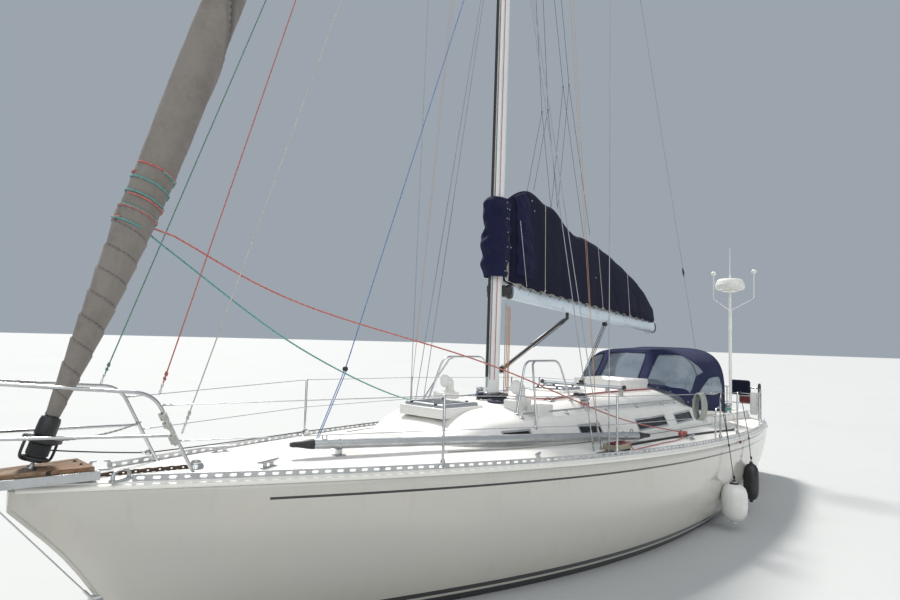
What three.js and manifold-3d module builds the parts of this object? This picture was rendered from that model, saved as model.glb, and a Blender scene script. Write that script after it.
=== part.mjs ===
// Sailing yacht, a masthead sloop of the 40-foot class
// Millimetres; +X towards the bow, +Y to port, +Z up.
// The origin is on the centreline at the waterline, halfway along the deck.

import * as THREE from 'three';
import { mergeVertices } from 'three/addons/utils/BufferGeometryUtils.js';
import Module from 'manifold-3d';

const wasm = await Module();
wasm.setup();

// Places along the boat are given as s, the distance aft of the stem head.
const STEM_X = 6150;
const at = (s, y, z) => new THREE.Vector3(STEM_X - s, y, z);

// Gap left between pieces that touch, and between pieces that move.
const SEAM = 0.3;
const CLEAR = 6;

// Solids

// Makes a closed geometry a solid that can be joined and cut, its faces turned outwards.
function solidOf(geometry) {
  const bare = new THREE.BufferGeometry();
  bare.setAttribute('position', geometry.getAttribute('position'));
  bare.setIndex(geometry.getIndex());
  const merged = mergeVertices(bare, 1e-3);
  const points = merged.getAttribute('position');
  const index = merged.getIndex().array;
  const corner = (i) => new THREE.Vector3().fromBufferAttribute(points, i);
  const triangles = [];
  let volume = 0;
  for (let i = 0; i < index.length; i += 3) {
    const [a, b, c] = index.slice(i, i + 3);
    if (a !== b && b !== c && c !== a) {
      triangles.push([a, b, c]);
      volume += corner(a).dot(corner(b).cross(corner(c)));
    }
  }
  const outward = volume < 0 ? triangles.map(([a, b, c]) => [a, c, b]) : triangles;
  return new wasm.Manifold(new wasm.Mesh({
    numProp: 3,
    vertProperties: new Float32Array(points.array),
    triVerts: new Uint32Array(outward.flat()),
  }));
}

function capTriangles(ring, offset) {
  const normal = new THREE.Vector3();
  ring.forEach((p, i) => normal.add(p.clone().cross(ring[(i + 1) % ring.length])));
  normal.normalize();
  const side = Math.abs(normal.z) > 0.9 ? new THREE.Vector3(1, 0, 0) : new THREE.Vector3(0, 0, 1);
  const u = side.clone().cross(normal).normalize();
  const v = normal.clone().cross(u);
  const flat = ring.map((p) => new THREE.Vector2(p.dot(u), p.dot(v)));
  return THREE.ShapeUtils.triangulateShape(flat, []).map((t) => t.map((i) => i + offset));
}

// Rings of equal length are skinned one to the next, and the first and last are closed.
// Each four-sided patch is split along its shorter diagonal, so that mirrored shapes mirror.
function loft(rings) {
  const count = rings[0].length;
  const points = rings.flat();
  const triangles = [];
  for (let r = 0; r + 1 < rings.length; r += 1) {
    for (let i = 0; i < count; i += 1) {
      const a = r * count + i;
      const b = r * count + ((i + 1) % count);
      const [c, d] = [b + count, a + count];
      if (points[a].distanceToSquared(points[c]) <= points[b].distanceToSquared(points[d]) + 1e-3) {
        triangles.push([a, b, c], [a, c, d]);
      } else {
        triangles.push([a, b, d], [b, c, d]);
      }
    }
  }
  triangles.push(...capTriangles(rings[0], 0).map(([a, b, c]) => [a, c, b]));
  triangles.push(...capTriangles(rings[rings.length - 1], (rings.length - 1) * count));
  const skin = new THREE.BufferGeometry().setFromPoints(points);
  skin.setIndex(triangles.flat());
  return solidOf(skin);
}

const unite = (solids) => wasm.Manifold.union(solids);
const mirrored = (solid) => solid.mirror([0, 1, 0]);

// A block between two places along, across and up.
const box = (s0, s1, y0, y1, z0, z1) => solidOf(new THREE.BoxGeometry(s1 - s0, y1 - y0, z1 - z0)
  .translate(STEM_X - (s0 + s1) / 2, (y0 + y1) / 2, (z0 + z1) / 2));

// A four-sided prism between two levels, its half width given fore and aft at each.
const taper = (s0, s1, z0, z1, low, high = low) => loft([[z0, low], [z1, high]].map(
  ([z, [fore, aft]]) => [at(s0, -fore, z), at(s0, fore, z), at(s1, aft, z), at(s1, -aft, z)],
));

// An outline of [s, z] points seen from the side, made solid from one y to another.
function sidePrism(outline, y0, y1) {
  const shape = new THREE.Shape(outline.map(([s, z]) => new THREE.Vector2(s, z)));
  const sideways = new THREE.Matrix4().makeBasis(
    new THREE.Vector3(-1, 0, 0), new THREE.Vector3(0, 0, 1), new THREE.Vector3(0, 1, 0),
  );
  return solidOf(new THREE.ExtrudeGeometry(shape, { depth: y1 - y0, bevelEnabled: false })
    .applyMatrix4(sideways).translate(STEM_X, y0, 0));
}

// An outline of [s, y] points seen from above, made solid from one level to another.
function planPrism(outline, z0, z1) {
  const shape = new THREE.Shape(outline.map(([s, y]) => new THREE.Vector2(STEM_X - s, y)));
  return solidOf(new THREE.ExtrudeGeometry(shape, { depth: z1 - z0, bevelEnabled: false })
    .translate(0, 0, z0));
}

// A straight round rod between two points.
function rod(from, to, radius, sides = 8) {
  const along = to.clone().sub(from);
  const upright = new THREE.Vector3(0, 1, 0);
  return solidOf(new THREE.CylinderGeometry(radius, radius, along.length(), sides)
    .translate(0, along.length() / 2, 0)
    .applyQuaternion(new THREE.Quaternion().setFromUnitVectors(upright, along.normalize()))
    .translate(from.x, from.y, from.z));
}

// A curve that runs straight from point to point, one step of an extrusion for each stretch.
class Route extends THREE.Curve {
  constructor(points) {
    super();
    this.points = points;
  }

  getPointAt(u, target = new THREE.Vector3()) {
    const place = u * (this.points.length - 1);
    const i = Math.min(Math.floor(place), this.points.length - 2);
    return target.lerpVectors(this.points[i], this.points[i + 1], place - i);
  }

  getTangentAt(u, target = new THREE.Vector3()) {
    const i = Math.round(u * (this.points.length - 1));
    const before = this.points[Math.max(i - 1, 0)];
    const after = this.points[Math.min(i + 1, this.points.length - 1)];
    return target.subVectors(after, before).normalize();
  }
}

// A bent round tube along a path of points.
function tube(points, radius, sides = 8) {
  const section = new THREE.Shape(Array.from({ length: sides }, (_, k) => {
    const angle = (2 * Math.PI * (k + 0.5)) / sides;
    return new THREE.Vector2(radius * Math.cos(angle), radius * Math.sin(angle));
  }));
  return solidOf(new THREE.ExtrudeGeometry(section, {
    steps: points.length - 1, bevelEnabled: false, extrudePath: new Route(points),
  }));
}

// A round bar along a path of points, each with a radius of its own.
function spindle(points, radii, sides = 12) {
  const route = new Route(points);
  const sideways = Math.abs(route.getTangentAt(0).y) > 0.9;
  const across = sideways ? new THREE.Vector3(1, 0, 0) : new THREE.Vector3(0, 1, 0);
  return loft(points.map((p, i) => {
    const along = route.getTangentAt(i / (points.length - 1));
    across.addScaledVector(along, -across.dot(along)).normalize();
    const other = along.clone().cross(across);
    return Array.from({ length: sides }, (_, k) => {
      const angle = (2 * Math.PI * (k + 0.5)) / sides;
      return p.clone()
        .addScaledVector(across, radii[i] * Math.cos(angle))
        .addScaledVector(other, radii[i] * Math.sin(angle));
    });
  }));
}

// A path whose inner corners are rounded with short curves.
function rounded(points, radius, steps = 3) {
  const path = [points[0]];
  for (let i = 1; i + 1 < points.length; i += 1) {
    const into = points[i - 1].clone().sub(points[i]);
    const out = points[i + 1].clone().sub(points[i]);
    const reach = Math.min(radius, into.length() / 2.2, out.length() / 2.2);
    const corner = new THREE.QuadraticBezierCurve3(
      points[i].clone().addScaledVector(into.normalize(), reach),
      points[i],
      points[i].clone().addScaledVector(out.normalize(), reach),
    );
    path.push(...corner.getPoints(steps));
  }
  path.push(points[points.length - 1]);
  return path;
}

// A turned piece about an upright axis, from a profile of [radius, height].
function turned(profile, s, y, z, sides = 16) {
  const foot = [0, profile[0][1]];
  const head = [0, profile[profile.length - 1][1]];
  const outline = [foot, ...profile, head].map(([r, h]) => new THREE.Vector2(r, h));
  return solidOf(new THREE.LatheGeometry(outline, sides)
    .rotateX(Math.PI / 2).translate(STEM_X - s, y, z));
}

// Reads one column of a table of stations, smooth between its rows.
function column(rows, key, s) {
  let i = rows.findIndex((row) => row.s >= s);
  if (i <= 0) {
    i = i === 0 ? 1 : rows.length - 1;
  }
  const slope = (k) => {
    const lo = Math.max(k - 1, 0);
    const hi = Math.min(k + 1, rows.length - 1);
    return (rows[hi][key] - rows[lo][key]) / (rows[hi].s - rows[lo].s);
  };
  const [a, b] = [rows[i - 1], rows[i]];
  const span = b.s - a.s;
  const t = Math.min(Math.max((s - a.s) / span, 0), 1);
  const [t2, t3] = [t * t, t * t * t];
  return (2 * t3 - 3 * t2 + 1) * a[key] + (t3 - 2 * t2 + t) * span * slope(i - 1)
    + (3 * t2 - 2 * t3) * b[key] + (t3 - t2) * span * slope(i);
}

// Hull lines
// half: half beam at the sheer; sheer and bottom: heights; rise and bilge: section fullness.

const LINES = [
  { s: 0, half: 28, sheer: 1370, bottom: 1235, rise: 1.2, bilge: 0.9 },
  { s: 350, half: 160, sheer: 1356, bottom: 850, rise: 1.2, bilge: 0.95 },
  { s: 700, half: 305, sheer: 1343, bottom: 345, rise: 1.25, bilge: 0.95 },
  { s: 1050, half: 445, sheer: 1330, bottom: -60, rise: 1.35, bilge: 0.9 },
  { s: 1700, half: 695, sheer: 1307, bottom: -270, rise: 1.6, bilge: 0.8 },
  { s: 2500, half: 990, sheer: 1281, bottom: -390, rise: 1.9, bilge: 0.68 },
  { s: 3500, half: 1310, sheer: 1250, bottom: -480, rise: 2.3, bilge: 0.57 },
  { s: 4700, half: 1610, sheer: 1215, bottom: -535, rise: 2.7, bilge: 0.5 },
  { s: 6000, half: 1800, sheer: 1180, bottom: -550, rise: 3.0, bilge: 0.46 },
  { s: 7300, half: 1855, sheer: 1143, bottom: -530, rise: 3.1, bilge: 0.45 },
  { s: 8600, half: 1805, sheer: 1104, bottom: -440, rise: 3.1, bilge: 0.45 },
  { s: 9800, half: 1655, sheer: 1065, bottom: -270, rise: 3.0, bilge: 0.45 },
  { s: 10900, half: 1440, sheer: 1030, bottom: -60, rise: 2.8, bilge: 0.46 },
  { s: 11700, half: 1230, sheer: 1004, bottom: 130, rise: 2.6, bilge: 0.47 },
  { s: 12290, half: 1050, sheer: 985, bottom: 300, rise: 2.4, bilge: 0.48 },
];
const LEVELS = [0, 0.012, 0.04, 0.09, 0.16, 0.25, 0.36, 0.5, 0.66, 0.83, 1];
const TRANSOM = { top: 11990, foot: 12315, high: 1300, low: 200 };

const lines = (key, s) => column(LINES, key, s);
const fullness = (s, u) => (1 - (1 - u) ** lines('rise', s)) ** lines('bilge', s);

// Half beam of the hull at a height.
const hullHalf = (s, z) => lines('half', s) * fullness(
  s, (z - lines('bottom', s)) / (lines('sheer', s) - lines('bottom', s)),
);

function section(s, skin) {
  const bottom = lines('bottom', s) + skin;
  const sheer = lines('sheer', s);
  const port = LEVELS.map((u) => [
    Math.max(lines('half', s) * fullness(s, u) - skin, 0), bottom + (sheer - bottom) * u,
  ]);
  const ring = port.map(([y, z]) => at(s, y, z));
  return ring.concat(port.slice(1).reverse().map(([y, z]) => at(s, -y, z)));
}

// The rows above and a station halfway between each two.
const STATIONS = LINES.flatMap((row, i) => (i === 0 ? [row.s] : [(LINES[i - 1].s + row.s) / 2, row.s]));
const HALF_SPACE = 1500;
const transomCut = sidePrism([
  [TRANSOM.top, TRANSOM.high], [TRANSOM.foot, TRANSOM.low],
  [TRANSOM.foot + 600, TRANSOM.low], [TRANSOM.foot + 600, TRANSOM.high],
], -HALF_SPACE, HALF_SPACE);
const hullForm = loft(STATIONS.map((s) => section(s, 0))).subtract(transomCut);

// The cabin is open inside from the forepeak bulkhead to the companionway.
const CABIN = { front: 2300, back: 9000, sole: -180, skin: 45 };
const cabinSpace = loft([CABIN.front, 3500, 4700, 6000, 7300, CABIN.back].map((s) => section(s, CABIN.skin)))
  .subtract(box(0, 12300, -2000, 2000, -1000, CABIN.sole))
  .translate([0, 0, 1]);

// Cockpit

const COCKPIT = {
  front: 9080, back: 11620, halfFront: 1010, halfBack: 850, pinchFront: 60, pinchBack: 210,
  under: 255, sole: 300, seat: 700, wellHalf: 380, wellBack: 11050, wall: 45,
};
const COAMING = { top: 1310, topBack: 1230, halfFront: 1130, halfBack: 960, foot: 1000, lean: 40, trim: 55 };

// The cockpit's outer form, narrower at its foot, grown all round by a gap.
const tubForm = (grow, top) => taper(
  COCKPIT.front - grow, COCKPIT.back + grow, COCKPIT.under - grow, top,
  [COCKPIT.halfFront + grow - COCKPIT.pinchFront, COCKPIT.halfBack + grow - COCKPIT.pinchBack],
  [COCKPIT.halfFront + grow, COCKPIT.halfBack + grow],
);
const TUB_TOP = 1150;
const tub = tubForm(0, TUB_TOP);
const tubSpace = tubForm(SEAM * 2, TUB_TOP).add(taper(
  COCKPIT.front - SEAM * 2, COCKPIT.back + SEAM * 2, TUB_TOP - 1, 1500,
  [COCKPIT.halfFront + SEAM * 2, COCKPIT.halfBack + SEAM * 2],
));

// Rudder stock, with its bearing bore in the hull
const RUDDER = { s: 11130, boreR: 36.8, stockR: 36, boreTop: 200 };
const rudderBore = rod(at(RUDDER.s, 0, -600), at(RUDDER.s, 0, RUDDER.boreTop), RUDDER.boreR, 20);

// Propeller shaft, raked down and aft
const SHAFT = { s0: 8050, z0: -420, s1: 9480, z1: -640, r: 16, boreR: 16.8 };
const shaftAt = (t) => at(SHAFT.s0 + (SHAFT.s1 - SHAFT.s0) * t, 0, SHAFT.z0 + (SHAFT.z1 - SHAFT.z0) * t);
const shaftBore = rod(shaftAt(-0.03), shaftAt(0.6), SHAFT.boreR, 12);

const hull = hullForm.subtract(unite([cabinSpace, tubSpace, rudderBore, shaftBore]));

// Deck, cambered above the sheer

const DECK = { inset: 22, edge: 30, camber: 0.083, front: 40, back: 12020 };

function deckHeight(s, y) {
  const half = lines('half', s);
  const rise = DECK.camber * half * (1 - (y / Math.max(half, 1)) ** 2);
  return lines('sheer', s) + DECK.edge + Math.max(rise, 0);
}

const DECK_SHARES = [-1, -0.72, -0.42, -0.15, 0.15, 0.42, 0.72, 1];
const deckStations = [DECK.front, ...STATIONS.filter((s) => s > DECK.front && s < DECK.back), DECK.back];

// The deck's top surface, closed below by the rim points that are given for each side.
function deckBody(lift, rimOf) {
  return loft(deckStations.map((s) => {
    const half = Math.max(lines('half', s) - DECK.inset, 12);
    const top = DECK_SHARES.map((share) => at(s, share * half, deckHeight(s, share * half) + lift));
    const rim = rimOf(s, half, deckHeight(s, half) + lift);
    const mirror = rim.slice().reverse().map((p) => new THREE.Vector3(p.x, -p.y, p.z));
    return [...top, ...rim, ...mirror];
  }));
}
const deckSlab = deckBody(0, (s, half) => [at(s, half, lines('sheer', s) + SEAM)]);

// The deck and all below it, raised by a seam, to seat pieces on.
const deckBelow = deckBody(SEAM, (s, half, edge) => [at(s, half + 60, edge), at(s, half + 60, -1000)]);

// Coachroof, a low trunk with a sloped front
// half: half width at the deck; top: crown height; shoulder: height of the side's top edge.

const TRUNK = [
  { s: 3380, half: 640, top: 1400, shoulder: 1340 },
  { s: 3640, half: 740, top: 1530, shoulder: 1440 },
  { s: 3920, half: 830, top: 1630, shoulder: 1530 },
  { s: 4500, half: 950, top: 1690, shoulder: 1560 },
  { s: 5400, half: 1060, top: 1730, shoulder: 1568 },
  { s: 6500, half: 1125, top: 1755, shoulder: 1560 },
  { s: 7700, half: 1120, top: 1765, shoulder: 1540 },
  { s: 8980, half: 1050, top: 1765, shoulder: 1522 },
];
const SIDE = { base: 1000, lean: 75, skin: 42, low: 270, high: 25, camber: 0.217 };

function trunkRing(row, skin) {
  const half = row.half - skin;
  const inner = half - SIDE.lean;
  const top = row.top - skin;
  const shoulder = row.shoulder - skin;
  const side = [
    [half + 10, SIDE.base], [half, shoulder - SIDE.low], [inner + 8, shoulder - SIDE.high],
    [inner - 50, shoulder + 22], [inner * 0.6, top - (top - shoulder) * SIDE.camber], [0, top],
  ];
  const port = side.map(([y, z]) => at(row.s, y, z));
  const starboard = side.slice(0, -1).reverse().map(([y, z]) => at(row.s, -y, z));
  return port.concat(starboard);
}

// The trunk's rows with the first moved aft and the last moved forward.
const trunkRows = (rows, front, back) => rows.map((row, i) => {
  const move = i === 0 ? front : 0;
  return { ...row, s: row.s + move - (i === rows.length - 1 ? back : 0) };
});

const trunkForm = loft(TRUNK.map((row) => trunkRing(row, 0)));
const trunkInside = loft(trunkRows(TRUNK, 130, 45).map((row) => trunkRing(row, SIDE.skin)));

const SLIDE = { front: 8220, back: 9030, half: 330, deck: 1800, rise: 24 };
const HOOD = { front: 7420, back: 8370, half: 430, height: 84, wall: 28, inside: 56 };
const hoodForm = taper(
  HOOD.front, HOOD.back, SLIDE.deck - 5, SLIDE.deck + HOOD.height, [HOOD.half - 20, HOOD.half],
);
const hood = hoodForm.subtract(box(
  HOOD.front + HOOD.wall, HOOD.back + 10, 55 - HOOD.half, HOOD.half - 55,
  SLIDE.deck - 10, SLIDE.deck + HOOD.inside,
));
const slideRails = box(HOOD.front, SLIDE.back - 40, -HOOD.half, HOOD.half, 1640, SLIDE.deck);

const FORE_HATCH = { s: 4010, half: 300, deck: 1690, rise: 38 };
const SALOON_HATCH = { s: 6350, half: 250, deck: 1778, rise: 36 };
const squareBox = ({ s, half }, grow, z0, z1) => box(
  s - half - grow, s + half + grow, -half - grow, half + grow, z0, z1,
);
const hatchSeat = (hatch) => squareBox(hatch, 35, hatch.deck - 110, hatch.deck);
const hatchHole = (hatch) => squareBox(hatch, -25, hatch.deck - 400, hatch.deck + 50);

const WINDOWS = [
  { front: 4080, back: 4450, low: 1378, high: 1468, skew: 30 },
  { front: 5270, back: 5670, low: 1345, high: 1458, skew: 45 },
  { front: 6550, back: 7430, low: 1318, high: 1435, skew: 60 },
  { front: 7790, back: 8460, low: 1312, high: 1425, skew: 70 },
];
const WINDOW_TURN = 28;

// A side window's outline as a prism through the port side, grown all round.
const windowPrism = ({ front, back, low, high, skew }, grow) => sidePrism([
  [front + WINDOW_TURN - grow, high + grow], [front - grow, (low + high) / 2],
  [front + skew - grow, low - grow], [back + skew - WINDOW_TURN + grow, low - grow],
  [back + skew + grow, (low + high) / 2], [back + grow, high + grow],
], 500, 1400);
const windowHoles = unite(WINDOWS.map((row) => windowPrism(row, 0)));

const COMPANION = { half: 285, front: 8850, back: 9100, low: 1150, high: 1900, lip: 1600 };
const companionHole = box(
  COMPANION.front, COMPANION.back, -COMPANION.half, COMPANION.half, COMPANION.low, COMPANION.high,
).add(box(
  SLIDE.front + 150, COMPANION.back, -COMPANION.half, COMPANION.half, COMPANION.lip, COMPANION.high,
));

// Winches: drums with a waist, for sheets on the coamings and for halyards on the coachroof
const WINCH = [[62, 0], [62, 22], [46, 40], [46, 92], [60, 108], [60, 122], [38, 130]];
const winchAt = (s, y, z, size) => turned(WINCH.map(([r, h]) => [r * size, h * size * 1.08]), s, y, z);
const ROOF_WINCH = { s: 5680, y: 838, z: 1612, size: 1.05 };

const roofSeats = unite([trunkForm, slideRails, hatchSeat(FORE_HATCH), hatchSeat(SALOON_HATCH)]);
const roofWinch = winchAt(ROOF_WINCH.s, ROOF_WINCH.y, ROOF_WINCH.z, ROOF_WINCH.size);
const coachroof = roofSeats
  .subtract(unite([trunkInside, hatchHole(FORE_HATCH), hatchHole(SALOON_HATCH), companionHole]))
  .subtract(unite([windowHoles, mirrored(windowHoles)]))
  .add(unite([hood, roofWinch, mirrored(roofWinch)]))
  .subtract(deckBelow);
const roofBelow = roofSeats.add(hoodForm).translate([0, 0, SEAM]);

const cabinWay = loft(trunkRows(TRUNK, 190, 60).map(({ s, half }) => [
  at(s, 95 - half, 900), at(s, half - 95, 900), at(s, half - 95, 2200), at(s, 95 - half, 2200),
]));
const deck = deckSlab.subtract(cabinWay).subtract(tubSpace);

// The trunk side as a sloped band between two depths inside its face.
function sideBand(skin, below, above, outer, inner) {
  return loft(trunkRows(TRUNK.slice(2), 20, 90).map(({ s, half, shoulder }) => {
    const [foot, head] = [shoulder - skin - SIDE.low, shoulder - skin - SIDE.high];
    const face = (z) => half - skin - ((SIDE.lean - 8) * (z - foot)) / (head - foot);
    const [z0, z1] = [shoulder - below, shoulder - above];
    return [
      at(s, face(z0) - outer, z0), at(s, face(z1) - outer, z1),
      at(s, face(z1) - inner, z1), at(s, face(z0) - inner, z0),
    ];
  }));
}

// An inner band carries the dark panes of one side, which fill the window holes.
const paneBand = sideBand(SIDE.skin, 252, 70, SEAM, 8 + SEAM);
const paneRelief = sideBand(0, 262, 60, 5, 65);
const panes = unite(WINDOWS.map((row) => windowPrism(row, -2))).intersect(paneRelief);
const windowsPort = paneBand.add(panes).subtract(deckBelow);

// Hatches, each a framed lid hinged along its forward edge
const hatchLid = ({ s, half, deck: seat, rise }) => loft([[0, 0], [0, rise * 0.6], [22, rise]].map(
  ([trim, up]) => [[-1, -1], [-1, 1], [1, 1], [1, -1]].map(([aft, side]) => at(
    s + aft * (half - trim), side * (half - trim), seat + SEAM + up,
  )),
));

// Companionway slide, with runners on its rails and a pull along its after edge
const slideLow = SLIDE.deck + CLEAR;
const runner = (side) => box(
  SLIDE.front, SLIDE.back, side * (SLIDE.half - 8) - 8, side * (SLIDE.half - 8) + 8,
  SLIDE.deck + SEAM, SLIDE.deck + 20,
);
const slide = unite([
  box(SLIDE.front, SLIDE.back, -SLIDE.half, SLIDE.half, slideLow, slideLow + SLIDE.rise),
  box(SLIDE.back - 60, SLIDE.back - 20, 60 - SLIDE.half, SLIDE.half - 60, slideLow, SLIDE.deck + 50),
  runner(1),
  runner(-1),
]);
const slideWay = box(
  HOOD.front, SLIDE.back + 10, -SLIDE.half - CLEAR, SLIDE.half + CLEAR,
  1700, slideLow + SLIDE.rise + CLEAR,
);
const boards = box(8942, 8964, -284, 284, 1200, 1795).subtract(deckBelow);

// Cockpit moulding: tub with seats, lockers under them, and coamings on the deck

const seatSpace = taper(
  COCKPIT.front + COCKPIT.wall, COCKPIT.back - COCKPIT.wall, COCKPIT.seat, 1500,
  [COCKPIT.halfFront - COCKPIT.wall, COCKPIT.halfBack - COCKPIT.wall],
);
const footWell = box(
  COCKPIT.front + COCKPIT.wall, COCKPIT.wellBack, -COCKPIT.wellHalf, COCKPIT.wellHalf, COCKPIT.sole, 800,
);
const LOCKER = { front: 9400, back: 10500, inner: 440, outer: 820, depth: 240, lid: 17, lip: 30 };
const lockerBox = (grow, z0, z1) => box(
  LOCKER.front - grow, LOCKER.back + grow, LOCKER.inner - grow, LOCKER.outer + grow, z0, z1,
);
const lockerHole = lockerBox(-LOCKER.lip, COCKPIT.seat - LOCKER.depth, 760);
const lidRecess = lockerBox(CLEAR, COCKPIT.seat - LOCKER.lid - SEAM, 760);
const lockerLid = lockerBox(0, COCKPIT.seat - LOCKER.lid, COCKPIT.seat + 6);

const coamingRing = (lean, trim, zFront, zBack) => [
  at(COCKPIT.front - 60 + trim, lean - COAMING.halfFront, zFront),
  at(COCKPIT.front - 60 + trim, COAMING.halfFront - lean, zFront),
  at(COCKPIT.back + 60 - trim, COAMING.halfBack - lean, zBack),
  at(COCKPIT.back + 60 - trim, lean - COAMING.halfBack, zBack),
];
const coaming = loft([
  coamingRing(0, 0, COAMING.foot, COAMING.foot),
  coamingRing(COAMING.lean, COAMING.trim, COAMING.top, COAMING.topBack),
]).subtract(deckBelow)
  .subtract(trunkForm.translate([-2, 0, 0]))
  .subtract(box(8000, 9040, -1200, 1200, 900, 1900));
const cockpit = tub.add(coaming)
  .subtract(unite([seatSpace, footWell, box(8900, 9300, -SLIDE.half, SLIDE.half, 1130, 1900)]))
  .subtract(unite([lockerHole, lidRecess, mirrored(lockerHole), mirrored(lidRecess)]));

// Height of the coaming's top along the cockpit.
const coamingTop = (s) => THREE.MathUtils.mapLinear(
  s, COCKPIT.front, COCKPIT.back, COAMING.top, COAMING.topBack,
);
const primaryWinch = winchAt(10280, 985, coamingTop(10280) - 6, 1.25)
  .subtract(cockpit.translate([0, 0, SEAM]));

// Keel, rudder and drive

// A foil section as shares of the chord, from the trailing edge to the leading edge.
const FOIL = [[1, 0.0], [0.72, 0.32], [0.42, 0.49], [0.16, 0.42], [0.04, 0.24], [0, 0]];
function foilRing(lead, chord, thick, z) {
  const side = FOIL.map(([x, y]) => [lead + chord * x, thick * y]);
  return side.map(([s, y]) => at(s, y, z))
    .concat(side.slice(1, -1).reverse().map(([s, y]) => at(s, -y, z)));
}

const KEEL = [
  { lead: 4990, chord: 2470, thick: 330, z: -300 },
  { lead: 5090, chord: 2310, thick: 300, z: -700 },
  { lead: 5520, chord: 1890, thick: 290, z: -1650 },
  { lead: 5650, chord: 1750, thick: 300, z: -1980 },
];
const foilBody = (rows) => loft(rows.map(({ lead, chord, thick, z }) => foilRing(lead, chord, thick, z)));
const keel = foilBody(KEEL).subtract(hullForm.translate([0, 0, -SEAM]));

const RUDDER_BLADE = [
  { lead: 10990, chord: 640, thick: 120, z: -1560 },
  { lead: 10965, chord: 760, thick: 140, z: -800 },
  { lead: 10945, chord: 900, thick: 150, z: 120 },
];
const rudder = foilBody(RUDDER_BLADE).subtract(hullForm.translate([0, 0, -22]))
  .add(rod(at(RUDDER.s, 0, -500), at(RUDDER.s, 0, RUDDER.boreTop - 20), RUDDER.stockR, 20));

// reach: share of the blade's length from the hub; half: half its width there.
const BLADE = [
  { reach: 0, half: 34 }, { reach: 0.35, half: 78 }, { reach: 0.65, half: 92 },
  { reach: 0.88, half: 66 }, { reach: 1, half: 18 },
];
const HUB = [[14, -70], [36, -60], [40, 40], [24, 75]];
const PROPELLER = { t: 0.955, root: 26, length: 190, thick: 6, pitch: 1.15, wash: 0.16 };
const propellerBlade = (turn) => loft(BLADE.map(({ reach, half }, i) => {
  const pitch = PROPELLER.pitch - PROPELLER.wash * i;
  const [c, n] = [Math.cos(pitch), Math.sin(pitch)];
  return [[-half, 0], [0, PROPELLER.thick], [half, 0], [0, -PROPELLER.thick]].map(
    ([along, off]) => new THREE.Vector3(
      along * c + off * n, along * n - off * c, PROPELLER.root + PROPELLER.length * reach,
    ),
  );
})).rotate([turn, 0, 0]);
const hub = solidOf(new THREE.LatheGeometry(
  [[0, -70], ...HUB, [0, 75]].map(([r, h]) => new THREE.Vector2(r, h)), 14,
).rotateZ(-Math.PI / 2));
const shaftTilt = THREE.MathUtils.radToDeg(Math.atan2(SHAFT.z1 - SHAFT.z0, SHAFT.s1 - SHAFT.s0));
const hubCentre = shaftAt(PROPELLER.t);
const propeller = unite([hub, ...[0, 120, 240].map(propellerBlade)])
  .rotate([0, shaftTilt, 0])
  .translate(hubCentre.toArray())
  .add(rod(shaftAt(0.02), shaftAt(0.97), SHAFT.r, 12));

const STRUT = { t: 0.86, half: 60, r: 36, top: -150 };
const strutFoot = shaftAt(STRUT.t);
const strutAlong = shaftAt(1).sub(shaftAt(0)).normalize();
const strut = rod(
  strutFoot.clone().addScaledVector(strutAlong, -STRUT.half),
  strutFoot.clone().addScaledVector(strutAlong, STRUT.half),
  STRUT.r, 16,
)
  .add(loft([[30, 62, strutFoot.z, 0], [26, 80, STRUT.top, 30]].map(([thick, half, z, forward]) => {
    const s = STEM_X - strutFoot.x - forward;
    return [at(s - half, 0, z), at(s, thick / 2, z), at(s + half, 0, z), at(s, -thick / 2, z)];
  })))
  .subtract(hullForm.translate([0, 0, -SEAM]))
  .subtract(rod(shaftAt(0.6), shaftAt(1), SHAFT.boreR, 12));

// Rig

const MAST = {
  s: 4900, foot: 1700, head: 17000, fore: 105, side: 72, rake: 0.009, taperFrom: 13500, tip: 0.72,
};
const mastAt = (z, ahead = 0, y = 0) => at(MAST.s + (z - MAST.foot) * MAST.rake - ahead, y, z);
const ovalAt = (z, fore, side, sides = 14) => Array.from({ length: sides }, (_, k) => {
  const angle = (2 * Math.PI * (k + 0.5)) / sides;
  return mastAt(z, fore * Math.cos(angle), side * Math.sin(angle));
});

// The boom and the vang turn on upright pins held by shelves behind the mast.
const PIN = { behind: 178, z: 3060, r: 11, bore: 12 };
const pinS = MAST.s + PIN.behind + (PIN.z - MAST.foot) * MAST.rake;
const upright = (z0, z1, radius, sides = 16) => rod(at(pinS, 0, z0), at(pinS, 0, z1), radius, sides);
const shelf = (half, z0, z1) => box(MAST.s + 70, pinS + 30, -half, half, z0, z1);
const EARS = { low: [2955, 2985], high: [3135, 3165] };
const VANG_EYE = { shelf: 2015, shelfTop: 2035, top: 2105 };
const MASTHEAD = { fore: 190, aft: 260, low: 16930, high: 17060, half: 36 };
const SPREADERS = [
  { z: 8700, tip: 1440, sweep: 60, fall: 90 },
  { z: 12900, tip: 1000, sweep: 45, fall: 70 },
];
const spreader = ({ z, tip, sweep, fall }, side) => loft([[40, 46, 15], [tip, 26, 10]].map(
  ([y, half, thick], i) => [[half, 0], [0, thick], [-half, 0], [0, -thick]].map(
    ([ahead, up]) => mastAt(z + i * fall, -i * sweep, side * y).add(new THREE.Vector3(ahead, 0, up)),
  ),
));
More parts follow.
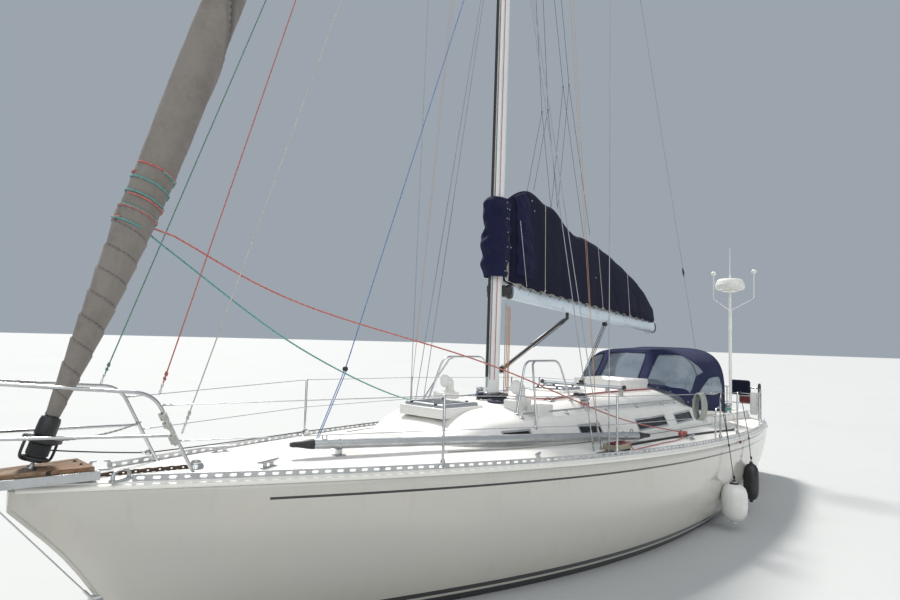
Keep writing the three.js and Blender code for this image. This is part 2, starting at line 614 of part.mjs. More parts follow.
const mast = unite([
  loft([[MAST.foot, 1], [MAST.taperFrom, 1], [MAST.head, MAST.tip]].map(
    ([z, share]) => ovalAt(z, MAST.fore * share, MAST.side * share),
  )),
  shelf(32, ...EARS.low),
  shelf(32, ...EARS.high),
  upright(EARS.low[0] - 5, EARS.high[1] + 5, PIN.r, 12),
  shelf(28, VANG_EYE.shelf, VANG_EYE.shelfTop),
  upright(VANG_EYE.shelf + 2, VANG_EYE.top + 12, PIN.r, 12),
  loft([MASTHEAD.low, MASTHEAD.high].map((z) => [
    mastAt(z, MASTHEAD.fore, MASTHEAD.half), mastAt(z, MASTHEAD.fore, -MASTHEAD.half),
    mastAt(z, -MASTHEAD.aft, -MASTHEAD.half), mastAt(z, -MASTHEAD.aft, MASTHEAD.half),
  ])),
  ...SPREADERS.flatMap((row) => [
    spreader(row, 1), spreader(row, -1),
    loft([row.z - 55, row.z + 55].map((z) => ovalAt(z, MAST.fore + 11, MAST.side + 11))),
  ]),
]).subtract(roofBelow);

// Shrouds: the cap shroud over both spreader tips, two lower shrouds, screws and chainplate
const CHAIN = { s: 4990, y: 1545, low: 1205, high: 1290, pin: 1262, spread: 80, screw: 300, inboard: 132 };
const WIRE_R = 5;
const spreaderTip = ({ z, tip, sweep, fall }, out) => mastAt(z + fall, -sweep, tip + out);
const shroudFoot = (ahead, inboard) => at(CHAIN.s - ahead, CHAIN.y - inboard, CHAIN.pin);
const lowerShroud = (ahead) => rod(
  shroudFoot(ahead, CHAIN.inboard), mastAt(8580, ahead * 0.12, 88), WIRE_R, 6,
);
const screw = (ahead, inboard) => rod(
  shroudFoot(ahead, inboard),
  at(CHAIN.s - ahead * 0.98, CHAIN.y - inboard - 16, CHAIN.pin + CHAIN.screw), 11,
);
const shroudsPort = unite([
  tube([
    shroudFoot(0, 0), spreaderTip(SPREADERS[0], 16), spreaderTip(SPREADERS[1], 14), mastAt(16900, -40, 90),
  ], WIRE_R, 6),
  lowerShroud(CHAIN.spread),
  lowerShroud(-CHAIN.spread),
  box(CHAIN.s - 130, CHAIN.s + 130, CHAIN.y - 157, CHAIN.y + 6, CHAIN.low, CHAIN.high),
  screw(0, 0),
  screw(CHAIN.spread, CHAIN.inboard),
  screw(-CHAIN.spread, CHAIN.inboard),
]).subtract(deckBelow);

// Forestay with its furled sail and drum
// Each row is a height on the stay and a radius.
const STAY = { foot: at(95, 0, 1430), head: mastAt(16990, MASTHEAD.fore + 16), r: 8, bore: 8.4 };
const stayAt = (z) => STAY.foot.clone().lerp(
  STAY.head, (z - STAY.foot.z) / (STAY.head.z - STAY.foot.z),
);
const stayPiece = (rows, sides) => spindle(rows.map(([z]) => stayAt(z)), rows.map(([, r]) => r), sides);
const stayBore = rod(stayAt(1300), stayAt(17200), STAY.bore);
const stayWire = rod(stayAt(1440), stayAt(16985), STAY.r)
  .add(rod(stayAt(1440), stayAt(1530), 20, 10));
const SLEEVE = [
  [1870, 52], [1990, 84], [2350, 106], [3100, 128], [4300, 148], [6200, 152], [9000, 138],
  [12500, 102], [15300, 55], [16100, 26],
];
const DRUM = [
  [1536, 40], [1548, 88], [1660, 92], [1672, 118], [1690, 118], [1700, 66], [1830, 60], [1850, 40],
];
const sail = stayPiece(SLEEVE, 14).subtract(stayBore);
const drum = stayPiece(DRUM, 18).subtract(stayBore);

const BACKSTAY = { s: 11930, z: 1075, screw: 0.03 };
const backstayFoot = at(BACKSTAY.s, 0, BACKSTAY.z);
const backstayHead = mastAt(16960, -MASTHEAD.aft - 10);
const backstay = unite([
  rod(backstayFoot, backstayHead, 6),
  rod(backstayFoot, backstayFoot.clone().lerp(backstayHead, BACKSTAY.screw), 15),
  box(BACKSTAY.s - 30, BACKSTAY.s + 60, -18, 18, 1040, 1090),
]).subtract(deckBelow);

// Boom, on its pin behind the mast; d is the distance aft of the pin
const BOOM = { length: 4330, aftZ: 2735, half: 62, deep: 92 };
const boomAt = (d, up = 0, y = 0) => at(
  pinS + d, y, PIN.z - ((PIN.z - BOOM.aftZ) * d) / BOOM.length + up,
);
const boomRing = ([d, half, deep]) => Array.from({ length: 12 }, (_, k) => {
  const angle = (2 * Math.PI * (k + 0.5)) / 12;
  return boomAt(d, deep * Math.sin(angle), half * Math.cos(angle));
});
const pinBore = upright(1900, 3200, PIN.bore);
const boomEye = upright(EARS.low[1] + 0.4, EARS.high[0] - 9, 30);
const boom = loft([
  [18, 22, 46], [58, 40, 52], [95, BOOM.half, BOOM.deep], [BOOM.length, BOOM.half, BOOM.deep],
].map(boomRing)).add(boomEye).subtract(pinBore);

// Sail cover on the boom, and its collar round the mast
// d: distance aft of the pin; low and top: heights over the boom; half and crown: half widths.
const COVER = [
  { d: 35, low: 124, half: 60, top: 1190, crown: 40 },
  { d: 130, low: 118, half: 100, top: 1260, crown: 58 },
  { d: 480, low: 84, half: 150, top: 1410, crown: 66 },
  { d: 860, low: 84, half: 158, top: 1345, crown: 74 },
  { d: 1130, low: 84, half: 158, top: 1310, crown: 78 },
  { d: 1450, low: 84, half: 158, top: 1130, crown: 82 },
  { d: 2100, low: 84, half: 152, top: 1080, crown: 86 },
  { d: 3050, low: 84, half: 140, top: 880, crown: 84 },
  { d: 3850, low: 84, half: 112, top: 590, crown: 72 },
  { d: 4230, low: 84, half: 74, top: 360, crown: 42 },
];
const COVER_FRONT_R = 120;
const COLLAR_CUT_R = 142;
const coverForm = loft(COVER.map(({ d, low, half, top, crown }) => {
  const side = [
    [half * 0.72, 0], [half, 0.16], [half * 0.94, 0.45], [crown * 1.1, 0.8], [crown * 0.62, 0.95],
  ].map(([y, share]) => [y, low + (top - low) * share]);
  return side.map(([y, z]) => boomAt(d, z, y))
    .concat([boomAt(d, top, 0)], side.reverse().map(([y, z]) => boomAt(d, z, -y)));
})).subtract(boom.translate([0, 0, SEAM]));
const aheadOfPin = box(pinS - 400, pinS, -400, 400, 2000, 5000)
  .subtract(upright(2000, 5000, COVER_FRONT_R, 24));
const sailCover = coverForm.subtract(aheadOfPin);

// Rows are [height, half length, half width] about the mast.
const COLLAR = [[3210, 168, 150], [3330, 196, 166], [3700, 200, 168], [4080, 180, 150], [4200, 150, 122]];
const collar = loft(COLLAR.map(([z, fore, side]) => ovalAt(z, fore, side, 16)))
  .subtract(loft([3000, 4400].map((z) => ovalAt(z, MAST.fore + SEAM, MAST.side + SEAM))))
  .subtract(upright(2000, 5000, COLLAR_CUT_R, 24));

const vang = unite([
  rod(at(pinS + 18, 0, 2078), boomAt(1500, -165), 27, 12),
  tube([boomAt(1440, -195), boomAt(1500, -165), boomAt(1500, -60)], 20, 10),
  upright(VANG_EYE.shelfTop + SEAM, VANG_EYE.top, 32),
]).subtract(pinBore).subtract(boom.translate([0, 0, -SEAM]));

// Spinnaker pole, stowed on chocks on the port side deck
const POLE = { front: at(1900, 260, 1500), back: at(6060, 1500, 1345), r: 46 };
const poleAt = (t) => POLE.front.clone().lerp(POLE.back, t);
const poleChock = (t) => {
  const p = poleAt(t);
  const s = STEM_X - p.x;
  return box(s - 25, s + 25, p.y - 20, p.y + 20, 1150, p.z - 10);
};
const POLE_ROWS = [[0, 26], [0.025, 34], [0.05, POLE.r], [0.95, POLE.r], [0.975, 34], [1, 26]];
const spinnakerPole = unite([
  spindle(POLE_ROWS.map(([t]) => poleAt(t)), POLE_ROWS.map(([, r]) => r), 12),
  poleChock(0.1), poleChock(0.9),
]).subtract(deckBelow);

// Rails on deck

const TOE = { inset: 34, height: 46, thick: 9, front: 600, back: 12000 };
const toeRail = loft(STATIONS.filter((s) => s > TOE.front && s <= TOE.back).map((s) => {
  const y = lines('half', s) - TOE.inset;
  const z = deckHeight(s, y);
  return [
    at(s, y - TOE.thick, z - 30), at(s, y, z - 30),
    at(s, y, z + TOE.height), at(s, y - TOE.thick, z + TOE.height),
  ];
})).subtract(deckBelow);

// Pulpit at the bow: a top rail on two legs, side rails and forward struts
const PULPIT = { legS: 1060, legY: 340, topS: 740, topY: 330, topZ: 1985, foot: 1300, midZ: 1680, r: 13 };
const pulpitHalf = (side) => [
  at(PULPIT.legS, side * PULPIT.legY, PULPIT.foot), at(PULPIT.topS, side * PULPIT.topY, PULPIT.topZ),
  at(-250, side * 150, PULPIT.topZ + 95),
];
const pulpitTop = rounded(
  [...pulpitHalf(1), at(-380, 0, PULPIT.topZ + 105), ...pulpitHalf(-1).reverse()], 130,
);
const pulpitSide = (side) => [
  rod(at(930, side * 371, PULPIT.midZ), at(-205, side * 156, PULPIT.midZ + 55), 11),
  tube(rounded([
    at(-250, side * 151, PULPIT.topZ + 95), at(-205, side * 158, 1735), at(-150, side * 118, 1425),
  ], 120), PULPIT.r),
];
const pulpitLegS = (z) => THREE.MathUtils.mapLinear(z, PULPIT.foot, PULPIT.topZ, PULPIT.legS, PULPIT.topS);

// Pushpit round the stern: two rails on legs
const PUSHPIT = {
  frontS: 10640, sideS: 11300, backS: 11960, top: 1640, mid: 1330, foot: 1000, r: 13, inset: 95, legY: 420,
};
const pushCorner = (s, z, side, inset = PUSHPIT.inset) => at(s, side * (lines('half', s) - inset), z);
const pushSide = (z, side) => [
  pushCorner(PUSHPIT.frontS, z, side), pushCorner(PUSHPIT.sideS, z, side),
  pushCorner(PUSHPIT.backS, z, side, PUSHPIT.inset + 35),
];
const pushRail = (z) => tube(
  rounded([...pushSide(z, 1), ...pushSide(z, -1).reverse()], 150), PUSHPIT.r,
);
const pushPost = (place) => rod(place(PUSHPIT.foot), place(PUSHPIT.top), PUSHPIT.r);
const pushpit = unite([
  pushRail(PUSHPIT.top), pushRail(PUSHPIT.mid),
  ...[1, -1].flatMap((side) => [
    pushPost((z) => pushCorner(PUSHPIT.frontS, z, side)),
    pushPost((z) => pushCorner(PUSHPIT.sideS, z, side)),
    pushPost((z) => at(PUSHPIT.backS, side * PUSHPIT.legY, z)),
  ]),
]).subtract(deckBelow);

// Guardrail of one side: posts with two wires, and a hoop that braces the gate
const POST = { inset: 75, height: 630, r: 12.5, socket: 24, wireR: 4, wireTop: 616, wireLow: 315 };
const POST_S = [2930, 5060, 7650, 8450];
const GATE_HOOP = { s: 7650, reach: 190, rise: 430 };
const railFoot = (s, rise = 0) => {
  const y = lines('half', s) - POST.inset;
  return at(s, y, deckHeight(s, y) + rise);
};
const post = (s) => rod(railFoot(s, -30), railFoot(s, POST.height), POST.r)
  .add(rod(railFoot(s, -30), railFoot(s, 60), POST.socket));
const wireRoute = (rise, pulpitZ, pushpitZ) => [
  at(pulpitLegS(pulpitZ) + 20, PULPIT.legY - 6, pulpitZ),
  ...POST_S.map((s) => railFoot(s, rise)),
  pushCorner(PUSHPIT.frontS - 18, pushpitZ, 1),
];
const topWire = wireRoute(POST.wireTop, 1900, PUSHPIT.top - 20);
const guardrail = unite([
  ...POST_S.map(post),
  tube(topWire, POST.wireR, 6),
  tube(wireRoute(POST.wireLow, 1640, PUSHPIT.mid + 26), POST.wireR, 6),
  tube(rounded([
    railFoot(GATE_HOOP.s, GATE_HOOP.rise), railFoot(GATE_HOOP.s - GATE_HOOP.reach, GATE_HOOP.rise),
    railFoot(GATE_HOOP.s - GATE_HOOP.reach, -30),
  ], 150), 11),
]).subtract(deckBelow);

// Bow platform with the roller that takes the anchor chain, and its teak plank
const PLATFORM = { front: -330, back: 470, z: 1408, thick: 60, plank: 30 };
const plankZ = PLATFORM.z + PLATFORM.thick;
const platform = planPrism([
  [PLATFORM.front, -110], [PLATFORM.front, 110], [120, 170],
  [PLATFORM.back, 210], [PLATFORM.back, -210], [120, -170],
], PLATFORM.z, plankZ).subtract(deckBelow);
const ROLLER = { s: -265, z: 1395, r: 42, waist: 30, half: 38, pin: 8, bore: 9.2 };
const acrossRoller = (half, radius, sides) => rod(
  at(ROLLER.s, -half, ROLLER.z), at(ROLLER.s, half, ROLLER.z), radius, sides,
);
const bowPlatform = platform
  .add(sidePrism([[-320, 1330], [-200, 1330], [-160, 1440], [-330, 1440]], -70, 70))
  .subtract(box(-400, -205, -ROLLER.half - CLEAR, ROLLER.half + CLEAR, 1300, 1500))
  .add(acrossRoller(68, ROLLER.pin, 10));
const bowRoller = spindle(
  [-ROLLER.half, -8, 8, ROLLER.half].map((y) => at(ROLLER.s, y, ROLLER.z)),
  [ROLLER.r, ROLLER.waist, ROLLER.waist, ROLLER.r], 18,
).subtract(acrossRoller(60, ROLLER.bore, 12));
const plank = planPrism(
  [[-180, -95], [-180, 95], [440, 190], [440, -190]], plankZ + SEAM, plankZ + PLATFORM.plank,
).subtract(rod(stayAt(1200), stayAt(1800), 30, 12));
const pulpit = unite([tube(pulpitTop, PULPIT.r), ...pulpitSide(1), ...pulpitSide(-1)])
  .subtract(deckBelow)
  .subtract(unite([platform, plank]).translate([0, 0, SEAM]));
const forestay = stayWire.subtract(platform.translate([0, 0, SEAM]));

const BOBSTAY = { eyeS: 540, eyeZ: 545, topS: -175, topZ: 1412, half: 14 };
const bobstayWire = (side) => rod(
  at(BOBSTAY.eyeS, side * BOBSTAY.half, BOBSTAY.eyeZ),
  at(BOBSTAY.topS, side * BOBSTAY.half, BOBSTAY.topZ),
  WIRE_R, 6,
);
const bobstay = unite([
  bobstayWire(1), bobstayWire(-1),
  box(505, 700, -26, 26, 515, 575), box(-195, -155, -24, 24, 1380, 1412),
]).subtract(hullForm.translate([SEAM, 0, 0])).subtract(bowPlatform.translate([0, 0, -SEAM]));

// Handrails, vents and mast guards on the coachroof

const onRoof = (solid) => solid.subtract(roofBelow).subtract(deckBelow);
const roofEdge = (s, rise) => at(s, column(TRUNK, 'half', s) - 150, column(TRUNK, 'shoulder', s) + rise);
const HANDRAIL_S = [4450, 5200, 6000, 6800, 7600, 8100];
const handrail = onRoof(unite([
  tube(HANDRAIL_S.map((s) => roofEdge(s, 75)), 12),
  ...HANDRAIL_S.map((s) => rod(roofEdge(s, -60), roofEdge(s, 75), 13)),
]));
const DORADE = { s: 4680, y: 560, half: 150, halfWidth: 95, low: 1600, high: 1765 };
const dorade = onRoof(unite([
  box(
    DORADE.s - DORADE.half, DORADE.s + DORADE.half,
    DORADE.y - DORADE.halfWidth, DORADE.y + DORADE.halfWidth, DORADE.low, DORADE.high,
  ),
  spindle(rounded([
    at(DORADE.s + 60, DORADE.y, 1740), at(DORADE.s + 60, DORADE.y, 1890), at(DORADE.s - 30, DORADE.y, 1900),
  ], 60), [52, 52, 54, 58, 66, 78]),
]));
const mastGuard = onRoof(unite([
  tube(rounded([
    at(4480, 700, 1580), at(4700, 640, 2200), at(5450, 600, 2200), at(5720, 620, 1580),
  ], 120), 13),
  tube(rounded([at(4556, 932, 1400), at(4560, 920, 1560), at(4820, 660, 2160), at(4900, 632, 2200)], 60, 2), 12),
]));

// Steering wheel and its pedestal
const WHEEL = { s: 10780, z: 1150, r: 430, rim: 15, spokes: 5, hub: 42 };
const PEDESTAL = { s: 10640, boss: 10738, guardS: 10510, guardHalf: 150, guardTop: 1330 };
const wheelPoint = (radius, angle) => at(WHEEL.s, radius * Math.cos(angle), WHEEL.z + radius * Math.sin(angle));
const alongWheel = (s0, s1, radius, sides) => rod(at(s0, 0, WHEEL.z), at(s1, 0, WHEEL.z), radius, sides);
const spokes = Array.from({ length: WHEEL.spokes }, (_, k) => rod(
  at(WHEEL.s, 0, WHEEL.z), wheelPoint(WHEEL.r, (2 * Math.PI * k) / WHEEL.spokes + Math.PI / 2), 8, 6,
));
const wheel = unite([
  solidOf(new THREE.TorusGeometry(WHEEL.r, WHEEL.rim, 8, 28)
    .rotateY(Math.PI / 2).translate(STEM_X - WHEEL.s, 0, WHEEL.z)),
  ...spokes,
  alongWheel(WHEEL.s - 22, WHEEL.s + 34, WHEEL.hub, 16),
  alongWheel(PEDESTAL.boss + SEAM, WHEEL.s, 20, 12),
]);
const COLUMN = [[75, 0], [62, 600], [88, 920], [88, 960], [88, 1000], [70, 1040], [30, 1066]];
const pedestal = unite([
  box(PEDESTAL.s - 95, PEDESTAL.s + 80, -90, 90, COCKPIT.sole + SEAM, COCKPIT.sole + 40),
  turned(COLUMN, PEDESTAL.s, 0, COCKPIT.sole + 20, 12),
  tube(rounded([
    at(PEDESTAL.guardS, PEDESTAL.guardHalf, COCKPIT.sole + SEAM),
    at(PEDESTAL.guardS, PEDESTAL.guardHalf, PEDESTAL.guardTop),
    at(PEDESTAL.guardS, -PEDESTAL.guardHalf, PEDESTAL.guardTop),
    at(PEDESTAL.guardS, -PEDESTAL.guardHalf, COCKPIT.sole + SEAM),
  ], 90), 13),
  rod(at(PEDESTAL.guardS, 0, PEDESTAL.guardTop), at(PEDESTAL.s, 0, PEDESTAL.guardTop - 100), 13),
  alongWheel(PEDESTAL.s, PEDESTAL.boss, 36, 14),
]);

// Traveller on the coachroof and genoa tracks on the side decks
const TRAVELLER = { front: 6985, back: 7025, half: 700, low: 1785, high: 1810, feet: [430, 640] };
const traveller = onRoof(unite([
  box(TRAVELLER.front, TRAVELLER.back, -TRAVELLER.half, TRAVELLER.half, TRAVELLER.low, TRAVELLER.high),
  ...TRAVELLER.feet.flatMap((y) => [y, -y]).map(
    (y) => box(TRAVELLER.front - 5, TRAVELLER.back + 5, y - 30, y + 30, 1600, TRAVELLER.low + 14),
  ),
]));
const TRACK = { front: 5480, back: 8900, y: 1462, backY: 1545, half: 16, height: 22 };
const genoaTrack = loft([0, 0.25, 0.5, 0.75, 1].map((t) => {
  const s = THREE.MathUtils.lerp(TRACK.front, TRACK.back, t);
  const y = THREE.MathUtils.lerp(TRACK.y, TRACK.backY, t);
  const z = deckHeight(s, y);
  return [
    at(s, y - TRACK.half, z - 20), at(s, y + TRACK.half, z - 20),
    at(s, y + TRACK.half, z + TRACK.height), at(s, y - TRACK.half, z + TRACK.height),
  ];
})).subtract(deckBelow);

// Dodger: cloth hood with clear panes, on a tube frame
// square: 0.5 bends as an ellipse, less as a flatter arch with rounder corners.

const ARCHES = [
  { s: 8290, half: 960, foot: 1560, crown: 1800, square: 0.5 },
  { s: 8860, half: 1000, foot: 1420, crown: 2350, square: 0.24 },
  { s: 9950, half: 1050, foot: 1330, crown: 2390, square: 0.24 },
];
const ARCH_STEPS = 16;
const CLOTH = 5;
function archPoint({ s, half, foot, crown, square }, k, inset) {
  const angle = (Math.PI * k) / ARCH_STEPS;
  const shape = (value) => Math.sign(value) * Math.abs(value) ** (square * 2);
  return at(
    s, (half - inset) * shape(Math.cos(angle)), foot + (crown - inset - foot) * shape(Math.sin(angle)),
  );
}
function dodgerShell(arches, outset, inset, from, to) {
  const steps = Array.from({ length: to - from + 1 }, (_, k) => k + from);
  return loft(arches.map((row) => steps.map((k) => archPoint(row, k, outset))
    .concat(steps.slice().reverse().map((k) => archPoint(row, k, inset)))));
}
const PANES = [[-900, -420], [-340, 340], [420, 900]];
const frontSlope = sidePrism([[8395, 1800], [8800, 2270], [8900, 2600], [8100, 1900]], -1000, 1000);
const frontHoles = unite(PANES.map(([y0, y1]) => box(8200, 8840, y0, y1, 1400, 2270))).intersect(frontSlope);
const sideHole = sidePrism([[8960, 1560], [9780, 1520], [9780, 2060], [9020, 2060]], 700, 1200);
const dodgerCloth = dodgerShell(ARCHES, 0, CLOTH, 0, ARCH_STEPS)
  .subtract(unite([frontHoles, sideHole, mirrored(sideHole), slideWay]))
  .subtract(roofBelow);
const clearSide = dodgerShell(ARCHES.slice(1), CLOTH + SEAM, CLOTH + 2, 1, 5);
const dodgerClear = unite([
  dodgerShell(ARCHES.slice(0, 2), CLOTH + SEAM, CLOTH + 2, 1, ARCH_STEPS - 1),
  clearSide, mirrored(clearSide),
]).subtract(roofBelow).subtract(slideWay);
const BOW_INSET = 24;
const frameBow = (row) => tube(
  Array.from({ length: ARCH_STEPS + 1 }, (_, k) => archPoint(row, k, BOW_INSET)), 13,
);
const frameStrut = (side) => rod(at(9950, side * 995, 1950), at(8960, side * 952, 1950), 11);
const dodgerFrame = unite([
  frameBow({ ...ARCHES[1], s: 8960, foot: 1330 }), frameBow(ARCHES[2]), frameStrut(1), frameStrut(-1),
]).subtract(cockpit.translate([0, 0, SEAM])).subtract(roofBelow);

// Radar pole on the deck aft of the cockpit, with arms for two small aerials
const RADAR = { s: 11745, y: 550, top: 3540, r: 26, arms: [450, -320], armTop: 3900 };
const nearPole = (ahead, side, z) => at(RADAR.s - ahead, RADAR.y + side, z);
const radarPole = unite([
  rod(nearPole(0, 0, 1000), nearPole(0, 0, RADAR.top), RADAR.r, 12),
  turned([[40, 0], [150, 22], [150, 40]], RADAR.s, RADAR.y, RADAR.top - 12, 16),
  tube([nearPole(-75, 0, 1000), nearPole(-75, 0, 3180), nearPole(0, 0, 3290)], 13),
  ...RADAR.arms.flatMap((side) => [
    tube(rounded([
      nearPole(0, 0, 3160), nearPole(0, side, 3400), nearPole(0, side, RADAR.armTop),
    ], 60, 2), 9, 6),
    turned([[30, 0], [48, 20], [44, 62], [16, 80]], RADAR.s, RADAR.y + side, RADAR.armTop - 10, 12),
  ]),
]).subtract(deckBelow);
const RADOME = [[150, 0], [240, 14], [276, 44], [268, 84], [238, 200], [206, 228], [20, 240]];
const radome = turned(RADOME, RADAR.s, RADAR.y, RADAR.top + 28 + SEAM, 24)
  .add(rod(nearPole(0, 0, RADAR.top + 200), nearPole(0, 0, RADAR.top + 890), 6, 6));

// Fenders hung on the port side
const FENDERS = [
  { name: 'fender_white', s: 7640, z: 380, r: 165, half: 240, color: 0xd9d8d2 },
  { name: 'fender_black', s: 8650, z: 480, r: 105, half: 260, color: 0x18181a },
];
const FENDER_SHAPE = [
  [0.2, -1.12], [0.3, -1.0], [0.72, -0.86], [0.97, -0.55], [1, 0],
  [0.97, 0.55], [0.72, 0.86], [0.3, 1.0], [0.2, 1.12],
];
const fender = ({ s, z, r, half }) => {
  const reach = FENDER_SHAPE.map(([share, rise]) => hullHalf(s, z + rise * half) + share * r);
  return turned(FENDER_SHAPE.map(([share, rise]) => [r * share, half * rise]), s, Math.max(...reach) - 14, z)
    .subtract(hullForm.translate([0, SEAM, 0]));
};

// Ropes: one coil hung over the port guardrail, one laid on the coachroof by the mast
const HUNG_COIL = { s: 7030, long: 168, drop: 326, wide: 104, rope: 14, seat: 0.8 };
const hangFrom = topWire[2].clone().lerp(topWire[3], (HUNG_COIL.s - POST_S[1]) / (POST_S[2] - POST_S[1]));
const wireWay = topWire[3].clone().sub(topWire[2]).normalize();
const hungOutline = (grow) => {
  const half = { across: HUNG_COIL.wide / 2 + grow, up: HUNG_COIL.drop / 2 + grow };
  const centre = POST.wireR + HUNG_COIL.seat - HUNG_COIL.drop / 2;
  return Array.from({ length: 20 }, (_, k) => {
    const angle = (2 * Math.PI * k) / 20;
    return [half.across * Math.cos(angle), centre + half.up * Math.sin(angle)];
  });
};
const hungBody = (grow, reach) => loft([-reach, reach].map((along) => hungOutline(grow).map(
  ([y, z]) => hangFrom.clone().addScaledVector(wireWay, along).add(new THREE.Vector3(0, y, z)),
)));
const hungCoil = hungBody(HUNG_COIL.rope * 1.5, HUNG_COIL.long / 2).subtract(hungBody(0, HUNG_COIL.long));

const LAID_COIL = { s: 4720, y: 235, seat: 1683, r: 100, rope: 12, half: 27, high: 46, round: 13 };
const laidOuter = LAID_COIL.r + LAID_COIL.half;
const laidCoil = turned([
  [laidOuter, -60],
  [laidOuter, LAID_COIL.high - LAID_COIL.round],
  [laidOuter - LAID_COIL.round, LAID_COIL.high],
], LAID_COIL.s, LAID_COIL.y, LAID_COIL.seat, 24)
  .subtract(rod(
    at(LAID_COIL.s, LAID_COIL.y, LAID_COIL.seat - 100), at(LAID_COIL.s, LAID_COIL.y, LAID_COIL.seat + 100),
    LAID_COIL.r - LAID_COIL.half, 24,
  ))
  .subtract(roofBelow);

// Finishes

const finish = (color, roughness, metalness = 0, opacity = 1) => new THREE.MeshStandardMaterial({
  color, roughness, metalness, opacity, transparent: opacity < 1,
});
const GELCOAT = finish(0xe9e7e1, 0.28);
const DECK_WHITE = finish(0xe4e2db, 0.5);
const ANTIFOUL = finish(0x161618, 0.8);
const ALLOY = finish(0xb9bcbe, 0.42, 0.9);
const STEEL = finish(0xc9ccce, 0.16, 1);
const MAST_WHITE = finish(0xeeeeec, 0.32);
const BOOM_GREY = finish(0xa9b4bd, 0.4, 0.3);
const NAVY = finish(0x1b2140, 0.9);
const TAUPE = finish(0x7b746c, 0.88);
const BLACK = finish(0x161617, 0.5);
const TEAK = finish(0x7d5c3e, 0.7);
const SMOKE = finish(0x14181b, 0.08, 0, 0.55);
const CLEAR_VINYL = finish(0x9aa3a6, 0.1, 0, 0.3);
const BRONZE = finish(0x9a7b43, 0.35, 0.9);
const PALE_ROPE = finish(0xb9bcae, 0.9);
const DARK_ROPE = finish(0x23263a, 0.9);

// Assembly: a group stands where its pieces are stepped, hung or turn.

function standAt(place, parent) {
  const group = new THREE.Group();
  group.userData.place = place;
  group.position.copy(place);
  if (parent) {
    group.position.sub(parent.userData.place);
    parent.add(group);
  }
  return group;
}

const yacht = standAt(new THREE.Vector3(), null);
yacht.name = 'sailing_yacht';
const rig = standAt(mastAt(MAST.foot), yacht);
const swinging = standAt(boomAt(0), rig);
const drive = standAt(shaftAt(0), yacht);
const steering = standAt(at(PEDESTAL.s, 0, COCKPIT.sole), yacht);
const canopy = standAt(at(ARCHES[1].s, 0, ARCHES[1].foot), yacht);
const radarGear = standAt(nearPole(0, 0, 1000), yacht);

function addPiece(name, solid, material, group = yacht, place = group.userData.place) {
  const { vertProperties, triVerts, numProp } = solid.getMesh();
  const points = [];
  for (let i = 0; i < vertProperties.length; i += numProp) {
    points.push(new THREE.Vector3().fromArray(vertProperties, i).sub(place));
  }
  const geometry = new THREE.BufferGeometry().setFromPoints(points);
  geometry.setIndex(new THREE.BufferAttribute(new Uint32Array(triVerts), 1));
  geometry.computeVertexNormals();
  const mesh = new THREE.Mesh(geometry, material);
  mesh.name = name;
  mesh.position.copy(place).sub(group.userData.place);
  group.add(mesh);
}

function addPair(name, solid, material) {
  addPiece(`${name}_port`, solid, material);
  addPiece(`${name}_starboard`, mirrored(solid), material);
}

addPiece('hull', hull, GELCOAT);
addPiece('keel', keel, ANTIFOUL);
addPiece('rudder', rudder, ANTIFOUL, yacht, at(RUDDER.s, 0, 0));
addPiece('propeller', propeller, BRONZE, drive, hubCentre);
addPiece('shaft_strut', strut, BRONZE, drive);
addPiece('deck', deck, DECK_WHITE);
addPiece('coachroof', coachroof, DECK_WHITE);
addPiece('cockpit', cockpit, DECK_WHITE);
addPair('cabin_windows', windowsPort, SMOKE);
addPiece('fore_hatch', hatchLid(FORE_HATCH), SMOKE);
addPiece('saloon_hatch', hatchLid(SALOON_HATCH), SMOKE);
addPiece('companion_slide', slide, DECK_WHITE);
addPiece('washboards', boards, TEAK);
addPair('locker_lid', lockerLid, DECK_WHITE);
addPair('toe_rail', toeRail, ALLOY);
addPiece('bow_platform', bowPlatform, ALLOY);
addPiece('bow_roller', bowRoller, BLACK, yacht, at(ROLLER.s, 0, ROLLER.z));
addPiece('bow_plank', plank, TEAK);
addPiece('bobstay', bobstay, STEEL);
addPiece('pulpit', pulpit, STEEL);
addPiece('pushpit', pushpit, STEEL);
addPair('guardrail', guardrail, STEEL);
addPiece('mast', mast, MAST_WHITE, rig);
addPiece('boom', boom, BOOM_GREY, swinging);
addPiece('vang', vang, BLACK, swinging);
addPiece('sail_cover', sailCover, NAVY, swinging);
addPiece('cover_collar', collar, NAVY, rig);
addPiece('forestay', forestay, STEEL, rig);
addPiece('furled_headsail', sail, TAUPE, rig);
addPiece('furler_drum', drum, BLACK, rig);
addPiece('backstay', backstay, STEEL, rig);
addPair('shrouds', shroudsPort, STEEL);
addPiece('spinnaker_pole', spinnakerPole, ALLOY);
addPair('handrail', handrail, STEEL);
addPair('dorade_vent', dorade, DECK_WHITE);
addPair('mast_guard', mastGuard, STEEL);
addPair('primary_winch', primaryWinch, STEEL);
addPiece('traveller', traveller, ALLOY);
addPair('genoa_track', genoaTrack, BLACK);
addPiece('steering_wheel', wheel, STEEL, steering, at(WHEEL.s, 0, WHEEL.z));
addPiece('steering_pedestal', pedestal, DECK_WHITE, steering);
addPiece('dodger_cloth', dodgerCloth, NAVY, canopy);
addPiece('dodger_windows', dodgerClear, CLEAR_VINYL, canopy);
addPiece('dodger_frame', dodgerFrame, STEEL, canopy);
addPiece('radar_pole', radarPole, STEEL, radarGear);
addPiece('radome', radome, MAST_WHITE, radarGear);
addPiece('lifeline_coil', hungCoil, PALE_ROPE);
addPiece('halyard_coil', laidCoil, DARK_ROPE);
FENDERS.forEach((row) => addPiece(row.name, fender(row), finish(row.color, 0.45)));

export default yacht;
